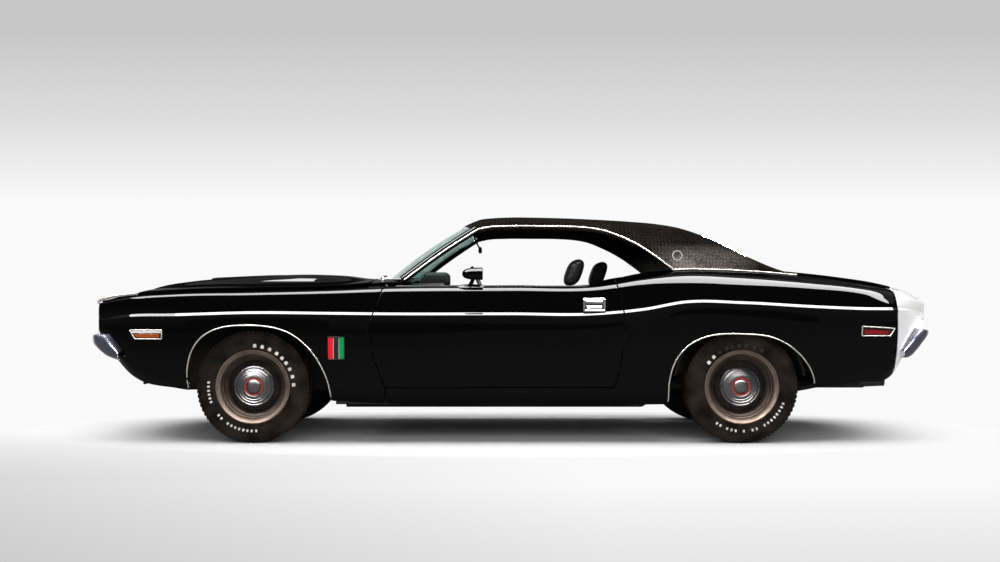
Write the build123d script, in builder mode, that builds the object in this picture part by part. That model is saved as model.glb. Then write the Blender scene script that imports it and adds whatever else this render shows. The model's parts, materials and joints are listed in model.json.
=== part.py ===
"""A two-door hardtop muscle car of about 1970, built as its real body panels, running gear and cabin.

Millimetres, +Z up. The nose points along -X and the driver's (left) side along -Y. The origin is on the
ground, under the middle of the overall length and width. Most pieces are modelled on the left side, and
their right-hand twins are mirrored.
"""

import os

from build123d import *

os.makedirs("parts", exist_ok=True)

# Driving dimensions
LENGTH = 4859.0
WIDTH = 1934.0
HEIGHT = 1332.0
WHEELBASE = 2794.0
FRONT_OVERHANG = 955.0
FRONT_TRACK = 1516.0
REAR_TRACK = 1542.0
TYRE_RADIUS = 322.0
TYRE_WIDTH = 212.0
RIM_RADIUS = 212.0
RIM_WIDTH = 194.0

# Walls and clearances
SKIN = 22.0
PANEL_GAP = 6.0
DOOR_GAP = 8.0
SEAT_GAP = 0.3
RUNNING_GAP = 0.05
OVERRUN = 60.0
OPEN_BOTTOM = 90.0

HALF_WIDTH = WIDTH / 2
NOSE_X = -LENGTH / 2
TAIL_X = LENGTH / 2
FRONT_AXLE_X = NOSE_X + FRONT_OVERHANG
REAR_AXLE_X = FRONT_AXLE_X + WHEELBASE

# Lower body cross-sections, nose to tail. Columns: station as a share of the length, then height and
# half-width pairs as shares of the overall height and the half-width: bottom z, sill y, waist y,
# crease z and y, flank top z and y, shoulder z and y, belt z and y, and the height on the centre line.
body_section_shares = [
    (-0.484, 0.450, 0.869, 0.887, 0.526, 0.898, 0.582, 0.887, 0.601, 0.858, 0.605, 0.760, 0.611),
    (-0.449, 0.300, 0.910, 0.939, 0.542, 0.949, 0.604, 0.931, 0.626, 0.895, 0.632, 0.760, 0.652),
    (-0.391, 0.235, 0.920, 0.962, 0.547, 0.972, 0.619, 0.946, 0.642, 0.908, 0.649, 0.760, 0.676),
    (-0.303, 0.225, 0.920, 0.972, 0.556, 0.986, 0.625, 0.957, 0.649, 0.915, 0.658, 0.760, 0.687),
    (-0.206, 0.180, 0.910, 0.970, 0.553, 0.986, 0.632, 0.953, 0.659, 0.908, 0.668, 0.760, 0.694),
    (-0.152, 0.164, 0.905, 0.967, 0.551, 0.982, 0.638, 0.946, 0.668, 0.898, 0.679, 0.796, 0.706),
    (0.000, 0.164, 0.908, 0.964, 0.551, 0.982, 0.642, 0.939, 0.674, 0.889, 0.682, 0.817, 0.713),
    (0.099, 0.164, 0.910, 0.965, 0.551, 0.984, 0.644, 0.941, 0.676, 0.891, 0.689, 0.812, 0.736),
    (0.156, 0.165, 0.910, 0.968, 0.571, 0.990, 0.664, 0.953, 0.709, 0.898, 0.732, 0.781, 0.751),
    (0.202, 0.169, 0.915, 0.972, 0.601, 0.995, 0.673, 0.962, 0.728, 0.891, 0.747, 0.760, 0.758),
    (0.272, 0.195, 0.920, 0.977, 0.598, 0.999, 0.676, 0.960, 0.722, 0.879, 0.743, 0.739, 0.751),
    (0.350, 0.236, 0.915, 0.970, 0.582, 0.988, 0.667, 0.943, 0.700, 0.856, 0.722, 0.714, 0.737),
    (0.412, 0.263, 0.900, 0.951, 0.573, 0.970, 0.647, 0.926, 0.676, 0.836, 0.694, 0.703, 0.713),
    (0.452, 0.297, 0.884, 0.936, 0.571, 0.949, 0.612, 0.910, 0.652, 0.817, 0.661, 0.693, 0.689),
    (0.473, 0.420, 0.863, 0.889, 0.565, 0.898, 0.597, 0.874, 0.629, 0.791, 0.638, 0.672, 0.664),
    (0.491, 0.465, 0.801, 0.817, 0.552, 0.825, 0.572, 0.817, 0.592, 0.786, 0.601, 0.662, 0.638),
]
CREASE_LEDGE = 15.0
CREASE_RISE = 14.0
CREASE_UNDERCUT = 24.0
SILL_TURN = 45.0
FLANK_BOW = 4.0
SHOULDER_BOW = 9.0

# Greenhouse cross-sections, header to backlight. Columns: station as a share of the length, then
# shares of the half-width and the height: base y and z, rail y and z, and the height of the crown.
roof_section_shares = [
    (-0.160, 0.835, 0.640, 0.622, 0.932, 0.982),
    (-0.039, 0.835, 0.640, 0.627, 0.934, 0.984),
    (0.037, 0.833, 0.640, 0.636, 0.945, 1.000),
    (0.111, 0.830, 0.640, 0.632, 0.935, 0.994),
    (0.186, 0.815, 0.640, 0.622, 0.905, 0.972),
    (0.214, 0.805, 0.640, 0.620, 0.880, 0.955),
    (0.244, 0.795, 0.640, 0.630, 0.840, 0.911),
    (0.297, 0.765, 0.640, 0.655, 0.765, 0.811),
    (0.330, 0.735, 0.640, 0.690, 0.715, 0.750),
]
ROOF_WALL = 38.0
RAIL_RADIUS = 34.0

# Side window opening, from the foot of the windscreen pillar round to the quarter window's tail:
# shares of the length and of the height.
side_window_shares = [
    (-0.104, 0.700),
    (-0.043, 0.864),
    (-0.018, 0.892),
    (0.013, 0.895),
    (0.064, 0.890),
    (0.095, 0.885),
    (0.133, 0.845),
    (0.152, 0.800),
    (0.173, 0.737),
]

# Door outline: shares of the length and of the height, clockwise from the front top corner.
door_outline_shares = [
    (-0.1470, 0.760),
    (-0.1520, 0.640),
    (-0.1610, 0.555),
    (-0.1636, 0.520),
    (-0.1630, 0.415),
    (-0.1564, 0.331),
    (-0.1472, 0.241),
    (0.1202, 0.241),
    (0.1251, 0.284),
    (0.1284, 0.357),
    (0.1319, 0.467),
    (0.1319, 0.552),
    (0.1284, 0.625),
    (0.1229, 0.700),
    (0.1200, 0.760),
]
DOOR_INNER_Y = 815.0
DOOR_BOX_INSET = 26.0
DOOR_SWING_GAP = 16.0
DOOR_SWING_Y = 885.0

# Wheel arches: shares of the tyre's radius from the axle's centre, front edge to rear edge.
front_arch_shares = [(-1.14, 0.34), (-0.49, 1.06), (0.48, 1.05), (1.15, 0.46)]
front_arch_mid_shares = [(-0.90, 0.90), (0.0, 1.115), (0.89, 0.80)]
FRONT_ARCH_FRONT_FOOT_SHARE = -1.15
FRONT_ARCH_REAR_FOOT_SHARE = 1.42
rear_arch_shares = [(-1.23, 0.28), (-0.68, 0.89), (0.22, 0.93), (0.93, 0.56)]
rear_arch_mid_shares = [(-1.03, 0.68), (-0.23, 0.955), (0.62, 0.79)]
REAR_ARCH_FRONT_FOOT_SHARE = -1.33
REAR_ARCH_REAR_FOOT_SHARE = 1.28


def write(piece, name):
    """Labels a finished piece and writes it to its own file."""
    piece.label = name
    export_step(piece, f"parts/{name}.step")


def write_pair(piece, name):
    """Writes a left-hand piece and its mirrored right-hand twin."""
    write(piece, f"{name}_left")
    write(mirror(piece, about=Plane.XZ), f"{name}_right")


def write_both(piece, name):
    """Writes a left-hand piece and its mirrored twin as one node."""
    with BuildPart() as both:
        add(piece)
        add(mirror(piece, about=Plane.XZ))
    write(both.part, name)


def box_between(low, high):
    """A block between two opposite corners, added to the current part."""
    middle = [(a + b) / 2 for a, b in zip(low, high)]
    with Locations(tuple(middle)):
        Box(*[b - a for a, b in zip(low, high)])


def box_pair(low, high):
    """A block between two corners and its twin on the other side of the car."""
    box_between(low, high)
    box_between((low[0], -high[1], low[2]), (high[0], -low[1], high[2]))


def seats_under(supports):
    """Support blocks, as low and high corners, trimmed to seat just under the body's skin on both sides."""
    with BuildPart() as seats:
        for low, high in supports:
            box_pair(low, high)
        add(under_skin, mode=Mode.INTERSECT)
    return seats.part


def other_side(point):
    """The same point of a cross-section on the car's other side."""
    return (-point[0], point[1])


def body_outline(shares, inset, drop):
    """Draws one closed cross-section of the lower body, inset from its skin and dropped at the bottom."""
    _, low, sill_y, waist_y, crease_z, crease_y, flank_z, flank_y, top_z, top_y, belt_z, belt_y, crown = shares
    bottom = low * HEIGHT - drop
    sill = (sill_y * HALF_WIDTH - inset, low * HEIGHT + SILL_TURN)
    floor = (sill_y * HALF_WIDTH - SILL_TURN - inset, bottom)
    under = (crease_y * HALF_WIDTH - inset - CREASE_LEDGE / 2, crease_z * HEIGHT - CREASE_UNDERCUT)
    crease = (crease_y * HALF_WIDTH - inset, crease_z * HEIGHT)
    ledge = (crease_y * HALF_WIDTH - CREASE_LEDGE - inset, crease_z * HEIGHT + CREASE_RISE)
    flank = (flank_y * HALF_WIDTH - inset, flank_z * HEIGHT - inset / 3)
    shoulder = (top_y * HALF_WIDTH - inset / 2, top_z * HEIGHT - inset)
    belt = (belt_y * HALF_WIDTH - inset / 3, belt_z * HEIGHT - inset)
    waist = (waist_y * HALF_WIDTH - inset, (low + crease_z) * HEIGHT / 2)
    bow = ((ledge[0] + flank[0]) / 2 + FLANK_BOW, (ledge[1] + flank[1]) / 2)
    roll = ((flank[0] + shoulder[0]) / 2 + SHOULDER_BOW, (flank[1] + shoulder[1]) / 2 + SHOULDER_BOW)
    for side in (lambda p: p, other_side):
        Line(side(floor), side(sill))
        ThreePointArc(side(sill), side(waist), side(under))
        Polyline(side(under), side(crease), side(ledge))
        ThreePointArc(side(ledge), side(bow), side(flank))
        ThreePointArc(side(flank), side(roll), side(shoulder))
        Line(side(shoulder), side(belt))
    ThreePointArc(belt, (0, crown * HEIGHT - inset), other_side(belt))
    Line(other_side(floor), floor)


def body_loft(inset, drop, nose_overrun, tail_overrun):
    """The lower body's outer form, or a smaller copy of it that hollows the panels."""
    last = len(body_section_shares) - 1
    with BuildPart() as body:
        for number, shares in enumerate(body_section_shares):
            station = shares[0] * LENGTH
            station -= nose_overrun if number == 0 else 0
            station += tail_overrun if number == last else 0
            with BuildSketch(Plane.YZ.offset(station)):
                with BuildLine():
                    body_outline(shares, inset, drop)
                make_face()
        loft()
    return body.part


body_block = body_loft(0, 0, 0, 0)
body_core = body_loft(SKIN, OPEN_BOTTOM, OVERRUN, -SKIN)
body_clear = body_loft(-SEAT_GAP, 0, OVERRUN, OVERRUN)
under_skin = scale(body_core, by=1 - SEAT_GAP / HALF_WIDTH)


def arch_cutter(axle_x, shares, middles, front_foot, rear_foot):
    """A wheel arch's outline, cut right through the left side."""
    def place(point):
        return (axle_x + point[0] * TYRE_RADIUS, TYRE_RADIUS + point[1] * TYRE_RADIUS)

    points = [place(p) for p in shares]
    mids = [place(p) for p in middles]
    start = (axle_x + front_foot * TYRE_RADIUS, 0)
    end = (axle_x + rear_foot * TYRE_RADIUS, 0)
    with BuildPart() as cutter:
        with BuildSketch(Plane.XZ):
            with BuildLine():
                Line(start, points[0])
                for number, middle in enumerate(mids):
                    ThreePointArc(points[number], middle, points[number + 1])
                Line(points[-1], end)
                Line(end, start)
            make_face()
        extrude(amount=HALF_WIDTH + OVERRUN)
    return cutter.part


front_arch = arch_cutter(
    FRONT_AXLE_X, front_arch_shares, front_arch_mid_shares, FRONT_ARCH_FRONT_FOOT_SHARE, FRONT_ARCH_REAR_FOOT_SHARE
)
rear_arch = arch_cutter(
    REAR_AXLE_X, rear_arch_shares, rear_arch_mid_shares, REAR_ARCH_FRONT_FOOT_SHARE, REAR_ARCH_REAR_FOOT_SHARE
)


def door_prism(grow, inner_y, outer_y):
    """The door's outline, grown or shrunk, between an inner and an outer plane on the left side."""
    with BuildPart() as prism:
        with BuildSketch(Plane.XZ.offset(inner_y)):
            with BuildLine():
                Polyline([(x * LENGTH, z * HEIGHT) for x, z in door_outline_shares], close=True)
            make_face()
            offset(amount=grow, kind=Kind.INTERSECTION)
        extrude(amount=outer_y - inner_y)
    return prism.part


# Doors: a hemmed outer skin on a narrower box, as thick as the whole door
with BuildPart() as door_edge:
    add(body_core)
    add(door_prism(-DOOR_BOX_INSET, DOOR_INNER_Y - OVERRUN, HALF_WIDTH), mode=Mode.SUBTRACT)
with BuildPart() as door:
    add(body_block)
    add(door_prism(0, DOOR_INNER_Y, HALF_WIDTH), mode=Mode.INTERSECT)
    add(door_edge.part, mode=Mode.SUBTRACT)
write_pair(door.part, "door")

# Side markers, let into the panels: shares of the length and the height
front_marker_shares = [(-0.445, 0.487), (-0.4067, 0.487), (-0.4067, 0.449), (-0.4384, 0.449)]
rear_marker_shares = [(0.4093, 0.503), (0.448, 0.492), (0.4423, 0.4625), (0.409, 0.4625)]


def marker_prism(shares, shrink):
    """A side marker's outline, through the left side."""
    with BuildPart() as prism:
        with BuildSketch(Plane.XZ.offset(HALF_WIDTH / 2)):
            with BuildLine():
                Polyline([(x * LENGTH, z * HEIGHT) for x, z in shares], close=True)
            make_face()
            if shrink:
                offset(amount=-shrink, kind=Kind.INTERSECTION)
        extrude(amount=HALF_WIDTH)
    return prism.part


front_marker = marker_prism(front_marker_shares, 0)
rear_marker = marker_prism(rear_marker_shares, 0)
for name, shares in (("front_markers", front_marker_shares), ("rear_markers", rear_marker_shares)):
    with BuildPart() as marker:
        add(body_block)
        add(marker_prism(shares, SEAT_GAP), mode=Mode.INTERSECT)
        add(body_core, mode=Mode.SUBTRACT)
    write_both(marker.part, name)

# Front fenders: from the nose to the door, and in to the hood's edge
FENDER_INNER_Y = 741.0
NOSE_SEAM_SHARE = -0.484
DOOR_FOOT_X = door_outline_shares[6][0] * LENGTH
with BuildPart() as front_fender:
    with BuildSketch(Plane.XZ.offset(FENDER_INNER_Y)):
        with BuildLine():
            Polyline(
                (NOSE_SEAM_SHARE * LENGTH, 0),
                (NOSE_SEAM_SHARE * LENGTH, HEIGHT),
                (door_outline_shares[0][0] * LENGTH, HEIGHT),
                *[(x * LENGTH, z * HEIGHT) for x, z in door_outline_shares[0:7]],
                (DOOR_FOOT_X, 0),
                close=True,
            )
        make_face()
    extrude(amount=HALF_WIDTH)
    add(body_block, mode=Mode.INTERSECT)
    add(body_core, mode=Mode.SUBTRACT)
    add(front_arch, mode=Mode.SUBTRACT)
    add(door_prism(DOOR_GAP, 0, HALF_WIDTH), mode=Mode.SUBTRACT)
    add(front_marker, mode=Mode.SUBTRACT)
write_pair(front_fender.part, "front_fender")

# Body sides: rocker under the door, lock pillar skin and rear quarter in one pressing
QUARTER_FRONT_Y = 745.0
QUARTER_REAR_Y = 656.0
QUARTER_STEP_SHARE = 0.19
QUARTER_TAPER_SHARE = 0.33
DECK_REAR_SHARE = 0.4845
with BuildPart() as body_side:
    with BuildSketch(Plane.XY):
        with BuildLine():
            Polyline(
                (DOOR_FOOT_X + PANEL_GAP, -QUARTER_FRONT_Y),
                (QUARTER_STEP_SHARE * LENGTH, -QUARTER_FRONT_Y),
                (QUARTER_TAPER_SHARE * LENGTH, -QUARTER_REAR_Y),
                (TAIL_X, -QUARTER_REAR_Y),
                (TAIL_X, -HALF_WIDTH - OVERRUN),
                (DOOR_FOOT_X + PANEL_GAP, -HALF_WIDTH - OVERRUN),
                close=True,
            )
        make_face()
    extrude(amount=HEIGHT)
    add(body_block, mode=Mode.INTERSECT)
    add(body_core, mode=Mode.SUBTRACT)
    add(rear_arch, mode=Mode.SUBTRACT)
    add(door_prism(DOOR_GAP, 0, HALF_WIDTH), mode=Mode.SUBTRACT)
    add(door_prism(DOOR_SWING_GAP, 0, DOOR_SWING_Y), mode=Mode.SUBTRACT)
    add(rear_marker, mode=Mode.SUBTRACT)
write_pair(body_side.part, "body_side")

# Hood: a crowned panel with a raised centre and two forward-facing scoops
HOOD_HALF_WIDTH = 735.0
HOOD_FRONT_SHARE = -0.443
HOOD_REAR_SHARE = -0.1685
# Hood bulge. Columns: station as a share of the length, the crown's height and the bulge's rise as
# shares of the height, and the half-width at its foot as a share of the hood's.
bulge_shares = [
    (-0.4405, 0.656, 0.001, 0.50),
    (-0.398, 0.673, 0.021, 0.57),
    (-0.356, 0.681, 0.032, 0.60),
    (-0.294, 0.688, 0.034, 0.60),
    (-0.235, 0.692, 0.030, 0.60),
    (-0.179, 0.700, 0.006, 0.58),
]
BULGE_FLANK = 55.0
BULGE_ROOT = 16.0
SCOOP_FRONT_SHARE = -0.372
SCOOP_LENGTH = 420.0
SCOOP_RISE = 30.0
SCOOP_TAIL_RISE = 6.0
SCOOP_HALF_WIDTH = 95.0
SCOOP_Y = 245.0
SCOOP_ROOT_Z = 916.0
SCOOP_MOUTH_DEPTH = 120.0
SCOOP_LIP = 6.0
SCOOP_FLOOR = 14.0
with BuildPart() as hood_bulge:
    for station, crown, rise, half in bulge_shares:
        foot = half * HOOD_HALF_WIDTH
        with BuildSketch(Plane.YZ.offset(station * LENGTH)):
            with BuildLine():
                Polyline(
                    (-foot, crown * HEIGHT - BULGE_ROOT),
                    (-foot + BULGE_FLANK, (crown + rise) * HEIGHT),
                    (foot - BULGE_FLANK, (crown + rise) * HEIGHT),
                    (foot, crown * HEIGHT - BULGE_ROOT),
                    close=True,
                )
            make_face()
    loft()
with BuildPart() as scoop:
    for along, rise in ((0, SCOOP_RISE), (SCOOP_LENGTH, SCOOP_TAIL_RISE)):
        with BuildSketch(Plane.YZ.offset(SCOOP_FRONT_SHARE * LENGTH + along)):
            with Locations((-SCOOP_Y, SCOOP_ROOT_Z)):
                Rectangle(2 * SCOOP_HALF_WIDTH, SCOOP_FLOOR + rise + SCOOP_FLOOR, align=(Align.CENTER, Align.MIN))
    loft()
    with BuildSketch(Plane.YZ.offset(SCOOP_FRONT_SHARE * LENGTH)):
        with Locations((-SCOOP_Y, SCOOP_ROOT_Z + 2 * SCOOP_FLOOR)):
            Rectangle(
                2 * (SCOOP_HALF_WIDTH - SCOOP_LIP), SCOOP_RISE - SCOOP_LIP, align=(Align.CENTER, Align.MIN)
            )
    extrude(amount=SCOOP_MOUTH_DEPTH, mode=Mode.SUBTRACT, taper=2)
with BuildPart() as hood:
    with BuildSketch(Plane.XY):
        with BuildLine():
            Polyline(
                (HOOD_FRONT_SHARE * LENGTH, -HOOD_HALF_WIDTH),
                (HOOD_REAR_SHARE * LENGTH, -HOOD_HALF_WIDTH),
                (HOOD_REAR_SHARE * LENGTH, HOOD_HALF_WIDTH),
                (HOOD_FRONT_SHARE * LENGTH, HOOD_HALF_WIDTH),
                close=True,
            )
        make_face()
    extrude(amount=HEIGHT)
    add(body_block, mode=Mode.INTERSECT)
    add(body_core, mode=Mode.SUBTRACT)
    add(hood_bulge.part)
    add(scoop.part)
    add(mirror(scoop.part, about=Plane.XZ))
write(hood.part, "hood")

# Nose panel ahead of the hood
HOOD_FRONT_GAP = 12.0
NOSE_PANEL_FRONT_SHARE = -0.4838
with BuildPart() as nose_panel:
    with BuildSketch(Plane.XY):
        with BuildLine():
            Polyline(
                (NOSE_PANEL_FRONT_SHARE * LENGTH, -HOOD_HALF_WIDTH),
                (HOOD_FRONT_SHARE * LENGTH - HOOD_FRONT_GAP, -HOOD_HALF_WIDTH),
                (HOOD_FRONT_SHARE * LENGTH - HOOD_FRONT_GAP, HOOD_HALF_WIDTH),
                (NOSE_PANEL_FRONT_SHARE * LENGTH, HOOD_HALF_WIDTH),
                close=True,
            )
        make_face()
    extrude(amount=HEIGHT)
    add(body_block, mode=Mode.INTERSECT)
    add(body_core, mode=Mode.SUBTRACT)
write(nose_panel.part, "nose_panel")

# Cowl: the strip between the hood and the windscreen, with the firewall hung under it
COWL_REAR_SHARE = -0.118
COWL_FRONT_X = HOOD_REAR_SHARE * LENGTH + PANEL_GAP
with BuildPart() as cowl:
    with BuildSketch(Plane.XY):
        with Locations(((COWL_FRONT_X + COWL_REAR_SHARE * LENGTH) / 2, 0)):
            Rectangle(COWL_REAR_SHARE * LENGTH - COWL_FRONT_X, 2 * HOOD_HALF_WIDTH)
    extrude(amount=HEIGHT)
    add(body_block, mode=Mode.INTERSECT)
    add(body_core, mode=Mode.SUBTRACT)
write(cowl.part, "cowl")

# Deck lid and the filler panel ahead of it
DECK_HALF_WIDTH = 650.0
DECK_FRONT_SHARE = 0.3385
FILLER_FRONT_SHARE = 0.300
LID_LIP_Z = 790.0
deck_spans = {
    "deck_lid": (DECK_FRONT_SHARE * LENGTH, TAIL_X),
    "deck_filler": (FILLER_FRONT_SHARE * LENGTH, DECK_FRONT_SHARE * LENGTH - PANEL_GAP),
}
for name, (front, rear) in deck_spans.items():
    with BuildPart() as panel:
        with BuildSketch(Plane.XY.offset(LID_LIP_Z)):
            with Locations(((front + rear) / 2, 0)):
                Rectangle(rear - front, 2 * DECK_HALF_WIDTH)
        extrude(amount=HEIGHT)
        add(body_block, mode=Mode.INTERSECT)
        add(body_core, mode=Mode.SUBTRACT)
    write(panel.part, name)

# Tail panel between the quarters, with pockets for the lamps
LAMP_BOTTOM_Z = 668.0
LAMP_HEIGHT = 92.0
TAIL_LAMP_INNER_Y = 122.0
TAIL_LAMP_OUTER_Y = 640.0
LAMP_POCKET = 12.0
LAMP_PROUD = 4.0
TAIL_FACE_X = body_section_shares[-1][0] * LENGTH
lamp_z = LAMP_BOTTOM_Z + LAMP_HEIGHT / 2
lamp_spans = [
    (-TAIL_LAMP_OUTER_Y, -TAIL_LAMP_INNER_Y),
    (TAIL_LAMP_INNER_Y, TAIL_LAMP_OUTER_Y),
    (-TAIL_LAMP_INNER_Y + PANEL_GAP, TAIL_LAMP_INNER_Y - PANEL_GAP),
]


def lamp_block(span, front_x, rear_x, shrink):
    """One rectangular lamp, or its pocket, between two stations."""
    low, high = span
    with BuildPart() as lamp:
        with BuildSketch(Plane.YZ.offset(front_x)):
            with Locations(((low + high) / 2, lamp_z)):
                Rectangle(high - low - 2 * shrink, LAMP_HEIGHT - 2 * shrink)
        extrude(amount=rear_x - front_x)
    return lamp.part


with BuildPart() as tail_panel:
    with BuildSketch(Plane.XY):
        with Locations((DECK_REAR_SHARE * LENGTH, 0)):
            Rectangle(TAIL_X, 2 * (QUARTER_REAR_Y - SEAT_GAP), align=(Align.MIN, Align.CENTER))
    extrude(amount=LID_LIP_Z - PANEL_GAP)
    add(body_block, mode=Mode.INTERSECT)
    add(body_core, mode=Mode.SUBTRACT)
    for span in lamp_spans:
        add(lamp_block(span, TAIL_FACE_X - LAMP_POCKET, TAIL_X, 0), mode=Mode.SUBTRACT)
write(tail_panel.part, "tail_panel")
with BuildPart() as tail_lamps:
    for span in lamp_spans[:2]:
        add(lamp_block(span, TAIL_FACE_X - LAMP_POCKET + SEAT_GAP, TAIL_FACE_X + LAMP_PROUD, SEAT_GAP))
write(tail_lamps.part, "tail_lamps")
write(
    lamp_block(lamp_spans[2], TAIL_FACE_X - LAMP_POCKET + SEAT_GAP, TAIL_FACE_X + LAMP_PROUD, SEAT_GAP),
    "reversing_lamp",
)

# Roof: rails, pillars and crown in one shell, cut for the glass
WINDSCREEN_PLAN_RADIUS = 2150.0
WINDSCREEN_FOOT_SHARE = -0.1533
WINDSCREEN_FOOT_Z = 953.0
WINDSCREEN_RUN = 460.0
WINDSCREEN_RISE = 330.0
GLASS = 6.0
PILLAR_WIDTH = 62.0
HEADER_Z = 1262.0
BACKLIGHT_FRONT_SHARE = 0.236
BACKLIGHT_REAR_SHARE = 0.311
BACKLIGHT_HALF_WIDTH = 455.0
BACKLIGHT_CORNER = 60.0
GLASS_GAP = 1.0
screen_slant = (WINDSCREEN_RUN, 0, WINDSCREEN_RISE)


def roof_loft(inset, ends):
    """The greenhouse's outer form, or a smaller copy of it."""
    last = len(roof_section_shares) - 1
    with BuildPart() as roof_form:
        for number, (station, base_y, base_z, rail_y, rail_z, crown) in enumerate(roof_section_shares):
            place = station * LENGTH + (ends if number == last else 0)
            base = (base_y * HALF_WIDTH - inset, base_z * HEIGHT - (OVERRUN if inset else 0))
            rail = (rail_y * HALF_WIDTH - inset, rail_z * HEIGHT - inset / 2)
            with BuildSketch(Plane.YZ.offset(place)):
                with BuildLine():
                    Line(base, rail)
                    ThreePointArc(rail, (0, crown * HEIGHT - inset), other_side(rail))
                    Line(other_side(rail), other_side(base))
                    Line(other_side(base), base)
                make_face()
        loft(ruled=True)
    return roof_form.part


def behind_windscreen(set_back):
    """Everything behind the windscreen's curved, raked face, set back by some distance."""
    foot_x = WINDSCREEN_FOOT_SHARE * LENGTH + set_back
    centre_x = foot_x + WINDSCREEN_PLAN_RADIUS
    half = HALF_WIDTH
    edge_x = centre_x - (WINDSCREEN_PLAN_RADIUS**2 - half**2) ** 0.5
    with BuildPart() as behind:
        with BuildSketch(Plane.XY.offset(WINDSCREEN_FOOT_Z - WINDSCREEN_RISE)):
            with BuildLine():
                ThreePointArc(
                    (edge_x - WINDSCREEN_RUN, half), (foot_x - WINDSCREEN_RUN, 0), (edge_x - WINDSCREEN_RUN, -half)
                )
                Polyline(
                    (edge_x - WINDSCREEN_RUN, -half), (LENGTH, -half), (LENGTH, half), (edge_x - WINDSCREEN_RUN, half)
                )
            make_face()
        extrude(amount=3 * (WINDSCREEN_RUN**2 + WINDSCREEN_RISE**2) ** 0.5, dir=screen_slant)
    return behind.part


roof_block = roof_loft(0, 0)
roof_core = roof_loft(ROOF_WALL, OVERRUN)
screen_face = behind_windscreen(0)
screen_back = behind_windscreen(GLASS * 2)


def screen_prism(shrink):
    """The windscreen's opening seen from the front, between the pillars and under the header."""
    foot_y = roof_section_shares[0][1] * HALF_WIDTH - PILLAR_WIDTH - shrink
    head_y = roof_section_shares[0][3] * HALF_WIDTH - PILLAR_WIDTH - shrink
    foot_z = roof_section_shares[0][2] * HEIGHT
    head_z = HEADER_Z - shrink
    with BuildPart() as prism:
        with BuildSketch(Plane.YZ.offset(NOSE_X)):
            with BuildLine():
                Polyline((-foot_y, foot_z), (foot_y, foot_z), (head_y, head_z), (-head_y, head_z), close=True)
            make_face()
            fillet(vertices().filter_by(lambda corner: corner.Z > foot_z + PILLAR_WIDTH), BACKLIGHT_CORNER)
        extrude(amount=LENGTH / 2)
    return prism.part


def backlight_prism(shrink):
    """The rear window's opening, seen from above."""
    length = (BACKLIGHT_REAR_SHARE - BACKLIGHT_FRONT_SHARE) * LENGTH - 2 * shrink
    middle = (BACKLIGHT_REAR_SHARE + BACKLIGHT_FRONT_SHARE) * LENGTH / 2
    with BuildPart() as prism:
        with BuildSketch(Plane.XY.offset(body_section_shares[0][1] * HEIGHT)):
            with Locations((middle, 0)):
                RectangleRounded(length, 2 * (BACKLIGHT_HALF_WIDTH - shrink), BACKLIGHT_CORNER)
        extrude(amount=HEIGHT)
    return prism.part


with BuildPart() as side_windows:
    with BuildSketch(Plane.XZ):
        with BuildLine():
            window = [(x * LENGTH, z * HEIGHT) for x, z in side_window_shares]
            Polyline((window[0][0], HEIGHT / 2), *window, (window[-1][0], HEIGHT / 2), close=True)
        make_face()
    extrude(amount=HALF_WIDTH, both=True)
with BuildPart() as cabin_air:
    add(roof_core)
    add(behind_windscreen(ROOF_WALL * 2), mode=Mode.INTERSECT)
with BuildPart() as roof:
    add(roof_block)
    add(screen_face, mode=Mode.INTERSECT)
    add(cabin_air.part, mode=Mode.SUBTRACT)
    add(side_windows.part, mode=Mode.SUBTRACT)
    add(screen_prism(0), mode=Mode.SUBTRACT)
    add(backlight_prism(0), mode=Mode.SUBTRACT)
    add(body_clear, mode=Mode.SUBTRACT)
write(roof.part, "roof")

with BuildPart() as windscreen:
    add(roof_block)
    add(screen_face, mode=Mode.INTERSECT)
    add(screen_back, mode=Mode.SUBTRACT)
    add(screen_prism(GLASS_GAP), mode=Mode.INTERSECT)
    add(body_clear, mode=Mode.SUBTRACT)
write(windscreen.part, "windscreen")

with BuildPart() as rear_window:
    add(roof_block)
    add(backlight_prism(GLASS_GAP), mode=Mode.INTERSECT)
    add(roof_loft(GLASS, OVERRUN), mode=Mode.SUBTRACT)
write(rear_window.part, "rear_window")

# Wheels: tyre, and a rim fused with its hub cap and brake drum, outboard side towards -Y
TYRE_BEAD_RADIUS = RIM_RADIUS - 10.0
TYRE_CROWN = 8.0
TREAD_HALF_WIDTH = 82.0
SHOULDER_DROP = 20.0
SIDEWALL_BULGE_RADIUS = 0.8 * TYRE_RADIUS
BEAD_HALF_WIDTH = RIM_WIDTH / 2 - 12.0
WELL_RADIUS = 186.0
RIM_WALL = 6.0
DISC_Y = -42.0
DISC_WALL = 9.0
HUB_CAP_RADIUS = 116.0
HUB_CAP_PROUD = 34.0
HUB_RADIUS = 44.0
HUB_INNER_Y = 30.0
SPINDLE_RADIUS = 20.0
DRUM_RADIUS = 138.0
DRUM_INNER_Y = 38.0
DRUM_WALL = 8.0
SLOT_COUNT = 12
SLOT_RADIUS = 150.0
SLOT_LENGTH = 42.0
SLOT_WIDTH = 15.0
half_tyre = TYRE_WIDTH / 2
half_rim = RIM_WIDTH / 2

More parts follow.
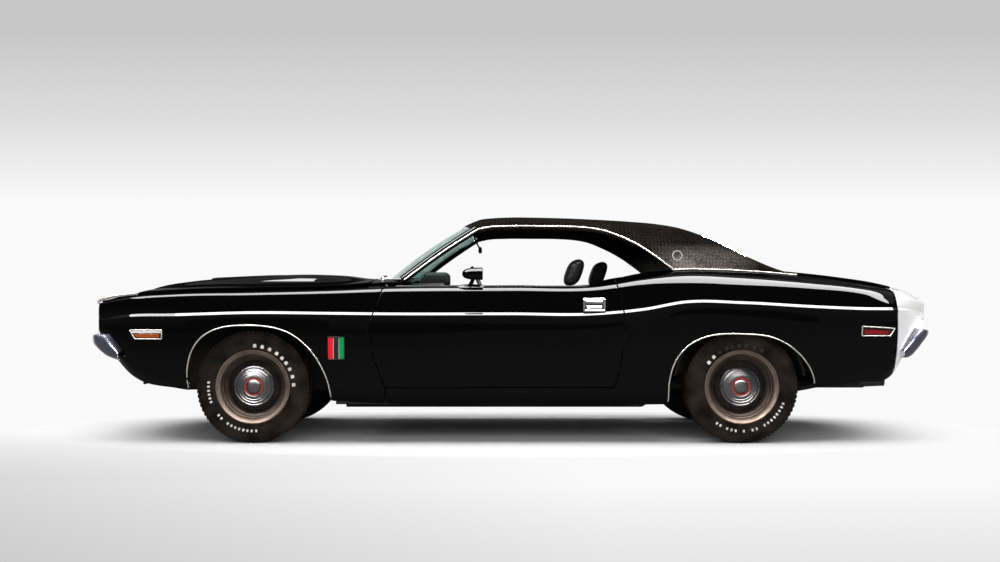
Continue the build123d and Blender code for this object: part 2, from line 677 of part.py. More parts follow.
with BuildPart() as tyre:
    with BuildSketch(Plane.YZ):
        with BuildLine():
            tread_end = (TREAD_HALF_WIDTH, TYRE_RADIUS - TYRE_CROWN)
            bulge = (half_tyre, SIDEWALL_BULGE_RADIUS)
            bead = (BEAD_HALF_WIDTH, TYRE_BEAD_RADIUS + SEAT_GAP)
            ThreePointArc((-tread_end[0], tread_end[1]), (0, TYRE_RADIUS), tread_end)
            shoulder = (half_tyre - TYRE_CROWN, TYRE_RADIUS - TYRE_CROWN - SHOULDER_DROP)
            Line(tread_end, shoulder)
            ThreePointArc(shoulder, bulge, (half_tyre - TYRE_CROWN, RIM_RADIUS + TYRE_CROWN * 2))
            Line((half_tyre - TYRE_CROWN, RIM_RADIUS + TYRE_CROWN * 2), bead)
            inner = (half_tyre - 3 * TYRE_CROWN, SIDEWALL_BULGE_RADIUS)
            lower = (BEAD_HALF_WIDTH - 2 * TYRE_CROWN, TYRE_BEAD_RADIUS + SEAT_GAP)
            Polyline(bead, lower, inner, (TREAD_HALF_WIDTH, TYRE_RADIUS - 4 * TYRE_CROWN))
            Line((TREAD_HALF_WIDTH, TYRE_RADIUS - 4 * TYRE_CROWN), (-TREAD_HALF_WIDTH, TYRE_RADIUS - 4 * TYRE_CROWN))
            Polyline(
                (-TREAD_HALF_WIDTH, TYRE_RADIUS - 4 * TYRE_CROWN),
                (-inner[0], inner[1]),
                (-lower[0], lower[1]),
                (-bead[0], bead[1]),
                (-half_tyre + TYRE_CROWN, RIM_RADIUS + TYRE_CROWN * 2),
            )
            ThreePointArc(
                (-half_tyre + TYRE_CROWN, RIM_RADIUS + TYRE_CROWN * 2), (-bulge[0], bulge[1]), (-shoulder[0], shoulder[1])
            )
            Line((-shoulder[0], shoulder[1]), (-tread_end[0], tread_end[1]))
        make_face()
    revolve(axis=Axis.Y)

with BuildPart() as wheel:
    with BuildSketch(Plane.YZ):
        with BuildLine():
            Polyline(
                (-half_rim, RIM_RADIUS),
                (-half_rim + RIM_WALL, RIM_RADIUS),
                (-half_rim + 2 * RIM_WALL, TYRE_BEAD_RADIUS - RIM_WALL),
                (-BEAD_HALF_WIDTH + 4 * RIM_WALL, TYRE_BEAD_RADIUS),
                (-BEAD_HALF_WIDTH + 6 * RIM_WALL, WELL_RADIUS),
                (BEAD_HALF_WIDTH - 6 * RIM_WALL, WELL_RADIUS),
                (BEAD_HALF_WIDTH - 4 * RIM_WALL, TYRE_BEAD_RADIUS),
                (half_rim - 2 * RIM_WALL, TYRE_BEAD_RADIUS - RIM_WALL),
                (half_rim - RIM_WALL, RIM_RADIUS),
                (half_rim, RIM_RADIUS),
                (half_rim - RIM_WALL, TYRE_BEAD_RADIUS - 2 * RIM_WALL),
                (BEAD_HALF_WIDTH - 5 * RIM_WALL, WELL_RADIUS - RIM_WALL),
                (-BEAD_HALF_WIDTH + 5 * RIM_WALL, WELL_RADIUS - RIM_WALL),
                (-half_rim + RIM_WALL, TYRE_BEAD_RADIUS - 2 * RIM_WALL),
                close=True,
            )
        make_face()
    revolve(axis=Axis.Y)
    with BuildSketch(Plane.YZ):
        with BuildLine():
            Polyline(
                (DISC_Y, WELL_RADIUS - RIM_WALL / 2),
                (DISC_Y, HUB_CAP_RADIUS),
                (-half_rim, HUB_CAP_RADIUS - RIM_WALL),
                (-half_rim, HUB_CAP_RADIUS - 2 * RIM_WALL),
                (-half_rim + HUB_CAP_PROUD / 2, HUB_RADIUS),
                (-half_rim - RIM_WALL / 2, HUB_RADIUS - RIM_WALL),
                (-half_rim - RIM_WALL / 2, 0),
                (DISC_Y - DISC_WALL, 0),
                (DISC_Y - DISC_WALL, SPINDLE_RADIUS + RUNNING_GAP),
                (HUB_INNER_Y, SPINDLE_RADIUS + RUNNING_GAP),
                (HUB_INNER_Y, HUB_RADIUS),
                (DISC_Y + 2 * DISC_WALL, HUB_RADIUS),
                (DISC_Y + 2 * DISC_WALL, DRUM_RADIUS - DRUM_WALL),
                (DRUM_INNER_Y, DRUM_RADIUS - DRUM_WALL),
                (DRUM_INNER_Y, DRUM_RADIUS),
                (DISC_Y + DISC_WALL, DRUM_RADIUS),
                (DISC_Y + DISC_WALL, WELL_RADIUS - RIM_WALL / 2),
                close=True,
            )
        make_face()
    revolve(axis=Axis.Y)
    with BuildSketch(Plane.XZ.offset(-DISC_Y - DISC_WALL)):
        with PolarLocations(SLOT_RADIUS + SLOT_WIDTH / 2, SLOT_COUNT):
            Rectangle(SLOT_WIDTH, SLOT_LENGTH)
    extrude(amount=2 * DISC_WALL, mode=Mode.SUBTRACT)

wheel_places = {
    "front_left": (FRONT_AXLE_X, -FRONT_TRACK / 2),
    "front_right": (FRONT_AXLE_X, FRONT_TRACK / 2),
    "rear_left": (REAR_AXLE_X, -REAR_TRACK / 2),
    "rear_right": (REAR_AXLE_X, REAR_TRACK / 2),
}
for name, (x, y) in wheel_places.items():
    for piece, kind in ((tyre.part, "tyre"), (wheel.part, "wheel")):
        turned = mirror(piece, about=Plane.XZ) if y > 0 else piece
        write(Pos(x, y, TYRE_RADIUS) * turned, f"{kind}_{name}")

# Knuckles: spindle, kingpin post and steering arm
KINGPIN_Y = 690.0
KINGPIN_HALF_HEIGHT = 92.0
KINGPIN_RADIUS = 24.0
BALL_PIN_RADIUS = 10.0
STEERING_ARM_REACH = 120.0
SPINDLE_END_GAP = 2.0
KNUCKLE_LUG = 14.0
spindle_end_y = FRONT_TRACK / 2 - DISC_Y + DISC_WALL - SPINDLE_END_GAP
with BuildPart() as knuckle:
    with Locations((FRONT_AXLE_X, -KINGPIN_Y, TYRE_RADIUS)):
        Cylinder(KINGPIN_RADIUS, 2 * KINGPIN_HALF_HEIGHT)
    with BuildSketch(Plane.XZ.offset(KINGPIN_Y)):
        with Locations((FRONT_AXLE_X, TYRE_RADIUS)):
            Circle(SPINDLE_RADIUS)
    extrude(amount=spindle_end_y - KINGPIN_Y)
    box_between(
        (FRONT_AXLE_X, -KINGPIN_Y, TYRE_RADIUS - KNUCKLE_LUG - KINGPIN_RADIUS),
        (FRONT_AXLE_X + STEERING_ARM_REACH, -KINGPIN_Y + KNUCKLE_LUG, TYRE_RADIUS - KINGPIN_RADIUS),
    )
    with Locations((FRONT_AXLE_X, -KINGPIN_Y, TYRE_RADIUS)):
        Cylinder(BALL_PIN_RADIUS + RUNNING_GAP, 4 * KINGPIN_HALF_HEIGHT, mode=Mode.SUBTRACT)
    with BuildSketch(Plane.XZ.offset(KINGPIN_Y)):
        with Locations((FRONT_AXLE_X, TYRE_RADIUS)):
            Circle(SPINDLE_RADIUS)
    extrude(amount=spindle_end_y - KINGPIN_Y)
write_pair(knuckle.part, "knuckle")

# Front suspension: crossmember, arms whose pins carry the knuckles, and shock towers' struts
ARM_INNER_Y = 380.0
ARM_ROOT_HALF = 150.0
ARM_TIP_HALF = 22.0
ARM_THICKNESS = 16.0
CROSSMEMBER_HALF_X = 70.0
CROSSMEMBER_BOTTOM = 165.0
CROSSMEMBER_HEIGHT = 70.0
PIN_DEPTH = 40.0
TOWER_HALF_X = 60.0
TOWER_INNER_Y = 330.0
TOWER_HEIGHT = 600.0
TOWER_EAR_DEPTH = 40.0
APRON_Y = 466.0
APRON_THICKNESS = 10.0
with BuildPart() as front_suspension:
    box_between(
        (FRONT_AXLE_X - CROSSMEMBER_HALF_X, -ARM_INNER_Y, CROSSMEMBER_BOTTOM),
        (FRONT_AXLE_X + CROSSMEMBER_HALF_X, ARM_INNER_Y, CROSSMEMBER_BOTTOM + CROSSMEMBER_HEIGHT),
    )
    for side in (-1, 1):
        box_between(
            (FRONT_AXLE_X - TOWER_HALF_X, min(side * TOWER_INNER_Y, side * ARM_INNER_Y), CROSSMEMBER_BOTTOM),
            (FRONT_AXLE_X + TOWER_HALF_X, max(side * TOWER_INNER_Y, side * ARM_INNER_Y), TOWER_HEIGHT),
        )
    box_pair(
        (FRONT_AXLE_X - TOWER_HALF_X, TOWER_INNER_Y, TOWER_HEIGHT - TOWER_EAR_DEPTH),
        (FRONT_AXLE_X + TOWER_HALF_X, APRON_Y - APRON_THICKNESS - SEAT_GAP, TOWER_HEIGHT),
    )
    for side in (-1, 1):
        for level in (-1, 1):
            joint_z = TYRE_RADIUS + level * (KINGPIN_HALF_HEIGHT + SPINDLE_END_GAP)
            with BuildSketch(Plane.XY.offset(joint_z)):
                with BuildLine():
                    Polyline(
                        (FRONT_AXLE_X - ARM_ROOT_HALF / 2, side * (ARM_INNER_Y - ARM_THICKNESS)),
                        (FRONT_AXLE_X + ARM_ROOT_HALF / 2, side * (ARM_INNER_Y - ARM_THICKNESS)),
                        (FRONT_AXLE_X + ARM_TIP_HALF, side * KINGPIN_Y),
                        (FRONT_AXLE_X - ARM_TIP_HALF, side * KINGPIN_Y),
                        close=True,
                    )
                make_face()
            extrude(amount=level * ARM_THICKNESS)
            with Locations((FRONT_AXLE_X, side * KINGPIN_Y, joint_z)):
                Cylinder(
                    BALL_PIN_RADIUS, PIN_DEPTH + ARM_THICKNESS, align=(Align.CENTER, Align.CENTER, Align.CENTER)
                )
write(front_suspension.part, "front_suspension")

# Rear axle on leaf springs
AXLE_TUBE_RADIUS = 40.0
DIFFERENTIAL_RADIUS = 118.0
DIFFERENTIAL_LENGTH = 230.0
axle_tube_end = REAR_TRACK / 2 - DRUM_INNER_Y - DRUM_WALL
shaft_end = REAR_TRACK / 2 - DISC_Y + DISC_WALL - SPINDLE_END_GAP
with BuildPart() as rear_axle:
    for radius, half in (
        (AXLE_TUBE_RADIUS, axle_tube_end),
        (SPINDLE_RADIUS, shaft_end),
        (DIFFERENTIAL_RADIUS, DIFFERENTIAL_LENGTH / 2),
    ):
        with BuildSketch(Plane.XZ):
            with Locations((REAR_AXLE_X, TYRE_RADIUS)):
                Circle(radius)
        extrude(amount=half, both=True)
    box_between(
        (REAR_AXLE_X - 2 * DIFFERENTIAL_RADIUS, -AXLE_TUBE_RADIUS, TYRE_RADIUS - AXLE_TUBE_RADIUS),
        (REAR_AXLE_X, AXLE_TUBE_RADIUS, TYRE_RADIUS + AXLE_TUBE_RADIUS),
    )
write(rear_axle.part, "rear_axle")
SPRING_Y = 545.0
SPRING_HALF_WIDTH = 32.0
SPRING_THICKNESS = 26.0
SPRING_FRONT_REACH = 400.0
SPRING_REAR_REACH = 720.0
SPRING_END_RISE = 110.0
with BuildPart() as leaf_springs:
    for side in (-1, 1):
        with BuildSketch(Plane.XZ.offset(-side * SPRING_Y - SPRING_HALF_WIDTH)):
            with BuildLine():
                top = TYRE_RADIUS - AXLE_TUBE_RADIUS - SEAT_GAP
                front_end = (REAR_AXLE_X - SPRING_FRONT_REACH, top + SPRING_END_RISE / 2)
                rear_end = (REAR_AXLE_X + SPRING_REAR_REACH, top + SPRING_END_RISE)
                ThreePointArc(front_end, (REAR_AXLE_X, top), rear_end)
                rear_low = (rear_end[0], rear_end[1] - SPRING_THICKNESS)
                front_low = (front_end[0], front_end[1] - SPRING_THICKNESS)
                Line(rear_end, rear_low)
                ThreePointArc(rear_low, (REAR_AXLE_X, top - SPRING_THICKNESS), front_low)
                Line(front_low, front_end)
            make_face()
        extrude(amount=2 * SPRING_HALF_WIDTH)
write(leaf_springs.part, "leaf_springs")

# Floor pan: floor, transmission tunnel, sills, the kick-up over the axle and the trunk floor
FLOOR_Z = 222.0
FLOOR_THICKNESS = 14.0
FLOOR_HALF_WIDTH = 770.0
SILL_OUTER_Y = 838.0
SILL_TOP_Z = 335.0
FIREWALL_X = -790.0
FIREWALL_THICKNESS = 12.0
HINGE_WIDTH = 30.0
HINGE_LOW_Z = 600.0
HINGE_HIGH_Z = 670.0
FIREWALL_HALF_WIDTH = 733.0
KICK_FRONT_X = 780.0
KICK_REAR_X = 1060.0
KICK_TOP_Z = 505.0
TRUNK_STEP_X = 1690.0
TRUNK_FLOOR_Z = 400.0
TRUNK_REAR_X = 2178.0
REAR_FLOOR_HALF_WIDTH = 596.0
TUNNEL_HALF_WIDTH = 112.0
TUNNEL_HEIGHT = 150.0
TUNNEL_REAR_X = 925.0
SEAT_BASE_FRONT_X = 40.0
DASH_REACH = 450.0
SEAT_BASE_REAR_X = 320.0
SEAT_BASE_HALF_WIDTH = 160.0
CUSHION_BOTTOM_Z = 330.0
SEAT_Y = 370.0
SILL_FRONT_X = -1000.0
SILL_REAR_X = 895.0
JACK_PAD_X = (-600.0, 700.0)
JACK_PAD_Y = 804.0
JACK_PAD_HALF_LENGTH = 45.0
JACK_PAD_HALF_WIDTH = 28.0
JACK_PAD_DEPTH = 5.0
rear_floor_points = [
    (KICK_FRONT_X, FLOOR_Z),
    (KICK_REAR_X, KICK_TOP_Z),
    (TRUNK_STEP_X, KICK_TOP_Z),
    (TRUNK_STEP_X + FLOOR_THICKNESS, TRUNK_FLOOR_Z),
    (TRUNK_REAR_X, TRUNK_FLOOR_Z),
]
with BuildPart() as floor_pan:
    box_between((FIREWALL_X, -FLOOR_HALF_WIDTH, FLOOR_Z), (KICK_FRONT_X, FLOOR_HALF_WIDTH, FLOOR_Z + FLOOR_THICKNESS))
    box_pair((SILL_FRONT_X, FLOOR_HALF_WIDTH - FLOOR_THICKNESS, FLOOR_Z), (SILL_REAR_X, SILL_OUTER_Y, SILL_TOP_Z))
    with BuildSketch(Plane.XZ.offset(-REAR_FLOOR_HALF_WIDTH)):
        with BuildLine():
            Polyline(
                *rear_floor_points,
                *[(x, z + FLOOR_THICKNESS) for x, z in reversed(rear_floor_points)],
                close=True,
            )
        make_face()
    extrude(amount=2 * REAR_FLOOR_HALF_WIDTH)
    box_between(
        (FIREWALL_X, -TUNNEL_HALF_WIDTH, FLOOR_Z),
        (TUNNEL_REAR_X, TUNNEL_HALF_WIDTH, FLOOR_Z + TUNNEL_HEIGHT),
    )
    for pad_x in JACK_PAD_X:
        box_pair(
            (pad_x - JACK_PAD_HALF_LENGTH, JACK_PAD_Y - JACK_PAD_HALF_WIDTH, FLOOR_Z - JACK_PAD_DEPTH),
            (pad_x + JACK_PAD_HALF_LENGTH, JACK_PAD_Y + JACK_PAD_HALF_WIDTH, FLOOR_Z),
        )
    box_pair(
        (SEAT_BASE_FRONT_X, SEAT_Y - SEAT_BASE_HALF_WIDTH, FLOOR_Z),
        (SEAT_BASE_REAR_X, SEAT_Y + SEAT_BASE_HALF_WIDTH, CUSHION_BOTTOM_Z - SEAT_GAP),
    )
    add(
        seats_under(
            [
                ((x, SILL_OUTER_Y - SEAT_GAP, FLOOR_Z + FLOOR_THICKNESS), (x + OVERRUN, HALF_WIDTH, SILL_TOP_Z - OVERRUN / 2))
                for x in (-DASH_REACH, DASH_REACH)
            ]
        )
    )
    with Locations(((FIREWALL_X + TUNNEL_REAR_X) / 2, 0, FLOOR_Z)):
        Box(
            TUNNEL_REAR_X - FIREWALL_X + 4 * FLOOR_THICKNESS,
            2 * (TUNNEL_HALF_WIDTH - FLOOR_THICKNESS),
            2 * (TUNNEL_HEIGHT - FLOOR_THICKNESS),
            mode=Mode.SUBTRACT,
        )
write(floor_pan.part, "floor_pan")

# Firewall with the hinge pillars
PILLAR_OUTER_Y = 850.0
PILLAR_FRONT_X = -900.0
PILLAR_TOP_Z = 850.0
with BuildPart() as firewall:
    box_between(
        (FIREWALL_X - FIREWALL_THICKNESS - SEAT_GAP, -FIREWALL_HALF_WIDTH, FLOOR_Z + 2 * TUNNEL_HEIGHT),
        (FIREWALL_X - SEAT_GAP, FIREWALL_HALF_WIDTH, HEIGHT),
    )
    add(under_skin, mode=Mode.INTERSECT)
    box_pair(
        (FIREWALL_X - FIREWALL_THICKNESS - SEAT_GAP, PILLAR_OUTER_Y - HINGE_WIDTH, HINGE_LOW_Z),
        (FIREWALL_X + OVERRUN, PILLAR_OUTER_Y, HINGE_HIGH_Z),
    )
    add(door_prism(SEAT_GAP - DOOR_BOX_INSET, 0, HALF_WIDTH), mode=Mode.SUBTRACT)
    add(mirror(door_prism(SEAT_GAP - DOOR_BOX_INSET, 0, HALF_WIDTH), about=Plane.XZ), mode=Mode.SUBTRACT)
    box_pair(
        (FIREWALL_X - FIREWALL_THICKNESS - SEAT_GAP, TUNNEL_HALF_WIDTH, FLOOR_Z),
        (FIREWALL_X - SEAT_GAP, FIREWALL_HALF_WIDTH, FLOOR_Z + 2 * TUNNEL_HEIGHT),
    )
    box_pair(
        (PILLAR_FRONT_X, FIREWALL_HALF_WIDTH - FIREWALL_THICKNESS, SILL_TOP_Z + SEAT_GAP),
        (FIREWALL_X - FIREWALL_THICKNESS - SEAT_GAP, PILLAR_OUTER_Y, PILLAR_TOP_Z),
    )
write(firewall.part, "firewall")

# Inner fenders: aprons inside the front wheels, shelves over them and the radiator support
APRON_FRONT_X = -2120.0
APRON_REAR_X = PILLAR_FRONT_X - SEAT_GAP
APRON_BOTTOM_Z = 330.0
SHELF_Z = 770.0
SUPPORT_OPENING_HALF = 330.0
SHELF_REACH = 180.0
STOP_WIDTH = 50.0
ARM_SLOT_HALF_LENGTH = 90.0
ARM_SLOT_TOP_Z = 475.0
with BuildPart() as inner_fenders:
    box_pair(
        (APRON_FRONT_X, APRON_Y - APRON_THICKNESS, APRON_BOTTOM_Z), (APRON_REAR_X, APRON_Y, SHELF_Z + APRON_THICKNESS)
    )
    box_pair((APRON_FRONT_X, APRON_Y - APRON_THICKNESS, SHELF_Z), (APRON_REAR_X, FIREWALL_HALF_WIDTH, SHELF_Z + APRON_THICKNESS))
    box_between(
        (APRON_FRONT_X - APRON_THICKNESS, -FIREWALL_HALF_WIDTH, APRON_BOTTOM_Z),
        (APRON_FRONT_X, FIREWALL_HALF_WIDTH, SHELF_Z + APRON_THICKNESS),
    )
    with Locations((APRON_FRONT_X, 0, (APRON_BOTTOM_Z + SHELF_Z) / 2)):
        Box(
            4 * APRON_THICKNESS,
            2 * SUPPORT_OPENING_HALF,
            SHELF_Z - APRON_BOTTOM_Z - 6 * APRON_THICKNESS,
            mode=Mode.SUBTRACT,
        )
    with Locations((FRONT_AXLE_X, 0, 0)):
        Box(
            2 * ARM_SLOT_HALF_LENGTH,
            2 * (APRON_Y + APRON_THICKNESS),
            2 * ARM_SLOT_TOP_Z,
            mode=Mode.SUBTRACT,
        )
    add(
        seats_under(
            [
                (
                    (APRON_REAR_X - SHELF_REACH, FIREWALL_HALF_WIDTH - APRON_THICKNESS, SHELF_Z),
                    (APRON_REAR_X, HALF_WIDTH, SHELF_Z + APRON_THICKNESS),
                ),
                (
                    (APRON_FRONT_X, FIREWALL_HALF_WIDTH - APRON_THICKNESS, SHELF_Z),
                    (APRON_FRONT_X + SHELF_REACH, HALF_WIDTH, SHELF_Z + APRON_THICKNESS),
                ),
                (
                    (APRON_FRONT_X - OVERRUN, FIREWALL_HALF_WIDTH - STOP_WIDTH, SHELF_Z),
                    (APRON_FRONT_X, FIREWALL_HALF_WIDTH, HEIGHT),
                ),
                (
                    (APRON_REAR_X, FIREWALL_HALF_WIDTH - STOP_WIDTH, SHELF_Z - SEAT_GAP),
                    (COWL_FRONT_X - 2 * PANEL_GAP, FIREWALL_HALF_WIDTH - 2 * APRON_THICKNESS, HEIGHT),
                ),
            ]
        )
    )
write(inner_fenders.part, "inner_fenders")
RADIATOR_DEPTH = 60.0
with BuildPart() as radiator:
    box_between(
        (APRON_FRONT_X + SEAT_GAP, -SUPPORT_OPENING_HALF - APRON_THICKNESS, APRON_BOTTOM_Z + APRON_THICKNESS),
        (APRON_FRONT_X + RADIATOR_DEPTH, SUPPORT_OPENING_HALF + APRON_THICKNESS, SHELF_Z),
    )
write(radiator.part, "radiator")

# Wheelhouses, lock pillars and quarter trims inside the body sides
HOUSE_RADIUS = 372.0
HOUSE_WALL = 12.0
HOUSE_CUT_HALF_LENGTH = 483.0
AXLE_CLEARANCE = 20.0
HOUSE_INNER_Y = 602.0
HOUSE_OUTER_Y = 800.0
LOCK_PILLAR_FRONT_X = 672.0
LOCK_PILLAR_REAR_X = 760.0
TRIM_Y = 742.0
TRIM_TOP_Z = 878.0
TRIM_REAR_X = 1600.0
with BuildPart() as inner_sides:
    with BuildSketch(Plane.XZ.offset(HOUSE_INNER_Y)):
        with Locations((REAR_AXLE_X, TYRE_RADIUS)):
            Circle(HOUSE_RADIUS + HOUSE_WALL)
    extrude(amount=HOUSE_OUTER_Y - HOUSE_INNER_Y)
    box_between(
        (LOCK_PILLAR_FRONT_X, -TRIM_Y - HOUSE_WALL, SILL_TOP_Z + SEAT_GAP), (TRIM_REAR_X, -TRIM_Y, TRIM_TOP_Z)
    )
    box_between(
        (LOCK_PILLAR_FRONT_X, -PILLAR_OUTER_Y, SILL_TOP_Z + SEAT_GAP), (LOCK_PILLAR_REAR_X, -TRIM_Y, PILLAR_TOP_Z)
    )
    with BuildSketch(Plane.XZ.offset(HOUSE_INNER_Y + HOUSE_WALL)):
        with Locations((REAR_AXLE_X, TYRE_RADIUS)):
            Circle(HOUSE_RADIUS)
    extrude(amount=HALF_WIDTH, mode=Mode.SUBTRACT)
    with Locations((REAR_AXLE_X, -HOUSE_INNER_Y, 0)):
        Box(
            2 * HOUSE_CUT_HALF_LENGTH,
            HALF_WIDTH,
            2 * (TYRE_RADIUS + AXLE_TUBE_RADIUS + AXLE_CLEARANCE),
            mode=Mode.SUBTRACT,
        )
write_both(inner_sides.part, "inner_sides")

# Engine as one plain block, gearbox and propeller shaft
ENGINE_FRONT_X = -1960.0
ENGINE_REAR_X = -1120.0
ENGINE_HALF_WIDTH = 290.0
ENGINE_BOTTOM_Z = 270.0
ENGINE_TOP_Z = 800.0
GEARBOX_HALF_WIDTH = 90.0
GEARBOX_REAR_X = -60.0
GEARBOX_BOTTOM_Z = 235.0
GEARBOX_TOP_Z = FLOOR_Z + TUNNEL_HEIGHT - FLOOR_THICKNESS - SEAT_GAP
SHAFT_RADIUS = 31.0
with BuildPart() as engine:
    box_between(
        (ENGINE_FRONT_X, -ENGINE_HALF_WIDTH, ENGINE_BOTTOM_Z), (ENGINE_REAR_X, ENGINE_HALF_WIDTH, ENGINE_TOP_Z)
    )
write(engine.part, "engine")
with BuildPart() as gearbox:
    box_between(
        (ENGINE_REAR_X + SEAT_GAP, -GEARBOX_HALF_WIDTH, GEARBOX_BOTTOM_Z),
        (GEARBOX_REAR_X, GEARBOX_HALF_WIDTH, GEARBOX_TOP_Z),
    )
    with BuildSketch(Plane.YZ.offset(GEARBOX_REAR_X)):
        with Locations((0, TYRE_RADIUS - RUNNING_GAP)):
            Circle(SHAFT_RADIUS)
    extrude(amount=REAR_AXLE_X - 2 * DIFFERENTIAL_RADIUS - GEARBOX_REAR_X - SEAT_GAP)
write(gearbox.part, "gearbox")

# Exhaust, fuel tank
PIPE_RADIUS = 30.0
EXHAUST_Y = 250.0
EXHAUST_Z = FLOOR_Z - PIPE_RADIUS - SEAT_GAP
EXHAUST_FRONT_X = -1000.0
EXHAUST_REAR_X = 1000.0
EXHAUST_TIP_X = 2125.0
TANK_FRONT_X = 1760.0
TANK_REAR_X = 2130.0
TANK_HALF_WIDTH = 380.0
TANK_BOTTOM_Z = 262.0
with BuildPart() as fuel_tank:
    box_between(
        (TANK_FRONT_X, -TANK_HALF_WIDTH, TANK_BOTTOM_Z), (TANK_REAR_X, TANK_HALF_WIDTH, TRUNK_FLOOR_Z - SEAT_GAP)
    )
write(fuel_tank.part, "fuel_tank")
with BuildPart() as exhaust:
    for side in (-1, 1):
        with BuildLine() as pipe_path:
            pipe_points = [
                (EXHAUST_FRONT_X, side * EXHAUST_Y, EXHAUST_Z),
                (KICK_FRONT_X + PIPE_RADIUS, side * EXHAUST_Y, EXHAUST_Z),
                (REAR_AXLE_X - AXLE_TUBE_RADIUS - OVERRUN, side * (EXHAUST_Y + OVERRUN), KICK_TOP_Z - 2 * PIPE_RADIUS),
                (REAR_AXLE_X + AXLE_TUBE_RADIUS + OVERRUN, side * (EXHAUST_Y + OVERRUN), KICK_TOP_Z - 2 * PIPE_RADIUS),
                (TANK_FRONT_X - OVERRUN, side * (TANK_HALF_WIDTH + OVERRUN), TANK_BOTTOM_Z + OVERRUN),
                (EXHAUST_TIP_X, side * (TANK_HALF_WIDTH + OVERRUN), TANK_BOTTOM_Z + OVERRUN),
            ]
            Polyline(*pipe_points)
        with BuildSketch(Plane(origin=pipe_points[0], z_dir=(1, 0, 0))):
            Circle(PIPE_RADIUS)
        sweep(path=pipe_path.line, transition=Transition.ROUND)
write(exhaust.part, "exhaust")

# Seats
CUSHION_TOP_Z = 480.0
SEAT_BACK_Z = 900.0
SEAT_HALF_WIDTH = 255.0
SEAT_FRONT_X = -30.0
SEAT_REAR_X = 470.0
SEAT_BACK_THICKNESS = 120.0
SEAT_BACK_RAKE = 110.0
HEADREST_TOP_Z = 1068.0
HEADREST_HALF = 130.0
PASSENGER_SET_BACK = 60.0


def front_seat(side, set_back):
    """A bucket seat with its headrest: cushion, raked back, all one padded shell."""
    front = SEAT_FRONT_X + set_back
    rear = SEAT_REAR_X + set_back
    with BuildPart() as seat:
        with BuildSketch(Plane.XZ.offset(-side * SEAT_Y - SEAT_HALF_WIDTH)):
            with BuildLine():
                Polyline(
                    (front, CUSHION_BOTTOM_Z),
                    (rear - SEAT_BACK_RAKE, CUSHION_BOTTOM_Z),
                    (rear, SEAT_BACK_Z),
                    (rear - SEAT_BACK_THICKNESS, SEAT_BACK_Z),
                    (rear - SEAT_BACK_THICKNESS - SEAT_BACK_RAKE, CUSHION_TOP_Z),
                    (front, CUSHION_TOP_Z),
                    close=True,
                )
            make_face()
        extrude(amount=2 * SEAT_HALF_WIDTH)
        with Locations((rear - SEAT_BACK_THICKNESS / 2, side * SEAT_Y, (SEAT_BACK_Z + HEADREST_TOP_Z) / 2)):
            Box(0.8 * SEAT_BACK_THICKNESS, 2 * HEADREST_HALF, HEADREST_TOP_Z - SEAT_BACK_Z + SEAT_GAP)
    return seat.part


write(front_seat(-1, -PASSENGER_SET_BACK), "front_seat_left")
write(front_seat(1, PASSENGER_SET_BACK), "front_seat_right")
REAR_SEAT_FRONT_X = 800.0
REAR_SEAT_BACK_X = 1190.0
REAR_SEAT_REAR_X = 1400.0
REAR_CUSHION_TOP_Z = 640.0
REAR_SEAT_HALF_WIDTH = 560.0
REAR_SEAT_TOP_Z = 880.0
with BuildPart() as rear_seat:
    with BuildSketch(Plane.XZ.offset(-REAR_SEAT_HALF_WIDTH)):
        with BuildLine():
            Polyline(
                (REAR_SEAT_FRONT_X + 2 * OVERRUN, KICK_TOP_Z + FLOOR_THICKNESS + SEAT_GAP),
                (REAR_SEAT_REAR_X - OVERRUN, KICK_TOP_Z + FLOOR_THICKNESS + SEAT_GAP),
                (REAR_SEAT_REAR_X, REAR_SEAT_TOP_Z),
                (REAR_SEAT_REAR_X - SEAT_BACK_THICKNESS, REAR_SEAT_TOP_Z),
                (REAR_SEAT_BACK_X, REAR_CUSHION_TOP_Z),
                (REAR_SEAT_FRONT_X, REAR_CUSHION_TOP_Z),
                (REAR_SEAT_FRONT_X, REAR_CUSHION_TOP_Z - 2 * OVERRUN),
                close=True,
            )
        make_face()
    extrude(amount=2 * REAR_SEAT_HALF_WIDTH)
write(rear_seat.part, "rear_seat")

# Dashboard, steering column and steering wheel
DASH_TOP_Z = 900.0
DASH_BOTTOM_Z = 690.0
DASH_REAR_X = -420.0
DASH_HALF_WIDTH = 730.0
COLUMN_Y = 370.0
WHEEL_CENTRE_X = -150.0
WHEEL_CENTRE_Z = 852.0
STEERING_RADIUS = 190.0
GRIP_RADIUS = 13.0
COLUMN_RADIUS = 28.0
COLUMN_TILT = 25.0
BOSS_RADIUS = 50.0
BOSS_DEPTH = 40.0
SPOKE_WIDTH = 28.0
SPOKE_THICKNESS = 8.0
STEERING_SHAFT_RADIUS = 12.0
SHAFT_STUB = 30.0
COLUMN_LENGTH = 560.0
column_plane = Plane(
    origin=(WHEEL_CENTRE_X, -COLUMN_Y, WHEEL_CENTRE_Z),
    x_dir=(0, 1, 0),
    z_dir=Vector(1, 0, 0).rotate(Axis.Y, -COLUMN_TILT),
)
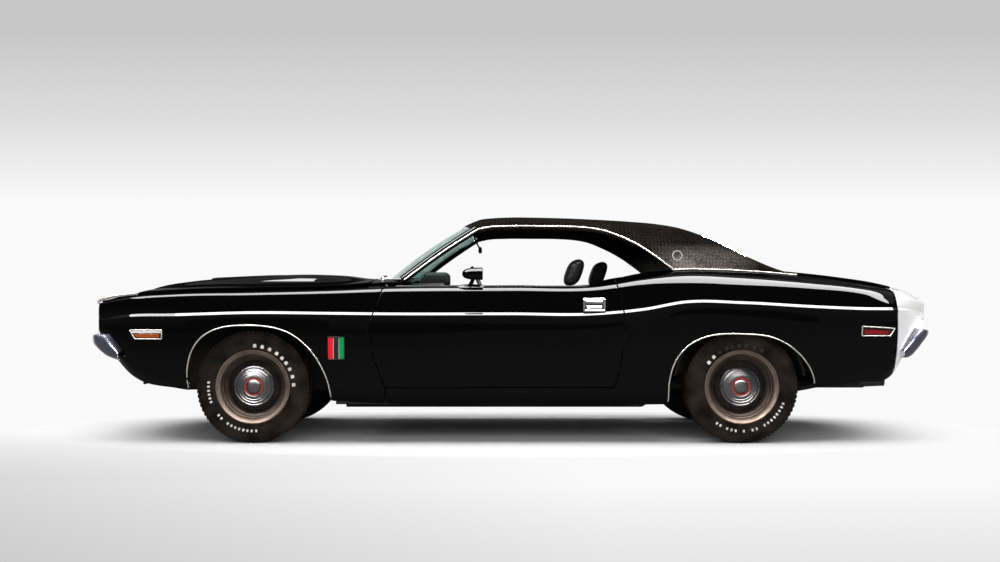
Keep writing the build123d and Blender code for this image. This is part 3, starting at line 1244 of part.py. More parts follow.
with BuildPart() as steering_wheel:
    with BuildSketch(column_plane * Plane.XZ):
        with Locations((STEERING_RADIUS - GRIP_RADIUS, 0)):
            Circle(GRIP_RADIUS)
    revolve(axis=Axis(column_plane.origin, column_plane.z_dir))
    with BuildSketch(column_plane.offset(-BOSS_DEPTH)):
        Circle(BOSS_RADIUS)
    extrude(amount=BOSS_DEPTH)
    with BuildSketch(column_plane.offset(-SPOKE_THICKNESS)):
        Rectangle(2 * (STEERING_RADIUS - GRIP_RADIUS), SPOKE_WIDTH)
    extrude(amount=SPOKE_THICKNESS)
    with BuildSketch(column_plane.offset(-BOSS_DEPTH)):
        Circle(STEERING_SHAFT_RADIUS + RUNNING_GAP)
    extrude(amount=SHAFT_STUB + SPINDLE_END_GAP, mode=Mode.SUBTRACT)
write(steering_wheel.part, "steering_wheel")
with BuildPart() as steering_column:
    with BuildSketch(column_plane.offset(-BOSS_DEPTH - SPINDLE_END_GAP)):
        Circle(COLUMN_RADIUS)
    extrude(amount=-COLUMN_LENGTH)
    with BuildSketch(column_plane.offset(-BOSS_DEPTH - SPINDLE_END_GAP * 2)):
        Circle(STEERING_SHAFT_RADIUS)
    extrude(amount=SHAFT_STUB + SPINDLE_END_GAP)
write(steering_column.part, "steering_column")
with BuildPart() as dashboard:
    with BuildSketch(Plane.XZ.offset(-DASH_HALF_WIDTH)):
        with BuildLine():
            Polyline(
                (FIREWALL_X + SEAT_GAP, DASH_TOP_Z - OVERRUN / 2),
                (COWL_REAR_SHARE * LENGTH + PANEL_GAP, DASH_TOP_Z - OVERRUN / 2),
                (COWL_REAR_SHARE * LENGTH + PANEL_GAP, DASH_TOP_Z),
                (DASH_REAR_X, DASH_TOP_Z),
                (DASH_REAR_X + OVERRUN / 2, DASH_TOP_Z - OVERRUN / 2),
                (DASH_REAR_X, DASH_BOTTOM_Z),
                (DASH_REAR_X - 2 * OVERRUN, DASH_BOTTOM_Z),
                (FIREWALL_X + SEAT_GAP, DASH_TOP_Z - 2 * OVERRUN),
                close=True,
            )
        make_face()
    extrude(amount=2 * DASH_HALF_WIDTH)
    with BuildSketch(column_plane.offset(-BOSS_DEPTH)):
        Circle(COLUMN_RADIUS + SEAT_GAP)
    extrude(amount=-2 * COLUMN_LENGTH, mode=Mode.SUBTRACT)
write(dashboard.part, "dashboard")

# Bumpers: curved chrome bars wrapped round the corners, with their brackets
BUMPER_WALL = 24.0
BRACKET_Y = 580.0
BRACKET_HALF_WIDTH = 22.0
BRACKET_LOW = 545.0
BRACKET_HIGH = 600.0
BRACKET_REACH = 41.8
BUMPER_GAP = 3.0
bumper_clear = body_loft(-BUMPER_GAP, 0, OVERRUN, OVERRUN)
# Bumper plan: distance in from the end and the half-width, each a share of the half-width.
bumper_plan_shares = [(0.034, 0.879), (0.093, 0.936), (0.208, 0.957)]
BUMPER_REAR_ROOT_X = 2341.5
bumper_ends = {
    "front_bumper": (NOSE_X, -1, APRON_FRONT_X - APRON_THICKNESS - SEAT_GAP),
    "rear_bumper": (TAIL_X, 1, BUMPER_REAR_ROOT_X),
}
# Bumper side profile: distance from the middle as a share of the half-length, height as a share of the height.
bumper_profile_shares = {
    "front_bumper": [(1.0, 0.465), (0.978, 0.466), (0.951, 0.464), (0.917, 0.390), (0.917, 0.364)],
    "rear_bumper": [(1.0, 0.480), (0.966, 0.481), (0.926, 0.391), (0.917, 0.372), (0.935, 0.369)],
}
bumper_profile_shares["front_bumper"] += [(0.921, 0.364), (0.947, 0.380), (0.976, 0.414), (1.0, 0.411)]
bumper_profile_shares["rear_bumper"] += [(0.952, 0.374), (0.986, 0.438), (1.0, 0.428)]
for name, (end_x, direction, root_x) in bumper_ends.items():
    profile = [(x * end_x, z * HEIGHT) for x, z in bumper_profile_shares[name]]
    outer = [(end_x - direction * x * HALF_WIDTH, y * HALF_WIDTH) for x, y in bumper_plan_shares]
    inner = [(x - direction * BUMPER_WALL, y - BUMPER_WALL) for x, y in outer[:2]]
    inner.append((outer[2][0], outer[2][1] - BUMPER_WALL))
    with BuildPart() as bumper:
        with BuildSketch(Plane.XY):
            with BuildLine():
                ThreePointArc((outer[0][0], -outer[0][1]), (end_x, 0), outer[0])
                ThreePointArc((inner[0][0], -inner[0][1]), (end_x - direction * BUMPER_WALL, 0), inner[0])
                for side in (-1, 1):
                    Polyline(*[(x, side * y) for x, y in outer + inner[::-1]])
            make_face()
        extrude(amount=HEIGHT)
        with BuildSketch(Plane.XZ.offset(-HALF_WIDTH)):
            with BuildLine():
                Polyline(*profile, close=True)
            make_face()
        extrude(amount=WIDTH, mode=Mode.INTERSECT)
        add(bumper_clear, mode=Mode.SUBTRACT)
        with Locations((direction * BUMPER_GAP, 0, 0), (direction * BUMPER_GAP, 0, -2 * BUMPER_GAP)):
            add(body_block, mode=Mode.SUBTRACT)
    write(bumper.part, name)
with BuildPart() as brackets:
    for end_x, direction, root_x in bumper_ends.values():
        face_x = end_x - direction * BRACKET_REACH
        box_pair(
            (min(face_x, root_x), BRACKET_Y - BRACKET_HALF_WIDTH, BRACKET_LOW),
            (max(face_x, root_x), BRACKET_Y + BRACKET_HALF_WIDTH, BRACKET_HIGH),
        )
write(brackets.part, "bumper_brackets")

# Valances under the bumpers
VALANCE_THICKNESS = 10.0
VALANCE_HALF_WIDTH = 780.0
valance_points = {
    "front_valance": [
        (-2284.0, 494.0),
        (-2215.0, 436.0),
        (-2159.0, 369.0),
        (APRON_FRONT_X - APRON_THICKNESS - SEAT_GAP, 360.0),
    ],
    "rear_valance": [(2350.0, 612.0), (2264.0, 497.0), (2213.0, 408.0), (2160.0, 380.0)],
}
for name, points in valance_points.items():
    with BuildPart() as valance:
        with BuildSketch(Plane.XZ.offset(-VALANCE_HALF_WIDTH)):
            with BuildLine():
                Polyline(*points, *[(x, z + VALANCE_THICKNESS) for x, z in reversed(points)], close=True)
            make_face()
        extrude(amount=2 * VALANCE_HALF_WIDTH)
    write(valance.part, name)

# Mirror and handles on the doors, package shelf behind the rear seat
MIRROR_X = -218.0
MIRROR_Z = 968.0
MIRROR_Y = 908.0
MIRROR_HALF_LENGTH = 60.0
MIRROR_RADIUS = 35.0
MIRROR_HALF_WIDTH = 46.0
STEM_RADIUS = 9.0
STEM_BOTTOM_Z = 860.0
HANDLE_X = 472.0
HANDLE_Z = 790.0
HANDLE_HALF_LENGTH = 59.0
HANDLE_HALF_HEIGHT = 13.0
HANDLE_OUTER_Y = 958.0
with BuildPart() as mirror_piece:
    with BuildSketch(Plane.YZ.offset(MIRROR_X - MIRROR_HALF_LENGTH)):
        with Locations((-MIRROR_Y, MIRROR_Z)):
            Ellipse(MIRROR_HALF_WIDTH * 0.5, MIRROR_RADIUS * 0.5)
    with BuildSketch(Plane.YZ.offset(MIRROR_X)):
        with Locations((-MIRROR_Y, MIRROR_Z)):
            Ellipse(MIRROR_HALF_WIDTH * 0.92, MIRROR_RADIUS * 0.92)
    with BuildSketch(Plane.YZ.offset(MIRROR_X + MIRROR_HALF_LENGTH)):
        with Locations((-MIRROR_Y, MIRROR_Z)):
            Ellipse(MIRROR_HALF_WIDTH, MIRROR_RADIUS)
    loft()
    with Locations((MIRROR_X, -MIRROR_Y + MIRROR_RADIUS, (STEM_BOTTOM_Z + MIRROR_Z) / 2)):
        Cylinder(STEM_RADIUS, MIRROR_Z - STEM_BOTTOM_Z)
    add(body_clear, mode=Mode.SUBTRACT)
write(mirror_piece.part, "door_mirror")
with BuildPart() as handle:
    box_between(
        (HANDLE_X - HANDLE_HALF_LENGTH, -HANDLE_OUTER_Y, HANDLE_Z - HANDLE_HALF_HEIGHT),
        (HANDLE_X + HANDLE_HALF_LENGTH, -HANDLE_OUTER_Y + 2 * OVERRUN, HANDLE_Z + HANDLE_HALF_HEIGHT),
    )
    add(body_clear, mode=Mode.SUBTRACT)
write_pair(handle.part, "door_handle")

# Grille behind the nose opening, with round pockets for four lamps
GRILLE_X = -2290.0
GRILLE_THICKNESS = 14.0
GRILLE_LOW = 636.0
GRILLE_HIGH = 778.0
GRILLE_HALF_WIDTH = 790.0
LAMP_RADIUS = 66.0
GRILLE_ARM_Y = 390.0
HEADLAMP_YS = (500.0, 690.0)
HEADLAMP_DEPTH = 60.0
LAMP_Z = 708.0
with BuildPart() as grille:
    box_between((GRILLE_X, -GRILLE_HALF_WIDTH, GRILLE_LOW), (GRILLE_X + GRILLE_THICKNESS, GRILLE_HALF_WIDTH, GRILLE_HIGH))
    box_pair(
        (GRILLE_X, GRILLE_ARM_Y, GRILLE_LOW + GRILLE_THICKNESS),
        (APRON_FRONT_X - APRON_THICKNESS - SEAT_GAP, GRILLE_ARM_Y + GRILLE_THICKNESS, GRILLE_HIGH - GRILLE_THICKNESS),
    )
    with BuildSketch(Plane.YZ.offset(GRILLE_X - GRILLE_THICKNESS)):
        with Locations(*[(side * y, LAMP_Z) for side in (-1, 1) for y in HEADLAMP_YS]):
            Circle(LAMP_RADIUS + SEAT_GAP)
    extrude(amount=4 * GRILLE_THICKNESS, mode=Mode.SUBTRACT)
write(grille.part, "grille")
with BuildPart() as headlamps:
    with BuildSketch(Plane.YZ.offset(GRILLE_X - GRILLE_THICKNESS)):
        with Locations(*[(side * y, LAMP_Z) for side in (-1, 1) for y in HEADLAMP_YS]):
            Circle(LAMP_RADIUS)
    extrude(amount=HEADLAMP_DEPTH)
write(headlamps.part, "headlamps")

# Package shelf behind the rear seat, with arms that seat the deck lid and its filler
SHELF_FRONT_X = 1290.0
SHELF_REAR_X = 1662.0
SHELF_ARM_Y = 560.0
PACKAGE_SHELF_Z = 884.0
SHELF_HALF_WIDTH = TRIM_Y - SEAT_GAP
with BuildPart() as package_shelf:
    box_between(
        (SHELF_FRONT_X, -SHELF_HALF_WIDTH, PACKAGE_SHELF_Z),
        (TRIM_REAR_X, SHELF_HALF_WIDTH, PACKAGE_SHELF_Z + FLOOR_THICKNESS),
    )
    add(
        seats_under(
            [((TRIM_REAR_X - OVERRUN, SHELF_ARM_Y, PACKAGE_SHELF_Z), (SHELF_REAR_X, SHELF_ARM_Y + OVERRUN / 2, HEIGHT))]
        )
    )
write(package_shelf.part, "package_shelf")
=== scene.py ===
"""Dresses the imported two-door hardtop in gloss black, chrome and grained vinyl for a studio side view."""

import json
import logging
import math
from dataclasses import dataclass, field
from enum import Enum
from typing import Callable, Optional, Sequence

import bpy
import numpy as np
from mathutils import Matrix, Vector


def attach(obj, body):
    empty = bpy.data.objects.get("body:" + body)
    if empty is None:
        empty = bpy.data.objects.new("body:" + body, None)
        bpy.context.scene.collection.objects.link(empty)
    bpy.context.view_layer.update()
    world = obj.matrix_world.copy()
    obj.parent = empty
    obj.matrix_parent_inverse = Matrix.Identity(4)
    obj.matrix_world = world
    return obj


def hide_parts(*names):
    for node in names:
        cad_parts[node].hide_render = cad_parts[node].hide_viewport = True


LOG = logging.getLogger("hardtop")
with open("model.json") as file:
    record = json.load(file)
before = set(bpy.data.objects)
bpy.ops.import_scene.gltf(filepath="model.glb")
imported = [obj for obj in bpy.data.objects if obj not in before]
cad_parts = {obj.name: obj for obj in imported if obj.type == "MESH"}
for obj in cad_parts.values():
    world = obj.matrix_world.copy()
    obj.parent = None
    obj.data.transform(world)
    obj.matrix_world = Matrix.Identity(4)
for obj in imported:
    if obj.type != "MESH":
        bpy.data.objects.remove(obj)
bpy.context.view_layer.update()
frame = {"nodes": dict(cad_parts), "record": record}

Points = np.ndarray
Piece = bpy.types.Object
Material = bpy.types.Material
Triple = tuple[float, float, float]
Colour = Triple
Line = Sequence[tuple[float, float]]

HALF_WIDTH = 0.967
HEIGHT = 1.332
LENGTH = 4.859
NOSE_X = -LENGTH / 2
TAIL_X = LENGTH / 2
FRONT_AXLE_X = NOSE_X + 0.955
REAR_AXLE_X = FRONT_AXLE_X + 2.794
TYRE_RADIUS = 0.322
FRONT_TRACK = 1.516
REAR_TRACK = 1.542


def table(*rows: tuple, scale: object = 1.0) -> Points:
    """A dataclass field that holds a table of numbers."""
    return field(default_factory=lambda: np.array(rows) * scale)


class Side(Enum):
    """Which side of the car a piece is on, as the sign of its Y."""

    LEFT = -1
    RIGHT = 1


class Value:
    """Wraps a shader socket, so that shader maths reads as an expression."""

    def __init__(self, shader: "Shader", socket: bpy.types.NodeSocket) -> None:
        """Keeps the socket and the shader that it belongs to."""
        self.shader = shader
        self.socket = socket

    def _maths(self, operation: str, *terms: "Value | float") -> "Value":
        """Adds one Math node on this shader."""
        return self.shader.node("ShaderNodeMath", {"operation": operation}, dict(enumerate(terms)))

    def __add__(self, other: "Value | float") -> "Value":
        """Adds."""
        return self._maths("ADD", self, other)

    def __sub__(self, other: "Value | float") -> "Value":
        """Subtracts."""
        return self._maths("SUBTRACT", self, other)

    def __rsub__(self, other: float) -> "Value":
        """Subtracts from a number."""
        return self._maths("SUBTRACT", other, self)

    def __mul__(self, other: "Value | float") -> "Value":
        """Multiplies."""
        return self._maths("MULTIPLY", self, other)

    __radd__ = __add__
    __rmul__ = __mul__

    def clamp(self, low: float, high: float) -> "Value":
        """Maps low to 0 and high to 1, and holds what lies outside."""
        return self.shader.node("ShaderNodeMapRange", {}, {"Value": self, "From Min": low, "From Max": high})


class Shader:
    """Builds one procedural material."""

    def __init__(self, name: str) -> None:
        """Starts an empty node material.

        Args:
            name: the material's name.
        """
        self.material = bpy.data.materials.new(name)
        self.material.use_nodes = True
        self.tree = self.material.node_tree
        self.tree.nodes.clear()
        self.place = self.node("ShaderNodeTexCoord", {}, {}, "Object")

    def node(self, kind: str, settings: dict, inputs: dict, output: "str | int" = 0) -> Value:
        """Adds one node.

        Args:
            kind: the node's type.
            settings: the node's own settings, set before its sockets.
            inputs: values or links, by socket name or number.
            output: which output socket to return.

        Returns:
            The chosen output.
        """
        made = self.tree.nodes.new(kind)
        for key, setting in settings.items():
            if key == "stops":
                ramp = made.color_ramp
                for number, (place, colour) in enumerate(setting):
                    stop = ramp.elements[number] if number < 2 else ramp.elements.new(place)
                    stop.position = place
                    stop.color = (*colour, 1.0)
            else:
                setattr(made, key, setting)
        for key, given in inputs.items():
            socket = made.inputs[key]
            if isinstance(given, Value):
                self.tree.links.new(given.socket, socket)
            elif isinstance(given, tuple) and len(given) == 3 and socket.type == "RGBA":
                socket.default_value = (*given, 1.0)
            else:
                socket.default_value = given
        return Value(self, made.outputs[output])

    def noise(self, scale: float, detail: float = 3.0, stretch: Triple = (1.0, 1.0, 1.0)) -> Value:
        """A noise pattern in object space, at a scale per metre."""
        inputs = {"Vector": self.stretched(stretch), "Scale": scale, "Detail": detail}
        return self.node("ShaderNodeTexNoise", {}, inputs)

    def stretched(self, stretch: Triple) -> Value:
        """Object coordinates scaled by axis."""
        if stretch == (1.0, 1.0, 1.0):
            return self.place
        return self.node("ShaderNodeMapping", {}, {"Vector": self.place, "Scale": stretch})

    def axis(self, letter: str) -> Value:
        """One object coordinate, in metres."""
        return self.node("ShaderNodeSeparateXYZ", {}, {0: self.place}, letter)

    def off_middle(self) -> Value:
        """The distance from the car's middle plane, in metres."""
        return self.node("ShaderNodeMath", {"operation": "ABSOLUTE"}, {0: self.axis("Y")})

    def mix(self, factor: "Value | float", first: "Value | Colour", second: "Value | Colour") -> Value:
        """Mixes two colours."""
        return self.node("ShaderNodeMix", {"data_type": "RGBA"}, {0: factor, 6: first, 7: second}, 2)

    def bump(self, height: Value, distance: float, strength: float = 1.0) -> Value:
        """Turns a height pattern into a normal."""
        return self.node("ShaderNodeBump", {}, {"Height": height, "Distance": distance, "Strength": strength}, "Normal")

    def principled(self, inputs: dict) -> Value:
        """Adds the surface shader."""
        return self.node("ShaderNodeBsdfPrincipled", {}, inputs, "BSDF")

    def surface(self, inputs: dict) -> Material:
        """Ends the material with one surface shader."""
        return self.finish(self.principled(inputs))

    def finish(self, surface: Value) -> Material:
        """Links the surface to the output and returns the material."""
        end = self.tree.nodes.new("ShaderNodeOutputMaterial")
        self.tree.links.new(surface.socket, end.inputs["Surface"])
        return self.material


@dataclass(frozen=True)
class GlossPaint:
    """Old gloss paint: clear-coated, with faint dust low down and fine specks."""

    name: str = "gloss_black_paint"
    colour: Colour = (0.0010, 0.0010, 0.0011)
    dust: Colour = (0.10, 0.085, 0.07)
    roughness: float = 0.30
    dust_share: float = 0.015
    coat: float = 0.12

    def material(self) -> Material:
        """Builds the paint."""
        shader = Shader(self.name)
        cloud = shader.noise(3.5, 4.0).clamp(0.42, 0.75)
        low = 1 - shader.axis("Z").clamp(0.20, 0.62)
        dirt = cloud * low * self.dust_share
        specks = shader.noise(95.0, 2.0).clamp(0.735, 0.775) * 0.25
        colour = shader.mix(dirt + specks * 0.4, self.colour, self.dust)
        ripple = shader.noise(7.0, 1.0)
        return shader.surface({
            "Base Color": colour,
            "Roughness": dirt * 1.5 + self.roughness,
            "Coat Weight": self.coat - dirt * 2,
            "Coat Roughness": 0.03,
            "Coat IOR": 1.5,
            "Specular IOR Level": 0.0,
            "Normal": shader.bump(ripple, 0.0004, 0.5),
        })


@dataclass(frozen=True)
class VinylRoofCover:
    """Dark brown-black roof vinyl with a reptile grain in rows, and a painted highlight: a pale sheen painted low on
    the rear pillars' outer sides.
    """

    name: str = "grained_roof_vinyl"
    colour: Colour = (0.0026, 0.0022, 0.0019)
    worn: Colour = (0.060, 0.048, 0.040)
    # The colour of the painted highlight on the rear pillars.
    sheen: Colour = (0.44, 0.38, 0.35)
    scale: float = 50.0

    def material(self) -> Material:
        """Builds the vinyl."""
        shader = Shader(self.name)
        scales = shader.node(
            "ShaderNodeTexVoronoi",
            {"feature": "DISTANCE_TO_EDGE"},
            {"Vector": shader.stretched((1.0, 1.25, 1.0)), "Scale": self.scale, "Randomness": 0.55},
            "Distance",
        )
        plates = scales.clamp(0.0, 0.16)
        ribs = shader.node(
            "ShaderNodeTexWave",
            {"bands_direction": "X"},
            {"Vector": shader.place, "Scale": 14.0, "Distortion": 1.2, "Detail": 2.0, "Detail Scale": 3.0},
            "Fac",
        )
        worn = shader.noise(4.0, 5.0).clamp(0.35, 0.8)
        tone = plates * (worn * 0.55 + 0.25) + ribs * plates * 0.2
        # Painted highlight: this mask lightens the vinyl towards the sheen colour low on the rear pillars' outer sides,
        # from their front back to about x 1.45, through the grain.
        low = (1 - shader.axis("Z").clamp(1.03, 1.15)) * shader.axis("X").clamp(0.80, 0.98)
        beside = shader.off_middle()
        sheen = low * (1 - shader.axis("X").clamp(1.05, 1.45)) * beside.clamp(0.55, 0.68)
        return shader.surface({
            "Base Color": shader.mix(
                sheen * (plates * 0.7 + 0.3) * (worn * 0.5 + 0.5),
                shader.mix(tone * 0.6, self.colour, self.worn), self.sheen
            ),
            "Roughness": 0.66 - plates * 0.10,
            "Specular IOR Level": 0.0,
            "Normal": shader.bump(plates * 0.8 + ribs * 0.35, 0.0016, 0.9),
        })


@dataclass(frozen=True)
class BrightMetal:
    """Chrome plate or bright trim, a little dusty and pitted."""

    name: str = "chrome"
    colour: Colour = (0.78, 0.78, 0.80)
    roughness: float = 0.07
    pitting: float = 0.25

    def material(self) -> Material:
        """Builds the metal."""
        shader = Shader(self.name)
        haze = shader.noise(18.0, 5.0).clamp(0.45, 0.8)
        pits = shader.noise(420.0, 2.0).clamp(0.68, 0.78) * self.pitting
        return shader.surface({
            "Base Color": shader.mix(pits, self.colour, (0.20, 0.16, 0.12)),
            "Metallic": 1.0,
            "Roughness": haze * 0.12 + pits * 0.4 + self.roughness,
        })


@dataclass(frozen=True)
class EndShadedMetal:
    """Bumper plating, bright across the car, with painted shade on its ends, which turn a dull blue-grey."""

    name: str = "bumper_plate"
    bright: Colour = (0.62, 0.62, 0.65)
    # The dark blue-grey painted on the bumper's ends as shade.
    end: Colour = (0.050, 0.050, 0.072)
    end_from: float = 0.855
    end_full: float = 0.895

    def material(self) -> Material:
        """Builds the plating."""
        shader = Shader(self.name)
        haze = shader.noise(16.0, 5.0).clamp(0.4, 0.8)
        beside = shader.off_middle()
        # Painted shade: beyond these half-widths the plating darkens to the end colour and turns duller.
        end = beside.clamp(self.end_from, self.end_full)
        pits = shader.noise(380.0, 2.0).clamp(0.62, 0.78) * 0.3
        tone = shader.mix(end, self.bright, self.end)
        return shader.surface({
            "Base Color": shader.mix(pits, tone, (0.16, 0.14, 0.13)),
            "Metallic": 1 - end * 0.35,
            "Roughness": haze * 0.14 + end * 0.22 + 0.09,
        })


@dataclass(frozen=True)
class DullSurface:
    """Satin or matt paint, iron, plastic or rubber, with soft variation and a fine grain."""

    name: str
    colour: Colour
    second: Colour
    roughness: float = 0.6
    metallic: float = 0.0
    patch_scale: float = 6.0
    grain_scale: float = 260.0
    grain: float = 0.0004

    def material(self) -> Material:
        """Builds the surface."""
        shader = Shader(self.name)
        patches = shader.noise(self.patch_scale, 5.0).clamp(0.35, 0.7)
        grain = shader.noise(self.grain_scale, 2.0)
        return shader.surface({
            "Base Color": shader.mix(patches, self.colour, self.second),
            "Metallic": self.metallic,
            "Roughness": patches * 0.15 + self.roughness,
            "Specular IOR Level": 0.03,
            "Normal": shader.bump(grain, self.grain, 0.8),
        })


@dataclass(frozen=True)
class ClearGlass:
    """Thin tinted glass that light passes straight through."""

    name: str = "tinted_glass"
    tint: Colour = (0.66, 0.80, 0.76)
    opacity: float = 0.30

    def material(self) -> Material:
        """Builds the glass."""
        shader = Shader(self.name)
        through = shader.node("ShaderNodeBsdfTransparent", {}, {"Color": self.tint}, "BSDF")
        streaks = shader.noise(3.0, 4.0)
        sheen = shader.principled({"Base Color": (0.50, 0.62, 0.60), "Roughness": streaks * 0.06 + 0.02, "IOR": 1.5})
        facing = shader.node("ShaderNodeFresnel", {}, {"IOR": 1.45})
        mixed = shader.node(
            "ShaderNodeMixShader", {}, {0: facing * 0.75 + self.opacity * 0.35, 1: through, 2: sheen}, "Shader"
        )
        return shader.finish(mixed)


@dataclass(frozen=True)
class LampLens:
    """A moulded plastic lens with fine ribs."""

    name: str
    colour: Colour
    rib_scale: float = 60.0

    def material(self) -> Material:
        """Builds the lens."""
        shader = Shader(self.name)
        ribs = shader.node(
            "ShaderNodeTexWave",
            {"bands_direction": "Z"},
            {"Vector": shader.place, "Scale": self.rib_scale, "Distortion": 0.0},
            "Fac",
        )
        deep = (self.colour[0] * 0.35, self.colour[1] * 0.35, self.colour[2] * 0.35)
        return shader.surface({
            "Base Color": shader.mix(ribs * 0.6 + 0.2, deep, self.colour),
            "Roughness": ribs * 0.1 + 0.12,
            "Coat Weight": 0.2,
            "Specular IOR Level": 0.1,
            "Normal": shader.bump(ribs, 0.0008, 0.6),
        })


@dataclass(frozen=True)
class TyreRubber:
    """Old sidewall rubber, with patches of brown dust."""

    name: str = "tyre_rubber"
    colour: Colour = (0.009, 0.008, 0.007)
    dust: Colour = (0.040, 0.031, 0.025)

    def material(self) -> Material:
        """Builds the rubber."""
        shader = Shader(self.name)
        dust = shader.noise(9.0, 6.0).clamp(0.36, 0.72)
        fine = shader.noise(170.0, 3.0)
        return shader.surface({
            "Base Color": shader.mix(dust * 0.75, self.colour, self.dust),
            "Roughness": 0.86 - dust * 0.1,
            "Specular IOR Level": 0.0,
            "Normal": shader.bump(fine, 0.0005, 0.7),
        })


class Finishes:
    """All the materials, made once."""

    def __init__(self) -> None:
        """Builds every finish."""

        def dull(*looks: object) -> Material:
            """A dull surface's material."""
            return DullSurface(*looks).material()

        def bright(*looks: object) -> Material:
            """A bright metal's material."""
            return BrightMetal(*looks).material()

        self.paint = GlossPaint().material()
        self.crease_paint = GlossPaint("gloss_black_crease", coat=0.22, dust_share=0.0).material()
        self.vinyl = VinylRoofCover().material()
        self.chrome = BrightMetal().material()
        self.bumper = EndShadedMetal().material()
        self.exhaust_tip = bright("exhaust_tip", (0.030, 0.029, 0.028), 0.40, 0.3)
        # Painted reflection: worn bright mouldings given a pale matt colour that stands for what their chrome reflects.
        self.worn_trim = dull("worn_trim", (0.42, 0.40, 0.37), (0.24, 0.22, 0.20), 0.35, 0.25, 30.0)
        self.hub_cap = bright("hub_cap_plate", (0.075, 0.072, 0.072), 0.34, 0.3)
        self.dull_trim = bright("brushed_trim", (0.55, 0.55, 0.56), 0.28, 0.3)
        self.stripe = dull("white_stripe", (0.80, 0.80, 0.79), (0.70, 0.69, 0.67), 0.35)
        self.underside = dull("underbody_black", (0.012, 0.012, 0.012), (0.035, 0.030, 0.026), 0.75)
        self.chassis = dull("chassis_steel", (0.014, 0.013, 0.013), (0.030, 0.025, 0.021), 0.7, 0.2, 9.0)
        self.engine = dull("engine_iron", (0.016, 0.015, 0.015), (0.034, 0.028, 0.024), 0.6, 0.2, 12.0)
        self.exhaust = dull("exhaust_steel", (0.030, 0.027, 0.025), (0.016, 0.012, 0.010), 0.6, 0.3, 14.0)
        self.rim = dull("dusty_rim", (0.120, 0.088, 0.069), (0.070, 0.050, 0.040), 0.5, 0.2, 14.0)
        # Painted shade: the barrel is the flange's dusty steel painted darker, as it lies in shade inside the rim.
        self.barrel = dull("rim_barrel", (0.050, 0.036, 0.028), (0.024, 0.018, 0.014), 0.5, 0.2, 14.0)
        self.rim_black = dull("rim_black", (0.010, 0.009, 0.009), (0.024, 0.020, 0.018), 0.5)
        self.trim = dull("moulded_black", (0.014, 0.014, 0.015), (0.024, 0.023, 0.022), 0.5)
        self.seat = dull("seat_vinyl", (0.016, 0.016, 0.018), (0.032, 0.031, 0.032), 0.38, 0.0, 7.0, 520.0, 0.0006)
        self.white = dull("raised_white_rubber", (0.80, 0.78, 0.74), (0.55, 0.50, 0.44), 0.7, 0.0, 20.0)
        # Painted shade: a dark white for the raised blocks at the top of the rear tyres, under the arch.
        self.painted_shade_white = dull("scuffed_rubber", (0.040, 0.037, 0.034), (0.026, 0.023, 0.021), 0.8)
        self.red_ring = dull("red_ring", (0.50, 0.05, 0.03), (0.36, 0.04, 0.03), 0.4)
        self.badge_red = dull("badge_red", (0.85, 0.012, 0.030), (0.72, 0.012, 0.028), 0.3)
        self.badge_green = dull("badge_green", (0.004, 0.30, 0.085), (0.004, 0.25, 0.075), 0.3)
        self.glass = ClearGlass().material()
        self.red_lens = LampLens("red_lens", (0.30, 0.006, 0.012)).material()
        self.amber_lens = LampLens("amber_lens", (0.50, 0.105, 0.018)).material()
        self.clear_lens = LampLens("clear_lens", (0.72, 0.74, 0.76), 35.0).material()
        self.tyre = TyreRubber().material()


def link(name: str, mesh: bpy.types.Mesh, material: Material) -> Piece:
    """Puts a mesh in the scene.

    Args:
        name: the piece's name.
        mesh: its mesh, in place.
        material: its finish.

    Returns:
        The new object.
    """
    piece = bpy.data.objects.new(name, mesh)
    bpy.context.scene.collection.objects.link(piece)
    mesh.materials.clear()
    mesh.materials.append(material)
    return piece


def only(piece: Piece) -> None:
    """Selects one object alone and makes it active."""
    if bpy.context.object and bpy.context.object.mode != "OBJECT":
        bpy.ops.object.mode_set(mode="OBJECT")
    bpy.ops.object.select_all(action="DESELECT")
    piece.select_set(True)
    bpy.context.view_layer.objects.active = piece


def modify(piece: Piece, kind: str, **settings: object) -> None:
    """Adds one modifier and applies it.

    Args:
        piece: the object to change.
        kind: the modifier's type.
        settings: the modifier's own settings.
    """
    only(piece)
    made = piece.modifiers.new(kind.lower(), kind)
    for key, setting in settings.items():
        setattr(made, key, setting)
    bpy.ops.object.modifier_apply(modifier=made.name)


def smooth(piece: Piece, degrees: float = 32.0) -> None:
    """Shades a piece smooth, with creases sharper than an angle kept."""
    only(piece)
    bpy.ops.object.shade_smooth_by_angle(angle=math.radians(degrees))


def merge_points(piece: Piece, distance: float, outwards: bool = True) -> None:
    """Merges points nearer than a distance, and can point the faces outwards."""
    only(piece)
    bpy.ops.object.mode_set(mode="EDIT")
    bpy.ops.mesh.select_all(action="SELECT")
    bpy.ops.mesh.remove_doubles(threshold=distance)
    if outwards:
        bpy.ops.mesh.normals_make_consistent(inside=False)
    bpy.ops.object.mode_set(mode="OBJECT")


def grid_piece(name: str, patches: Sequence[Points], material: Material, flip: bool, weld: float = 0.00015) -> Piece:
    """Makes one surface from structured patches of points.

    Args:
        name: the piece's name.
        patches: arrays of rows by columns by 3, in metres.
        material: its finish.
        flip: whether the faces are turned over.
        weld: points nearer than this are merged.

    Returns:
        The open surface.
    """
    points: list[Points] = []
    faces: list[tuple[int, int, int, int]] = []
    start = 0
    for patch in patches:
        rows, columns = patch.shape[:2]
        points.append(patch.reshape(-1, 3))
        for row in range(rows - 1):
            for column in range(columns - 1):
                corner = start + row * columns + column
                face = (corner, corner + 1, corner + columns + 1, corner + columns)
                faces.append(face[::-1] if flip else face)
        start += rows * columns
    mesh = bpy.data.meshes.new(name)
    mesh.from_pydata(np.concatenate(points).tolist(), [], faces)
    piece = link(name, mesh, material)
    merge_points(piece, weld, outwards=False)
    return piece


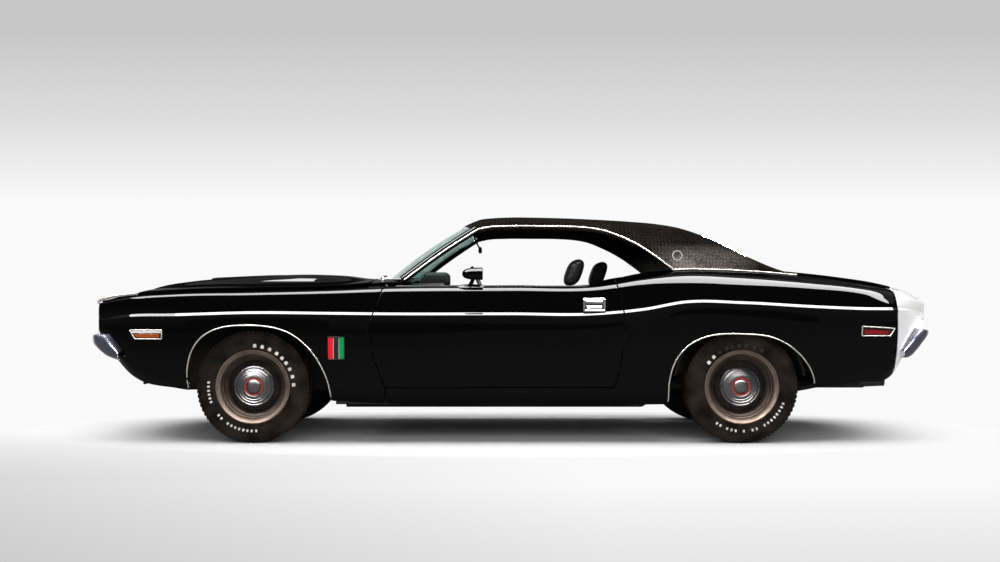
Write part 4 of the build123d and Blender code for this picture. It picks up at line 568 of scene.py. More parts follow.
def walled(piece: Piece, thickness: float, edge: float = 0.0) -> None:
    """Gives a surface a wall on its inner side, and softens its edges."""
    modify(piece, "SOLIDIFY", thickness=thickness, offset=-1.0, use_even_offset=False)
    if edge:
        modify(
            piece, "BEVEL", width=edge, segments=2, limit_method="ANGLE", angle_limit=math.radians(40),
            use_clamp_overlap=True,
        )
    smooth(piece)


def blend_rows(values: Points, first: Points, last: Points) -> Points:
    """Spreads rows between two curves, at the given shares."""
    return first[None, :] * (1 - values[:, None]) + last[None, :] * values[:, None]


def eased(count: int, power: float = 0.5) -> Points:
    """Shares from 0 to 1 that crowd towards both ends."""
    even = np.linspace(0, 1, count)
    return even * (1 - power) + (1 - np.cos(even * math.pi)) / 2 * power


def eased_in(share: Points) -> Points:
    """Shares from 0 to 1 that start and end level."""
    return share * share * (3 - 2 * share)


def curve_through(stations: Points, values: Points, wanted: Points) -> Points:
    """A smooth curve through a table's rows.

    Args:
        stations: increasing places of the rows.
        values: rows of values.
        wanted: the places to read.

    Returns:
        One row of values for each wanted place.
    """
    steps = np.diff(stations)
    slopes = np.diff(values, axis=0) / steps[:, None]
    tangents = np.empty_like(values)
    tangents[1:-1] = (slopes[:-1] * steps[1:, None] + slopes[1:] * steps[:-1, None]) / (steps[:-1] + steps[1:])[:, None]
    tangents[0], tangents[-1] = slopes[0], slopes[-1]
    index = np.clip(np.searchsorted(stations, wanted) - 1, 0, len(stations) - 2)
    step = steps[index][:, None]
    share = np.clip((wanted - stations[index]) / steps[index], 0, 1)[:, None]
    square, cube = share**2, share**3
    return (
        (2 * cube - 3 * square + 1) * values[index]
        + (cube - 2 * square + share) * step * tangents[index]
        + (3 * square - 2 * cube) * values[index + 1]
        + (cube - square) * step * tangents[index + 1]
    )


def read_rows(rows: Points, wanted: Points) -> Points:
    """A table's smooth curve, read at places of its first column."""
    return curve_through(rows[:, 0], rows[:, 1:], wanted)


def resampled(path: Points, count: int) -> Points:
    """A smooth curve through a path's points, with a new count of them."""
    return curve_through(np.arange(len(path), dtype=float), path, np.linspace(0, len(path) - 1, count))


@dataclass
class BodyForm:
    """The lower body's outer surface, read at a station and a place round its section.

    The place runs 0 floor edge, 1 sill, 2 under the crease, 3 crease, 4 ledge, 5 flank, 6 shoulder, 7 belt,
    8 centre line.
    """

    table: Points = table(
        (-0.484, 0.450, 0.869, 0.887, 0.526, 0.898, 0.582, 0.887, 0.601, 0.858, 0.605, 0.760, 0.611),
        (-0.449, 0.300, 0.910, 0.939, 0.542, 0.949, 0.604, 0.931, 0.626, 0.895, 0.632, 0.760, 0.652),
        (-0.391, 0.235, 0.920, 0.962, 0.547, 0.972, 0.619, 0.946, 0.642, 0.908, 0.649, 0.760, 0.676),
        (-0.303, 0.225, 0.920, 0.972, 0.556, 0.986, 0.625, 0.957, 0.649, 0.915, 0.658, 0.760, 0.687),
        (-0.206, 0.180, 0.910, 0.970, 0.553, 0.986, 0.632, 0.953, 0.659, 0.908, 0.668, 0.760, 0.694),
        (-0.152, 0.164, 0.905, 0.967, 0.551, 0.982, 0.638, 0.946, 0.668, 0.898, 0.679, 0.796, 0.706),
        (0.000, 0.164, 0.908, 0.964, 0.551, 0.982, 0.642, 0.939, 0.674, 0.889, 0.682, 0.817, 0.713),
        (0.099, 0.164, 0.910, 0.965, 0.551, 0.984, 0.644, 0.941, 0.676, 0.891, 0.689, 0.812, 0.736),
        (0.156, 0.165, 0.910, 0.968, 0.571, 0.990, 0.664, 0.953, 0.709, 0.898, 0.732, 0.781, 0.751),
        (0.202, 0.169, 0.915, 0.972, 0.601, 0.995, 0.673, 0.962, 0.728, 0.891, 0.747, 0.760, 0.758),
        (0.272, 0.195, 0.920, 0.977, 0.598, 0.999, 0.676, 0.960, 0.722, 0.879, 0.743, 0.739, 0.751),
        (0.350, 0.236, 0.915, 0.970, 0.582, 0.988, 0.667, 0.943, 0.700, 0.856, 0.722, 0.714, 0.737),
        (0.412, 0.263, 0.900, 0.951, 0.573, 0.970, 0.647, 0.926, 0.676, 0.836, 0.694, 0.703, 0.713),
        (0.452, 0.297, 0.884, 0.936, 0.571, 0.949, 0.612, 0.910, 0.657, 0.817, 0.667, 0.693, 0.693),
        (0.473, 0.420, 0.863, 0.889, 0.565, 0.898, 0.602, 0.874, 0.636, 0.791, 0.648, 0.672, 0.672),
        (0.491, 0.465, 0.801, 0.817, 0.552, 0.825, 0.582, 0.817, 0.604, 0.786, 0.616, 0.662, 0.648)
    )
    ledge: float = 0.015
    ledge_rise: float = 0.014
    undercut: float = 0.024
    sill_turn: float = 0.045
    flank_bow: float = 0.004
    shoulder_bow: float = 0.009

    def knots(self, x: Points) -> tuple[Points, Points]:
        """The section's corners and the middles between them.

        Args:
            x: stations in metres.

        Returns:
            Arrays of 9 corners and 8 middles, by station, as half-width and height.
        """
        rows = curve_through(self.table[:, 0] * LENGTH, self.table[:, 1:], x)
        low, sill, waist, crease_z, crease_y, flank_z, flank_y, top_z, top_y, belt_z, belt_y, crown = rows.T
        low, crease_z, flank_z, top_z, belt_z, crown = (
            v * HEIGHT for v in (low, crease_z, flank_z, top_z, belt_z, crown)
        )
        sill, waist, crease_y, flank_y, top_y, belt_y = (
            v * HALF_WIDTH for v in (sill, waist, crease_y, flank_y, top_y, belt_y)
        )
        corners = np.stack(
            [
                np.stack([sill - self.sill_turn, low], 1),
                np.stack([sill, low + self.sill_turn], 1),
                np.stack([crease_y - self.ledge / 2, crease_z - self.undercut], 1),
                np.stack([crease_y, crease_z], 1),
                np.stack([crease_y - self.ledge, crease_z + self.ledge_rise], 1),
                np.stack([flank_y, flank_z], 1),
                np.stack([top_y, top_z], 1),
                np.stack([belt_y, belt_z], 1),
                np.stack([np.zeros_like(crown), crown], 1),
            ]
        )
        middles = (corners[:-1] + corners[1:]) / 2
        middles[1] = np.stack([waist, (low + crease_z) / 2], 1)
        middles[4] += [self.flank_bow, 0]
        middles[5] += [self.shoulder_bow, self.shoulder_bow]
        middles[7] = np.stack([belt_y / 2, crown - (crown - belt_z) / 4], 1)
        return corners, middles

    def at(self, x: Points, place: Points, side: Side = Side.LEFT) -> Points:
        """Points of the surface.

        Args:
            x: stations, any shape.
            place: places round the section, the same shape.
            side: which side of the car.

        Returns:
            The points, with one more axis of 3.
        """
        shape = np.broadcast_shapes(x.shape, place.shape)
        x = np.broadcast_to(x, shape).ravel()
        place = np.clip(np.broadcast_to(place, shape).ravel(), 0, 8)
        corners, middles = self.knots(x)
        index = np.minimum(place.astype(int), 7)
        share = (place - index)[:, None]
        every = np.arange(len(x))
        first, last, middle = corners[index, every], corners[index + 1, every], middles[index, every]
        control = 2 * middle - (first + last) / 2
        flat = (1 - share) ** 2 * first + 2 * share * (1 - share) * control + share**2 * last
        return np.stack([x, side.value * flat[:, 0], flat[:, 1]], 1).reshape(*shape, 3)

    def place_at_height(self, x: float, z: float, low: float = 0.0, high: float = 6.0) -> float:
        """The place round a station's section where the surface has a height."""
        places = np.linspace(low, high, 241)
        heights = self.at(np.full(241, x), places)[:, 2]
        return float(np.interp(z, np.maximum.accumulate(heights), places))

    def place_at_width(self, x: float, y: float) -> float:
        """The place on a station's upper section where the surface has a half-width."""
        places = np.linspace(5.0, 8.0, 241)
        widths = -self.at(np.full(241, x), places)[:, 1]
        return float(np.interp(-y, np.maximum.accumulate(-widths), places))

    def places_at_width(self, x: Points, y: float) -> Points:
        """The places on several stations' upper sections with one half-width."""
        return np.array([self.place_at_width(station, y) for station in x])

    def point(self, x: float, place: float) -> Points:
        """One point of the left side's surface."""
        return self.at(np.array([x]), np.array([place]))[0]


@dataclass
class Outlines:
    """Where the panels are cut: the door's edges and the wheel arches, as (x, z) lines."""

    door_front: Points = table(
        (0.241, -0.1472), (0.331, -0.1564), (0.415, -0.1630), (0.520, -0.1636), (0.555, -0.1610), (0.640, -0.1520),
        (0.760, -0.1470),
        scale=(HEIGHT, LENGTH)
    )
    door_rear: Points = table(
        (0.241, 0.1202), (0.284, 0.1251), (0.357, 0.1284), (0.467, 0.1319), (0.552, 0.1319), (0.625, 0.1284),
        (0.700, 0.1229), (0.760, 0.1200),
        scale=(HEIGHT, LENGTH)
    )
    door_bottom: float = 0.241 * HEIGHT
    door_heights: tuple[float, float] = (0.321, 1.01)
    front_arch_x: float = -1.460
    rear_arch_x: float = 1.300
    arch_z: float = 0.3235
    foot_splay: float = 0.004
    front_reach: Points = table(
        (-6, 0.434), (6, 0.417), (18, 0.400), (30, 0.389), (42, 0.380), (54, 0.374), (66, 0.363), (78, 0.352),
        (90, 0.3495), (102, 0.356), (114, 0.377), (126, 0.3995), (138, 0.411), (150, 0.405), (162, 0.391),
        (174, 0.379), (182, 0.379)
    )
    rear_reach: Points = table(
        (-4, 0.4420), (6, 0.430), (18, 0.407), (30, 0.380), (42, 0.360), (54, 0.341), (66, 0.3207), (78, 0.305),
        (90, 0.300), (102, 0.3085), (114, 0.327), (126, 0.352), (138, 0.3765), (150, 0.3935), (162, 0.400),
        (174, 0.400), (186, 0.404), (190, 0.408)
    )

    def front_edge(self, z: Points) -> Points:
        """The station of the door's front edge at a height."""
        return read_rows(self.door_front, np.clip(z, *self.door_heights))[:, 0]

    def rear_edge(self, z: Points) -> Points:
        """The station of the door's rear edge at a height."""
        return read_rows(self.door_rear, np.clip(z, *self.door_heights))[:, 0]

    def front_arch(self) -> Points:
        """The front wheel arch's line."""
        return self._arch(self.front_arch_x, self.front_reach)

    def rear_arch(self) -> Points:
        """The rear wheel arch's line."""
        return self._arch(self.rear_arch_x, self.rear_reach)

    def _arch(self, middle: float, reach: Points) -> Points:
        """An arch from its front foot to its rear foot.

        Args:
            middle: the station that the reaches are measured from.
            reach: rows of (degrees from rearward, distance).

        Returns:
            The arch as (x, z) points, its straight feet included.
        """
        turn = np.linspace(reach[-1, 0], reach[0, 0], 110)
        far = read_rows(reach, turn)[:, 0]
        bell = np.exp(-0.5 * (np.arange(-12, 13) / 5.0) ** 2)
        far = np.convolve(np.pad(far, 12, mode="reflect", reflect_type="odd"), bell / bell.sum(), "valid")
        bow = np.stack([np.cos(np.radians(turn)) * far + middle, np.sin(np.radians(turn)) * far + self.arch_z], 1)
        bow[:, 0] = np.maximum.accumulate(bow[:, 0]) + np.arange(len(bow)) * 1e-5
        first = np.linspace((bow[0, 0] - self.foot_splay, 0.0), bow[0], 24)[:-1]
        last = np.linspace(bow[-1], (bow[-1, 0] + self.foot_splay, 0.0), 24)[1:]
        return np.concatenate([first, bow, last])


FORM = BodyForm()
CUTS = Outlines()
LOW_SHARES = np.linspace(0, 1, 15)
UPPER_PLACES = np.concatenate(
    [
        np.linspace(2, 3, 3)[:-1],
        np.linspace(3, 4, 4)[:-1],
        np.linspace(4, 5, 9)[:-1],
        np.linspace(5, 6, 9)[:-1],
        np.linspace(6, 7, 5),
    ]
)


def arch_places(line: Points) -> tuple[Points, Points]:
    """The part of an arch's line that lies on the body.

    Args:
        line: the arch, as (x, z) points.

    Returns:
        The stations, and the place round the section where each point lies.
    """
    stations, places = [], []
    for x, z in line:
        bottom = FORM.point(x, 0.0)[2]
        if z > bottom - 0.012:
            stations.append(x)
            places.append(FORM.place_at_height(x, max(z, bottom), 0.0, 2.0))
    return np.array(stations), np.array(places)


def side_patch(stations: Points, lows: Points, top: float) -> Points:
    """A patch of the body side over a lower edge.

    Args:
        stations: the columns' stations, as one row or as a row for each place.
        lows: the place where each column starts.
        top: the last place.

    Returns:
        Rows by columns of (station, place) pairs.
    """
    upper = UPPER_PLACES[UPPER_PLACES <= top + 1e-6]
    lower = blend_rows(LOW_SHARES[:-1], lows, np.full_like(lows, 2.0))
    return np.concatenate([lower, np.repeat(upper[:, None], len(lows), 1)])


def sheared(
    places: Points, first: Callable[[Points], Points], last: Callable[[Points], Points], columns: Points
) -> Points:
    """Stations for a patch whose side edges follow lines that depend on height.

    Args:
        places: rows by columns of places.
        first: the front edge's station at a height.
        last: the rear edge's station at a height.
        columns: shares from the front edge to the rear.

    Returns:
        Rows by columns of stations.
    """
    guess_first = first(np.full(len(places), 0.6))
    guess_last = last(np.full(len(places), 0.6))
    for _ in range(4):
        guess_first = first(FORM.at(guess_first, places[:, 0])[:, 2])
        guess_last = last(FORM.at(guess_last, places[:, -1])[:, 2])
    return guess_first[:, None] * (1 - columns[None, :]) + guess_last[:, None] * columns[None, :]


def fixed(x: float) -> Callable[[Points], Points]:
    """An edge at one station."""
    return lambda z: np.full(len(z), x)


def changed_copy(piece: Piece, name: str, change: Matrix) -> Piece:
    """Copies a piece and transforms the copy's own mesh."""
    mesh = piece.data.copy()
    mesh.transform(change)
    mesh.name = name
    copy = bpy.data.objects.new(name, mesh)
    bpy.context.scene.collection.objects.link(copy)
    return copy


def mirrored(piece: Piece, name: str) -> Piece:
    """Copies a piece to the other side of the car, with its own mesh."""
    copy = changed_copy(piece, name, Matrix.Scale(-1, 4, (0, 1, 0)))
    copy.data.flip_normals()
    return copy


def moved_copy(piece: Piece, name: str, offset: Sequence[float]) -> Piece:
    """Copies a piece somewhere else, with its own mesh."""
    return changed_copy(piece, name, Matrix.Translation(Vector(offset)))


def seat_piece(piece: Piece, body: str, slot: str, *nodes: str) -> Piece:
    """Puts a finished piece on its body.

    Args:
        piece: the finished piece.
        body: the CAD body that it rides on.
        slot: the record's material slot; not used.
        nodes: the CAD nodes that it stands for.

    Returns:
        The same piece.
    """
    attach(piece, body)
    if nodes:
        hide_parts(*nodes)
    LOG.info("%s rides on %s, %d faces", piece.name, body, len(piece.data.polygons))
    return piece


def seat_pair(left: Piece, slot: str) -> None:
    """Puts a left piece and its mirrored right twin on the body."""
    seat_piece(left, "body", slot)
    seat_piece(mirrored(left, left.name.replace("left", "right")), "body", slot)


def sweep(
    name: str, path: Points, section: Points, material: Material, up: Optional[Sequence[float]] = None,
    closed: bool = False,
) -> Piece:
    """Runs a flat section along a path and caps its ends.

    Args:
        name: the piece's name.
        path: points in metres.
        section: (across, up) points of a closed outline, anticlockwise.
        material: the finish.
        up: the direction that the section's second axis leans to; Z if left out.
        closed: whether the path joins up with its start.

    Returns:
        The swept piece.
    """
    path = np.asarray(path, float)
    along = np.gradient(path, axis=0)
    if closed:
        along = np.roll(path, -1, 0) - np.roll(path, 1, 0)
    along /= np.linalg.norm(along, axis=1)[:, None]
    lean = np.broadcast_to(np.asarray(up if up is not None else (0, 0, 1), float), path.shape)
    across = np.cross(along, lean)
    across /= np.linalg.norm(across, axis=1)[:, None]
    upward = np.cross(across, along)
    rings = path[:, None, :] + across[:, None, :] * section[None, :, :1] + upward[:, None, :] * section[None, :, 1:]
    count, corners = rings.shape[:2]
    faces = []
    for ring in range(count if closed else count - 1):
        following = (ring + 1) % count
        for corner in range(corners):
            beside = (corner + 1) % corners
            here, there = ring * corners, following * corners
            faces.append((here + corner, here + beside, there + beside, there + corner))
    if not closed:
        faces.append(tuple(range(corners))[::-1])
        faces.append(tuple((count - 1) * corners + corner for corner in range(corners)))
    mesh = bpy.data.meshes.new(name)
    mesh.from_pydata(rings.reshape(-1, 3).tolist(), [], faces)
    piece = link(name, mesh, material)
    merge_points(piece, 0.00001)
    smooth(piece, 40)
    return piece


def rounded_section(width: float, height: float, radius: float, steps: int = 3) -> Points:
    """A rectangle with rounded corners, centred on the path."""
    points = []
    for turn, (x, y) in enumerate(((1, 1), (-1, 1), (-1, -1), (1, -1))):
        for step in range(steps + 1):
            angle = math.pi / 2 * (turn + step / steps)
            points.append(
                (
                    x * (width / 2 - radius) + radius * math.cos(angle),
                    y * (height / 2 - radius) + radius * math.sin(angle),
                )
            )
    return np.array(points)


def box(middle: Sequence[float], size: Sequence[float], material: Material) -> Piece:
    """A plain box about a middle."""
    bpy.ops.object.select_all(action="DESELECT")
    bpy.ops.mesh.primitive_cube_add(size=1, location=middle, scale=size)
    piece = bpy.context.object
    bpy.ops.object.transform_apply(location=True, rotation=True, scale=True)
    piece.data.materials.append(material)
    return piece


def block(name: str, low: Sequence[float], high: Sequence[float], material: Material, edge: float = 0.004) -> Piece:
    """A block with rounded edges between two corners."""
    piece = box([(a + b) / 2 for a, b in zip(low, high)], [b - a for a, b in zip(low, high)], material)
    piece.name = piece.data.name = name
    modify(piece, "BEVEL", width=edge, segments=3, limit_method="NONE", use_clamp_overlap=True)
    smooth(piece, 40)
    return piece


def lathe(
    name: str, profile: Line, centre: Sequence[float], material: Material,
    axis: Sequence[float] = (0, 1, 0), steps: int = 96, across: Sequence[float] = (0, 0, 1),
) -> Piece:
    """Spins a profile about an axis.

    Args:
        name: the piece's name.
        profile: (radius, distance along the axis) points.
        centre: where the axis starts.
        material: the finish.
        axis: the axis's direction.
        steps: how many faces there are round it.
        across: a direction square to the axis.

    Returns:
        The spun piece.
    """
    out, line, start = Vector(across).normalized(), Vector(axis).normalized(), Vector(centre)
    mesh = bpy.data.meshes.new(name)
    points = [start + out * radius + line * distance for radius, distance in profile]
    mesh.from_pydata(points, [(i, i + 1) for i in range(len(points) - 1)], [])
    piece = link(name, mesh, material)
    only(piece)
    bpy.ops.object.mode_set(mode="EDIT")
    bpy.ops.mesh.select_all(action="SELECT")
    bpy.ops.mesh.spin(steps=steps, angle=2 * math.pi, center=start, axis=line)
    bpy.ops.object.mode_set(mode="OBJECT")
    merge_points(piece, 0.00005)
    smooth(piece, 35)
    return piece


def joined(name: str, pieces: Sequence[Piece]) -> Piece:
    """Joins pieces into one object that keeps all their finishes."""
    only(pieces[0])
    for piece in pieces:
        piece.select_set(True)
    bpy.ops.object.join()
    pieces[0].name = pieces[0].data.name = name
    return pieces[0]


@dataclass
class SidePanels:
    """Front fenders, doors and body sides, with the mouldings round the wheel openings."""

    finishes: Finishes
    wall: float = 0.020
    gap: float = 0.004
    edge: float = 0.0022
    cap_seam: float = 2.197
    seam: float = 0.0045
    fender_inner: float = 0.741
    door_inner: float = 0.815
    quarter_inner: float = 0.656

    def build(self) -> None:
        """Builds both sides."""
        self.fenders()
        self.doors()
        self.body_sides()
        self.arch_mouldings()

    def _crease(self, piece: Piece) -> None:
        """Gives the ledge along the body's crease its polished paint."""
        slots = piece.data.materials
        slots.append(self.finishes.crease_paint)
        last = len(slots) - 1
        painted = [face for face in piece.data.polygons if slots[face.material_index] == self.finishes.paint]
        centres = np.array([face.center for face in painted])
        corners, _ = FORM.knots(centres[:, 0])
        low, high = corners[3, :, 1] - 0.0010, corners[4, :, 1] + 0.0030
        outside = (np.abs(centres[:, 1]) > corners[3, :, 0] - FORM.ledge - 0.004) & (centres[:, 0] > -1.90)
        for face, chosen in zip(painted, outside & (centres[:, 2] > low) & (centres[:, 2] < high)):
            if chosen:
                face.material_index = last

    def _pair(self, piece: Piece, node: str, slot: str = "body_paint", doors: bool = False) -> None:
        """Seats a left piece and its mirrored right twin."""
        twin = mirrored(piece, piece.name.replace("left", "right"))
        self._crease(piece)
        self._crease(twin)
        seat_piece(piece, "door_left" if doors else "body", slot, f"{node}_left")
        seat_piece(twin, "door_right" if doors else "body", slot, f"{node}_right")

    def _top_rows(self, patch_x: Points, inner: float, first: float, count: int = 5) -> Points:
        """Rows of places from one place to the panel's inner edge."""
        ends = FORM.places_at_width(patch_x, inner)
        return np.linspace(0, 1, count)[:, None] * (ends - first)[None, :] + first

    def fenders(self) -> None:
        """Front fenders, cut round the wheel and to the door's front edge."""
        arch_x, arch_place = arch_places(CUTS.front_arch())
        front = np.linspace(-2.351, arch_x[0], 26)
        stations = np.concatenate([front[:-1], arch_x])
        lows = np.concatenate([np.zeros(25), arch_place])
        places = side_patch(stations, lows, 6.0)
        top = self._top_rows(stations, self.fender_inner, 6.0)
        first = FORM.at(np.broadcast_to(stations, (len(places) + 4, len(stations))), np.concatenate([places, top[1:]]))
        columns = np.linspace(0, 1, 16)
        rear_places = np.concatenate([places[:, -1], top[1:, -1]])[:, None].repeat(16, 1)
        low_start = arch_place[-1]
        spread = blend_rows(LOW_SHARES[:-1], np.linspace(low_start, 0, 16), np.full(16, 2.0))
        rear_places[: len(spread)] = spread
        stations_rear = sheared(rear_places, fixed(arch_x[-1]), lambda z: CUTS.front_edge(z) - self.gap, columns)
        second = FORM.at(stations_rear, rear_places)
        piece = grid_piece("fender_skin_left", [first, second], self.finishes.paint, flip=False)
        walled(piece, self.wall, self.edge)
        self._pair(piece, "front_fender")

    def doors(self) -> None:
        """Doors between their two edges, with a trim panel inside."""
        columns = eased(52, 0.6)
        bottoms = [FORM.place_at_height(x, CUTS.door_bottom + self.gap, 0.0, 2.0) for x in (-0.714, 0.584)]
        low = np.linspace(bottoms[0], bottoms[1], 52)
        places = side_patch(columns, low, 6.0)
        top = self._top_rows(np.linspace(-0.71, 0.59, 52), self.door_inner, 6.0)
        places = np.concatenate([places, top[1:]])
        stations = sheared(
            places, lambda z: CUTS.front_edge(z) + self.gap, lambda z: CUTS.rear_edge(z) - self.gap, columns
        )
        piece = grid_piece("door_skin_left", [FORM.at(stations, places)], self.finishes.paint, flip=False)
        walled(piece, self.wall, self.edge)
        trim = block("door_trim_left", (-0.700, -0.842, 0.345), (0.585, -0.817, 0.885), self.finishes.seat, 0.008)
        rest = block("armrest", (-0.20, -0.818, 0.60), (0.25, -0.770, 0.645), self.finishes.seat, 0.015)
        sill = block("window_sill", (-0.66, -0.850, 0.872), (0.575, -0.816, 0.902), self.finishes.trim, 0.006)
        self._pair(joined("door_skin_left", [piece, trim, rest, sill]), "door", doors=True)

    def body_sides(self) -> None:
        """The rocker, the quarter panel and the end cap."""
        sill_x = np.linspace(-0.7107, 0.5960, 48)
        tops = np.array([FORM.place_at_height(x, CUTS.door_bottom - self.gap, 0.0, 2.0) for x in sill_x])
        rocker = FORM.at(np.broadcast_to(sill_x, (9, 48)), np.linspace(0, 1, 9)[:, None] * tops[None, :])
        arch_x, arch_place = arch_places(CUTS.rear_arch())
        columns = np.linspace(0, 1, 18)
        front_places = side_patch(columns, np.zeros(18), 7.0)
        front_x = sheared(front_places, lambda z: CUTS.rear_edge(z) + self.gap, fixed(arch_x[0]), columns)
        behind = np.linspace(arch_x[-1], self.cap_seam - self.seam / 2, 26)
        rear_x = np.concatenate([arch_x, behind[1:]])
        rear_places = side_patch(rear_x, np.concatenate([arch_place, np.zeros(25)]), 7.0)
        quarter = FORM.at(np.broadcast_to(rear_x, rear_places.shape), rear_places)
        ledge_x = rear_x[rear_x > 1.36]
        ends = FORM.places_at_width(ledge_x, self.quarter_inner)
        inner = np.linspace(0, 1, 4)[:, None] * (ends - 7.0)[None, :] + 7.0
        ledge = FORM.at(np.broadcast_to(ledge_x, inner.shape), inner)
        piece = grid_piece(
            "quarter_skin_left",
            [rocker, FORM.at(front_x, front_places), quarter, ledge],
            self.finishes.paint,
            flip=False,
        )
        walled(piece, self.wall, self.edge)
        cap = self._end_cap()
        self._pair(joined("quarter_skin_left", [piece, cap]), "body_side")

    def _end_cap(self) -> Piece:
        """The quarter's end cap behind its seam, closed across the tail."""
        cap_x = np.concatenate([np.linspace(self.cap_seam + self.seam / 2, 2.370, 16), [2.378, 2.3835]])
        places = side_patch(cap_x, np.zeros(len(cap_x)), 7.0)
        ends = FORM.places_at_width(cap_x, self.quarter_inner)
        inner = np.linspace(0, 1, 4)[1:, None] * (ends - 7.0)[None, :] + 7.0
        places = np.concatenate([places, inner])
        side = FORM.at(np.broadcast_to(cap_x, places.shape), places)
        rim = side[:, -1]
        shares = np.linspace(0, 1, 5)[1:]
        target = rim.copy()
        target[:, 0] = 2.386
        target[:, 1] = -0.655
        target[:, 2] = np.clip(rim[:, 2], 0.630, 0.800)
        rounding = [rim * (1 - share) + target * share for share in shares]
        tail = np.stack([rim, *rounding], 1)
        piece = grid_piece("end_cap", [side, tail], self.finishes.stripe, flip=False)
        walled(piece, 0.012, 0.002)
        return piece

    def arch_mouldings(self) -> None:
        """Bright lips round the wheel openings, their reflection painted as a pale matt grey."""
        for name, line in (("front", CUTS.front_arch()), ("rear", CUTS.rear_arch())):
            stations, places = arch_places(line)
            path = FORM.at(stations, places)
            path[:, 1] -= 0.0015
            shape = rounded_section(0.007, 0.010, 0.003)
            lip = sweep(f"{name}_arch_lip_left", path[2:-2], shape, self.finishes.worn_trim, (0, 1, 0))
            seat_pair(lip, "chrome")


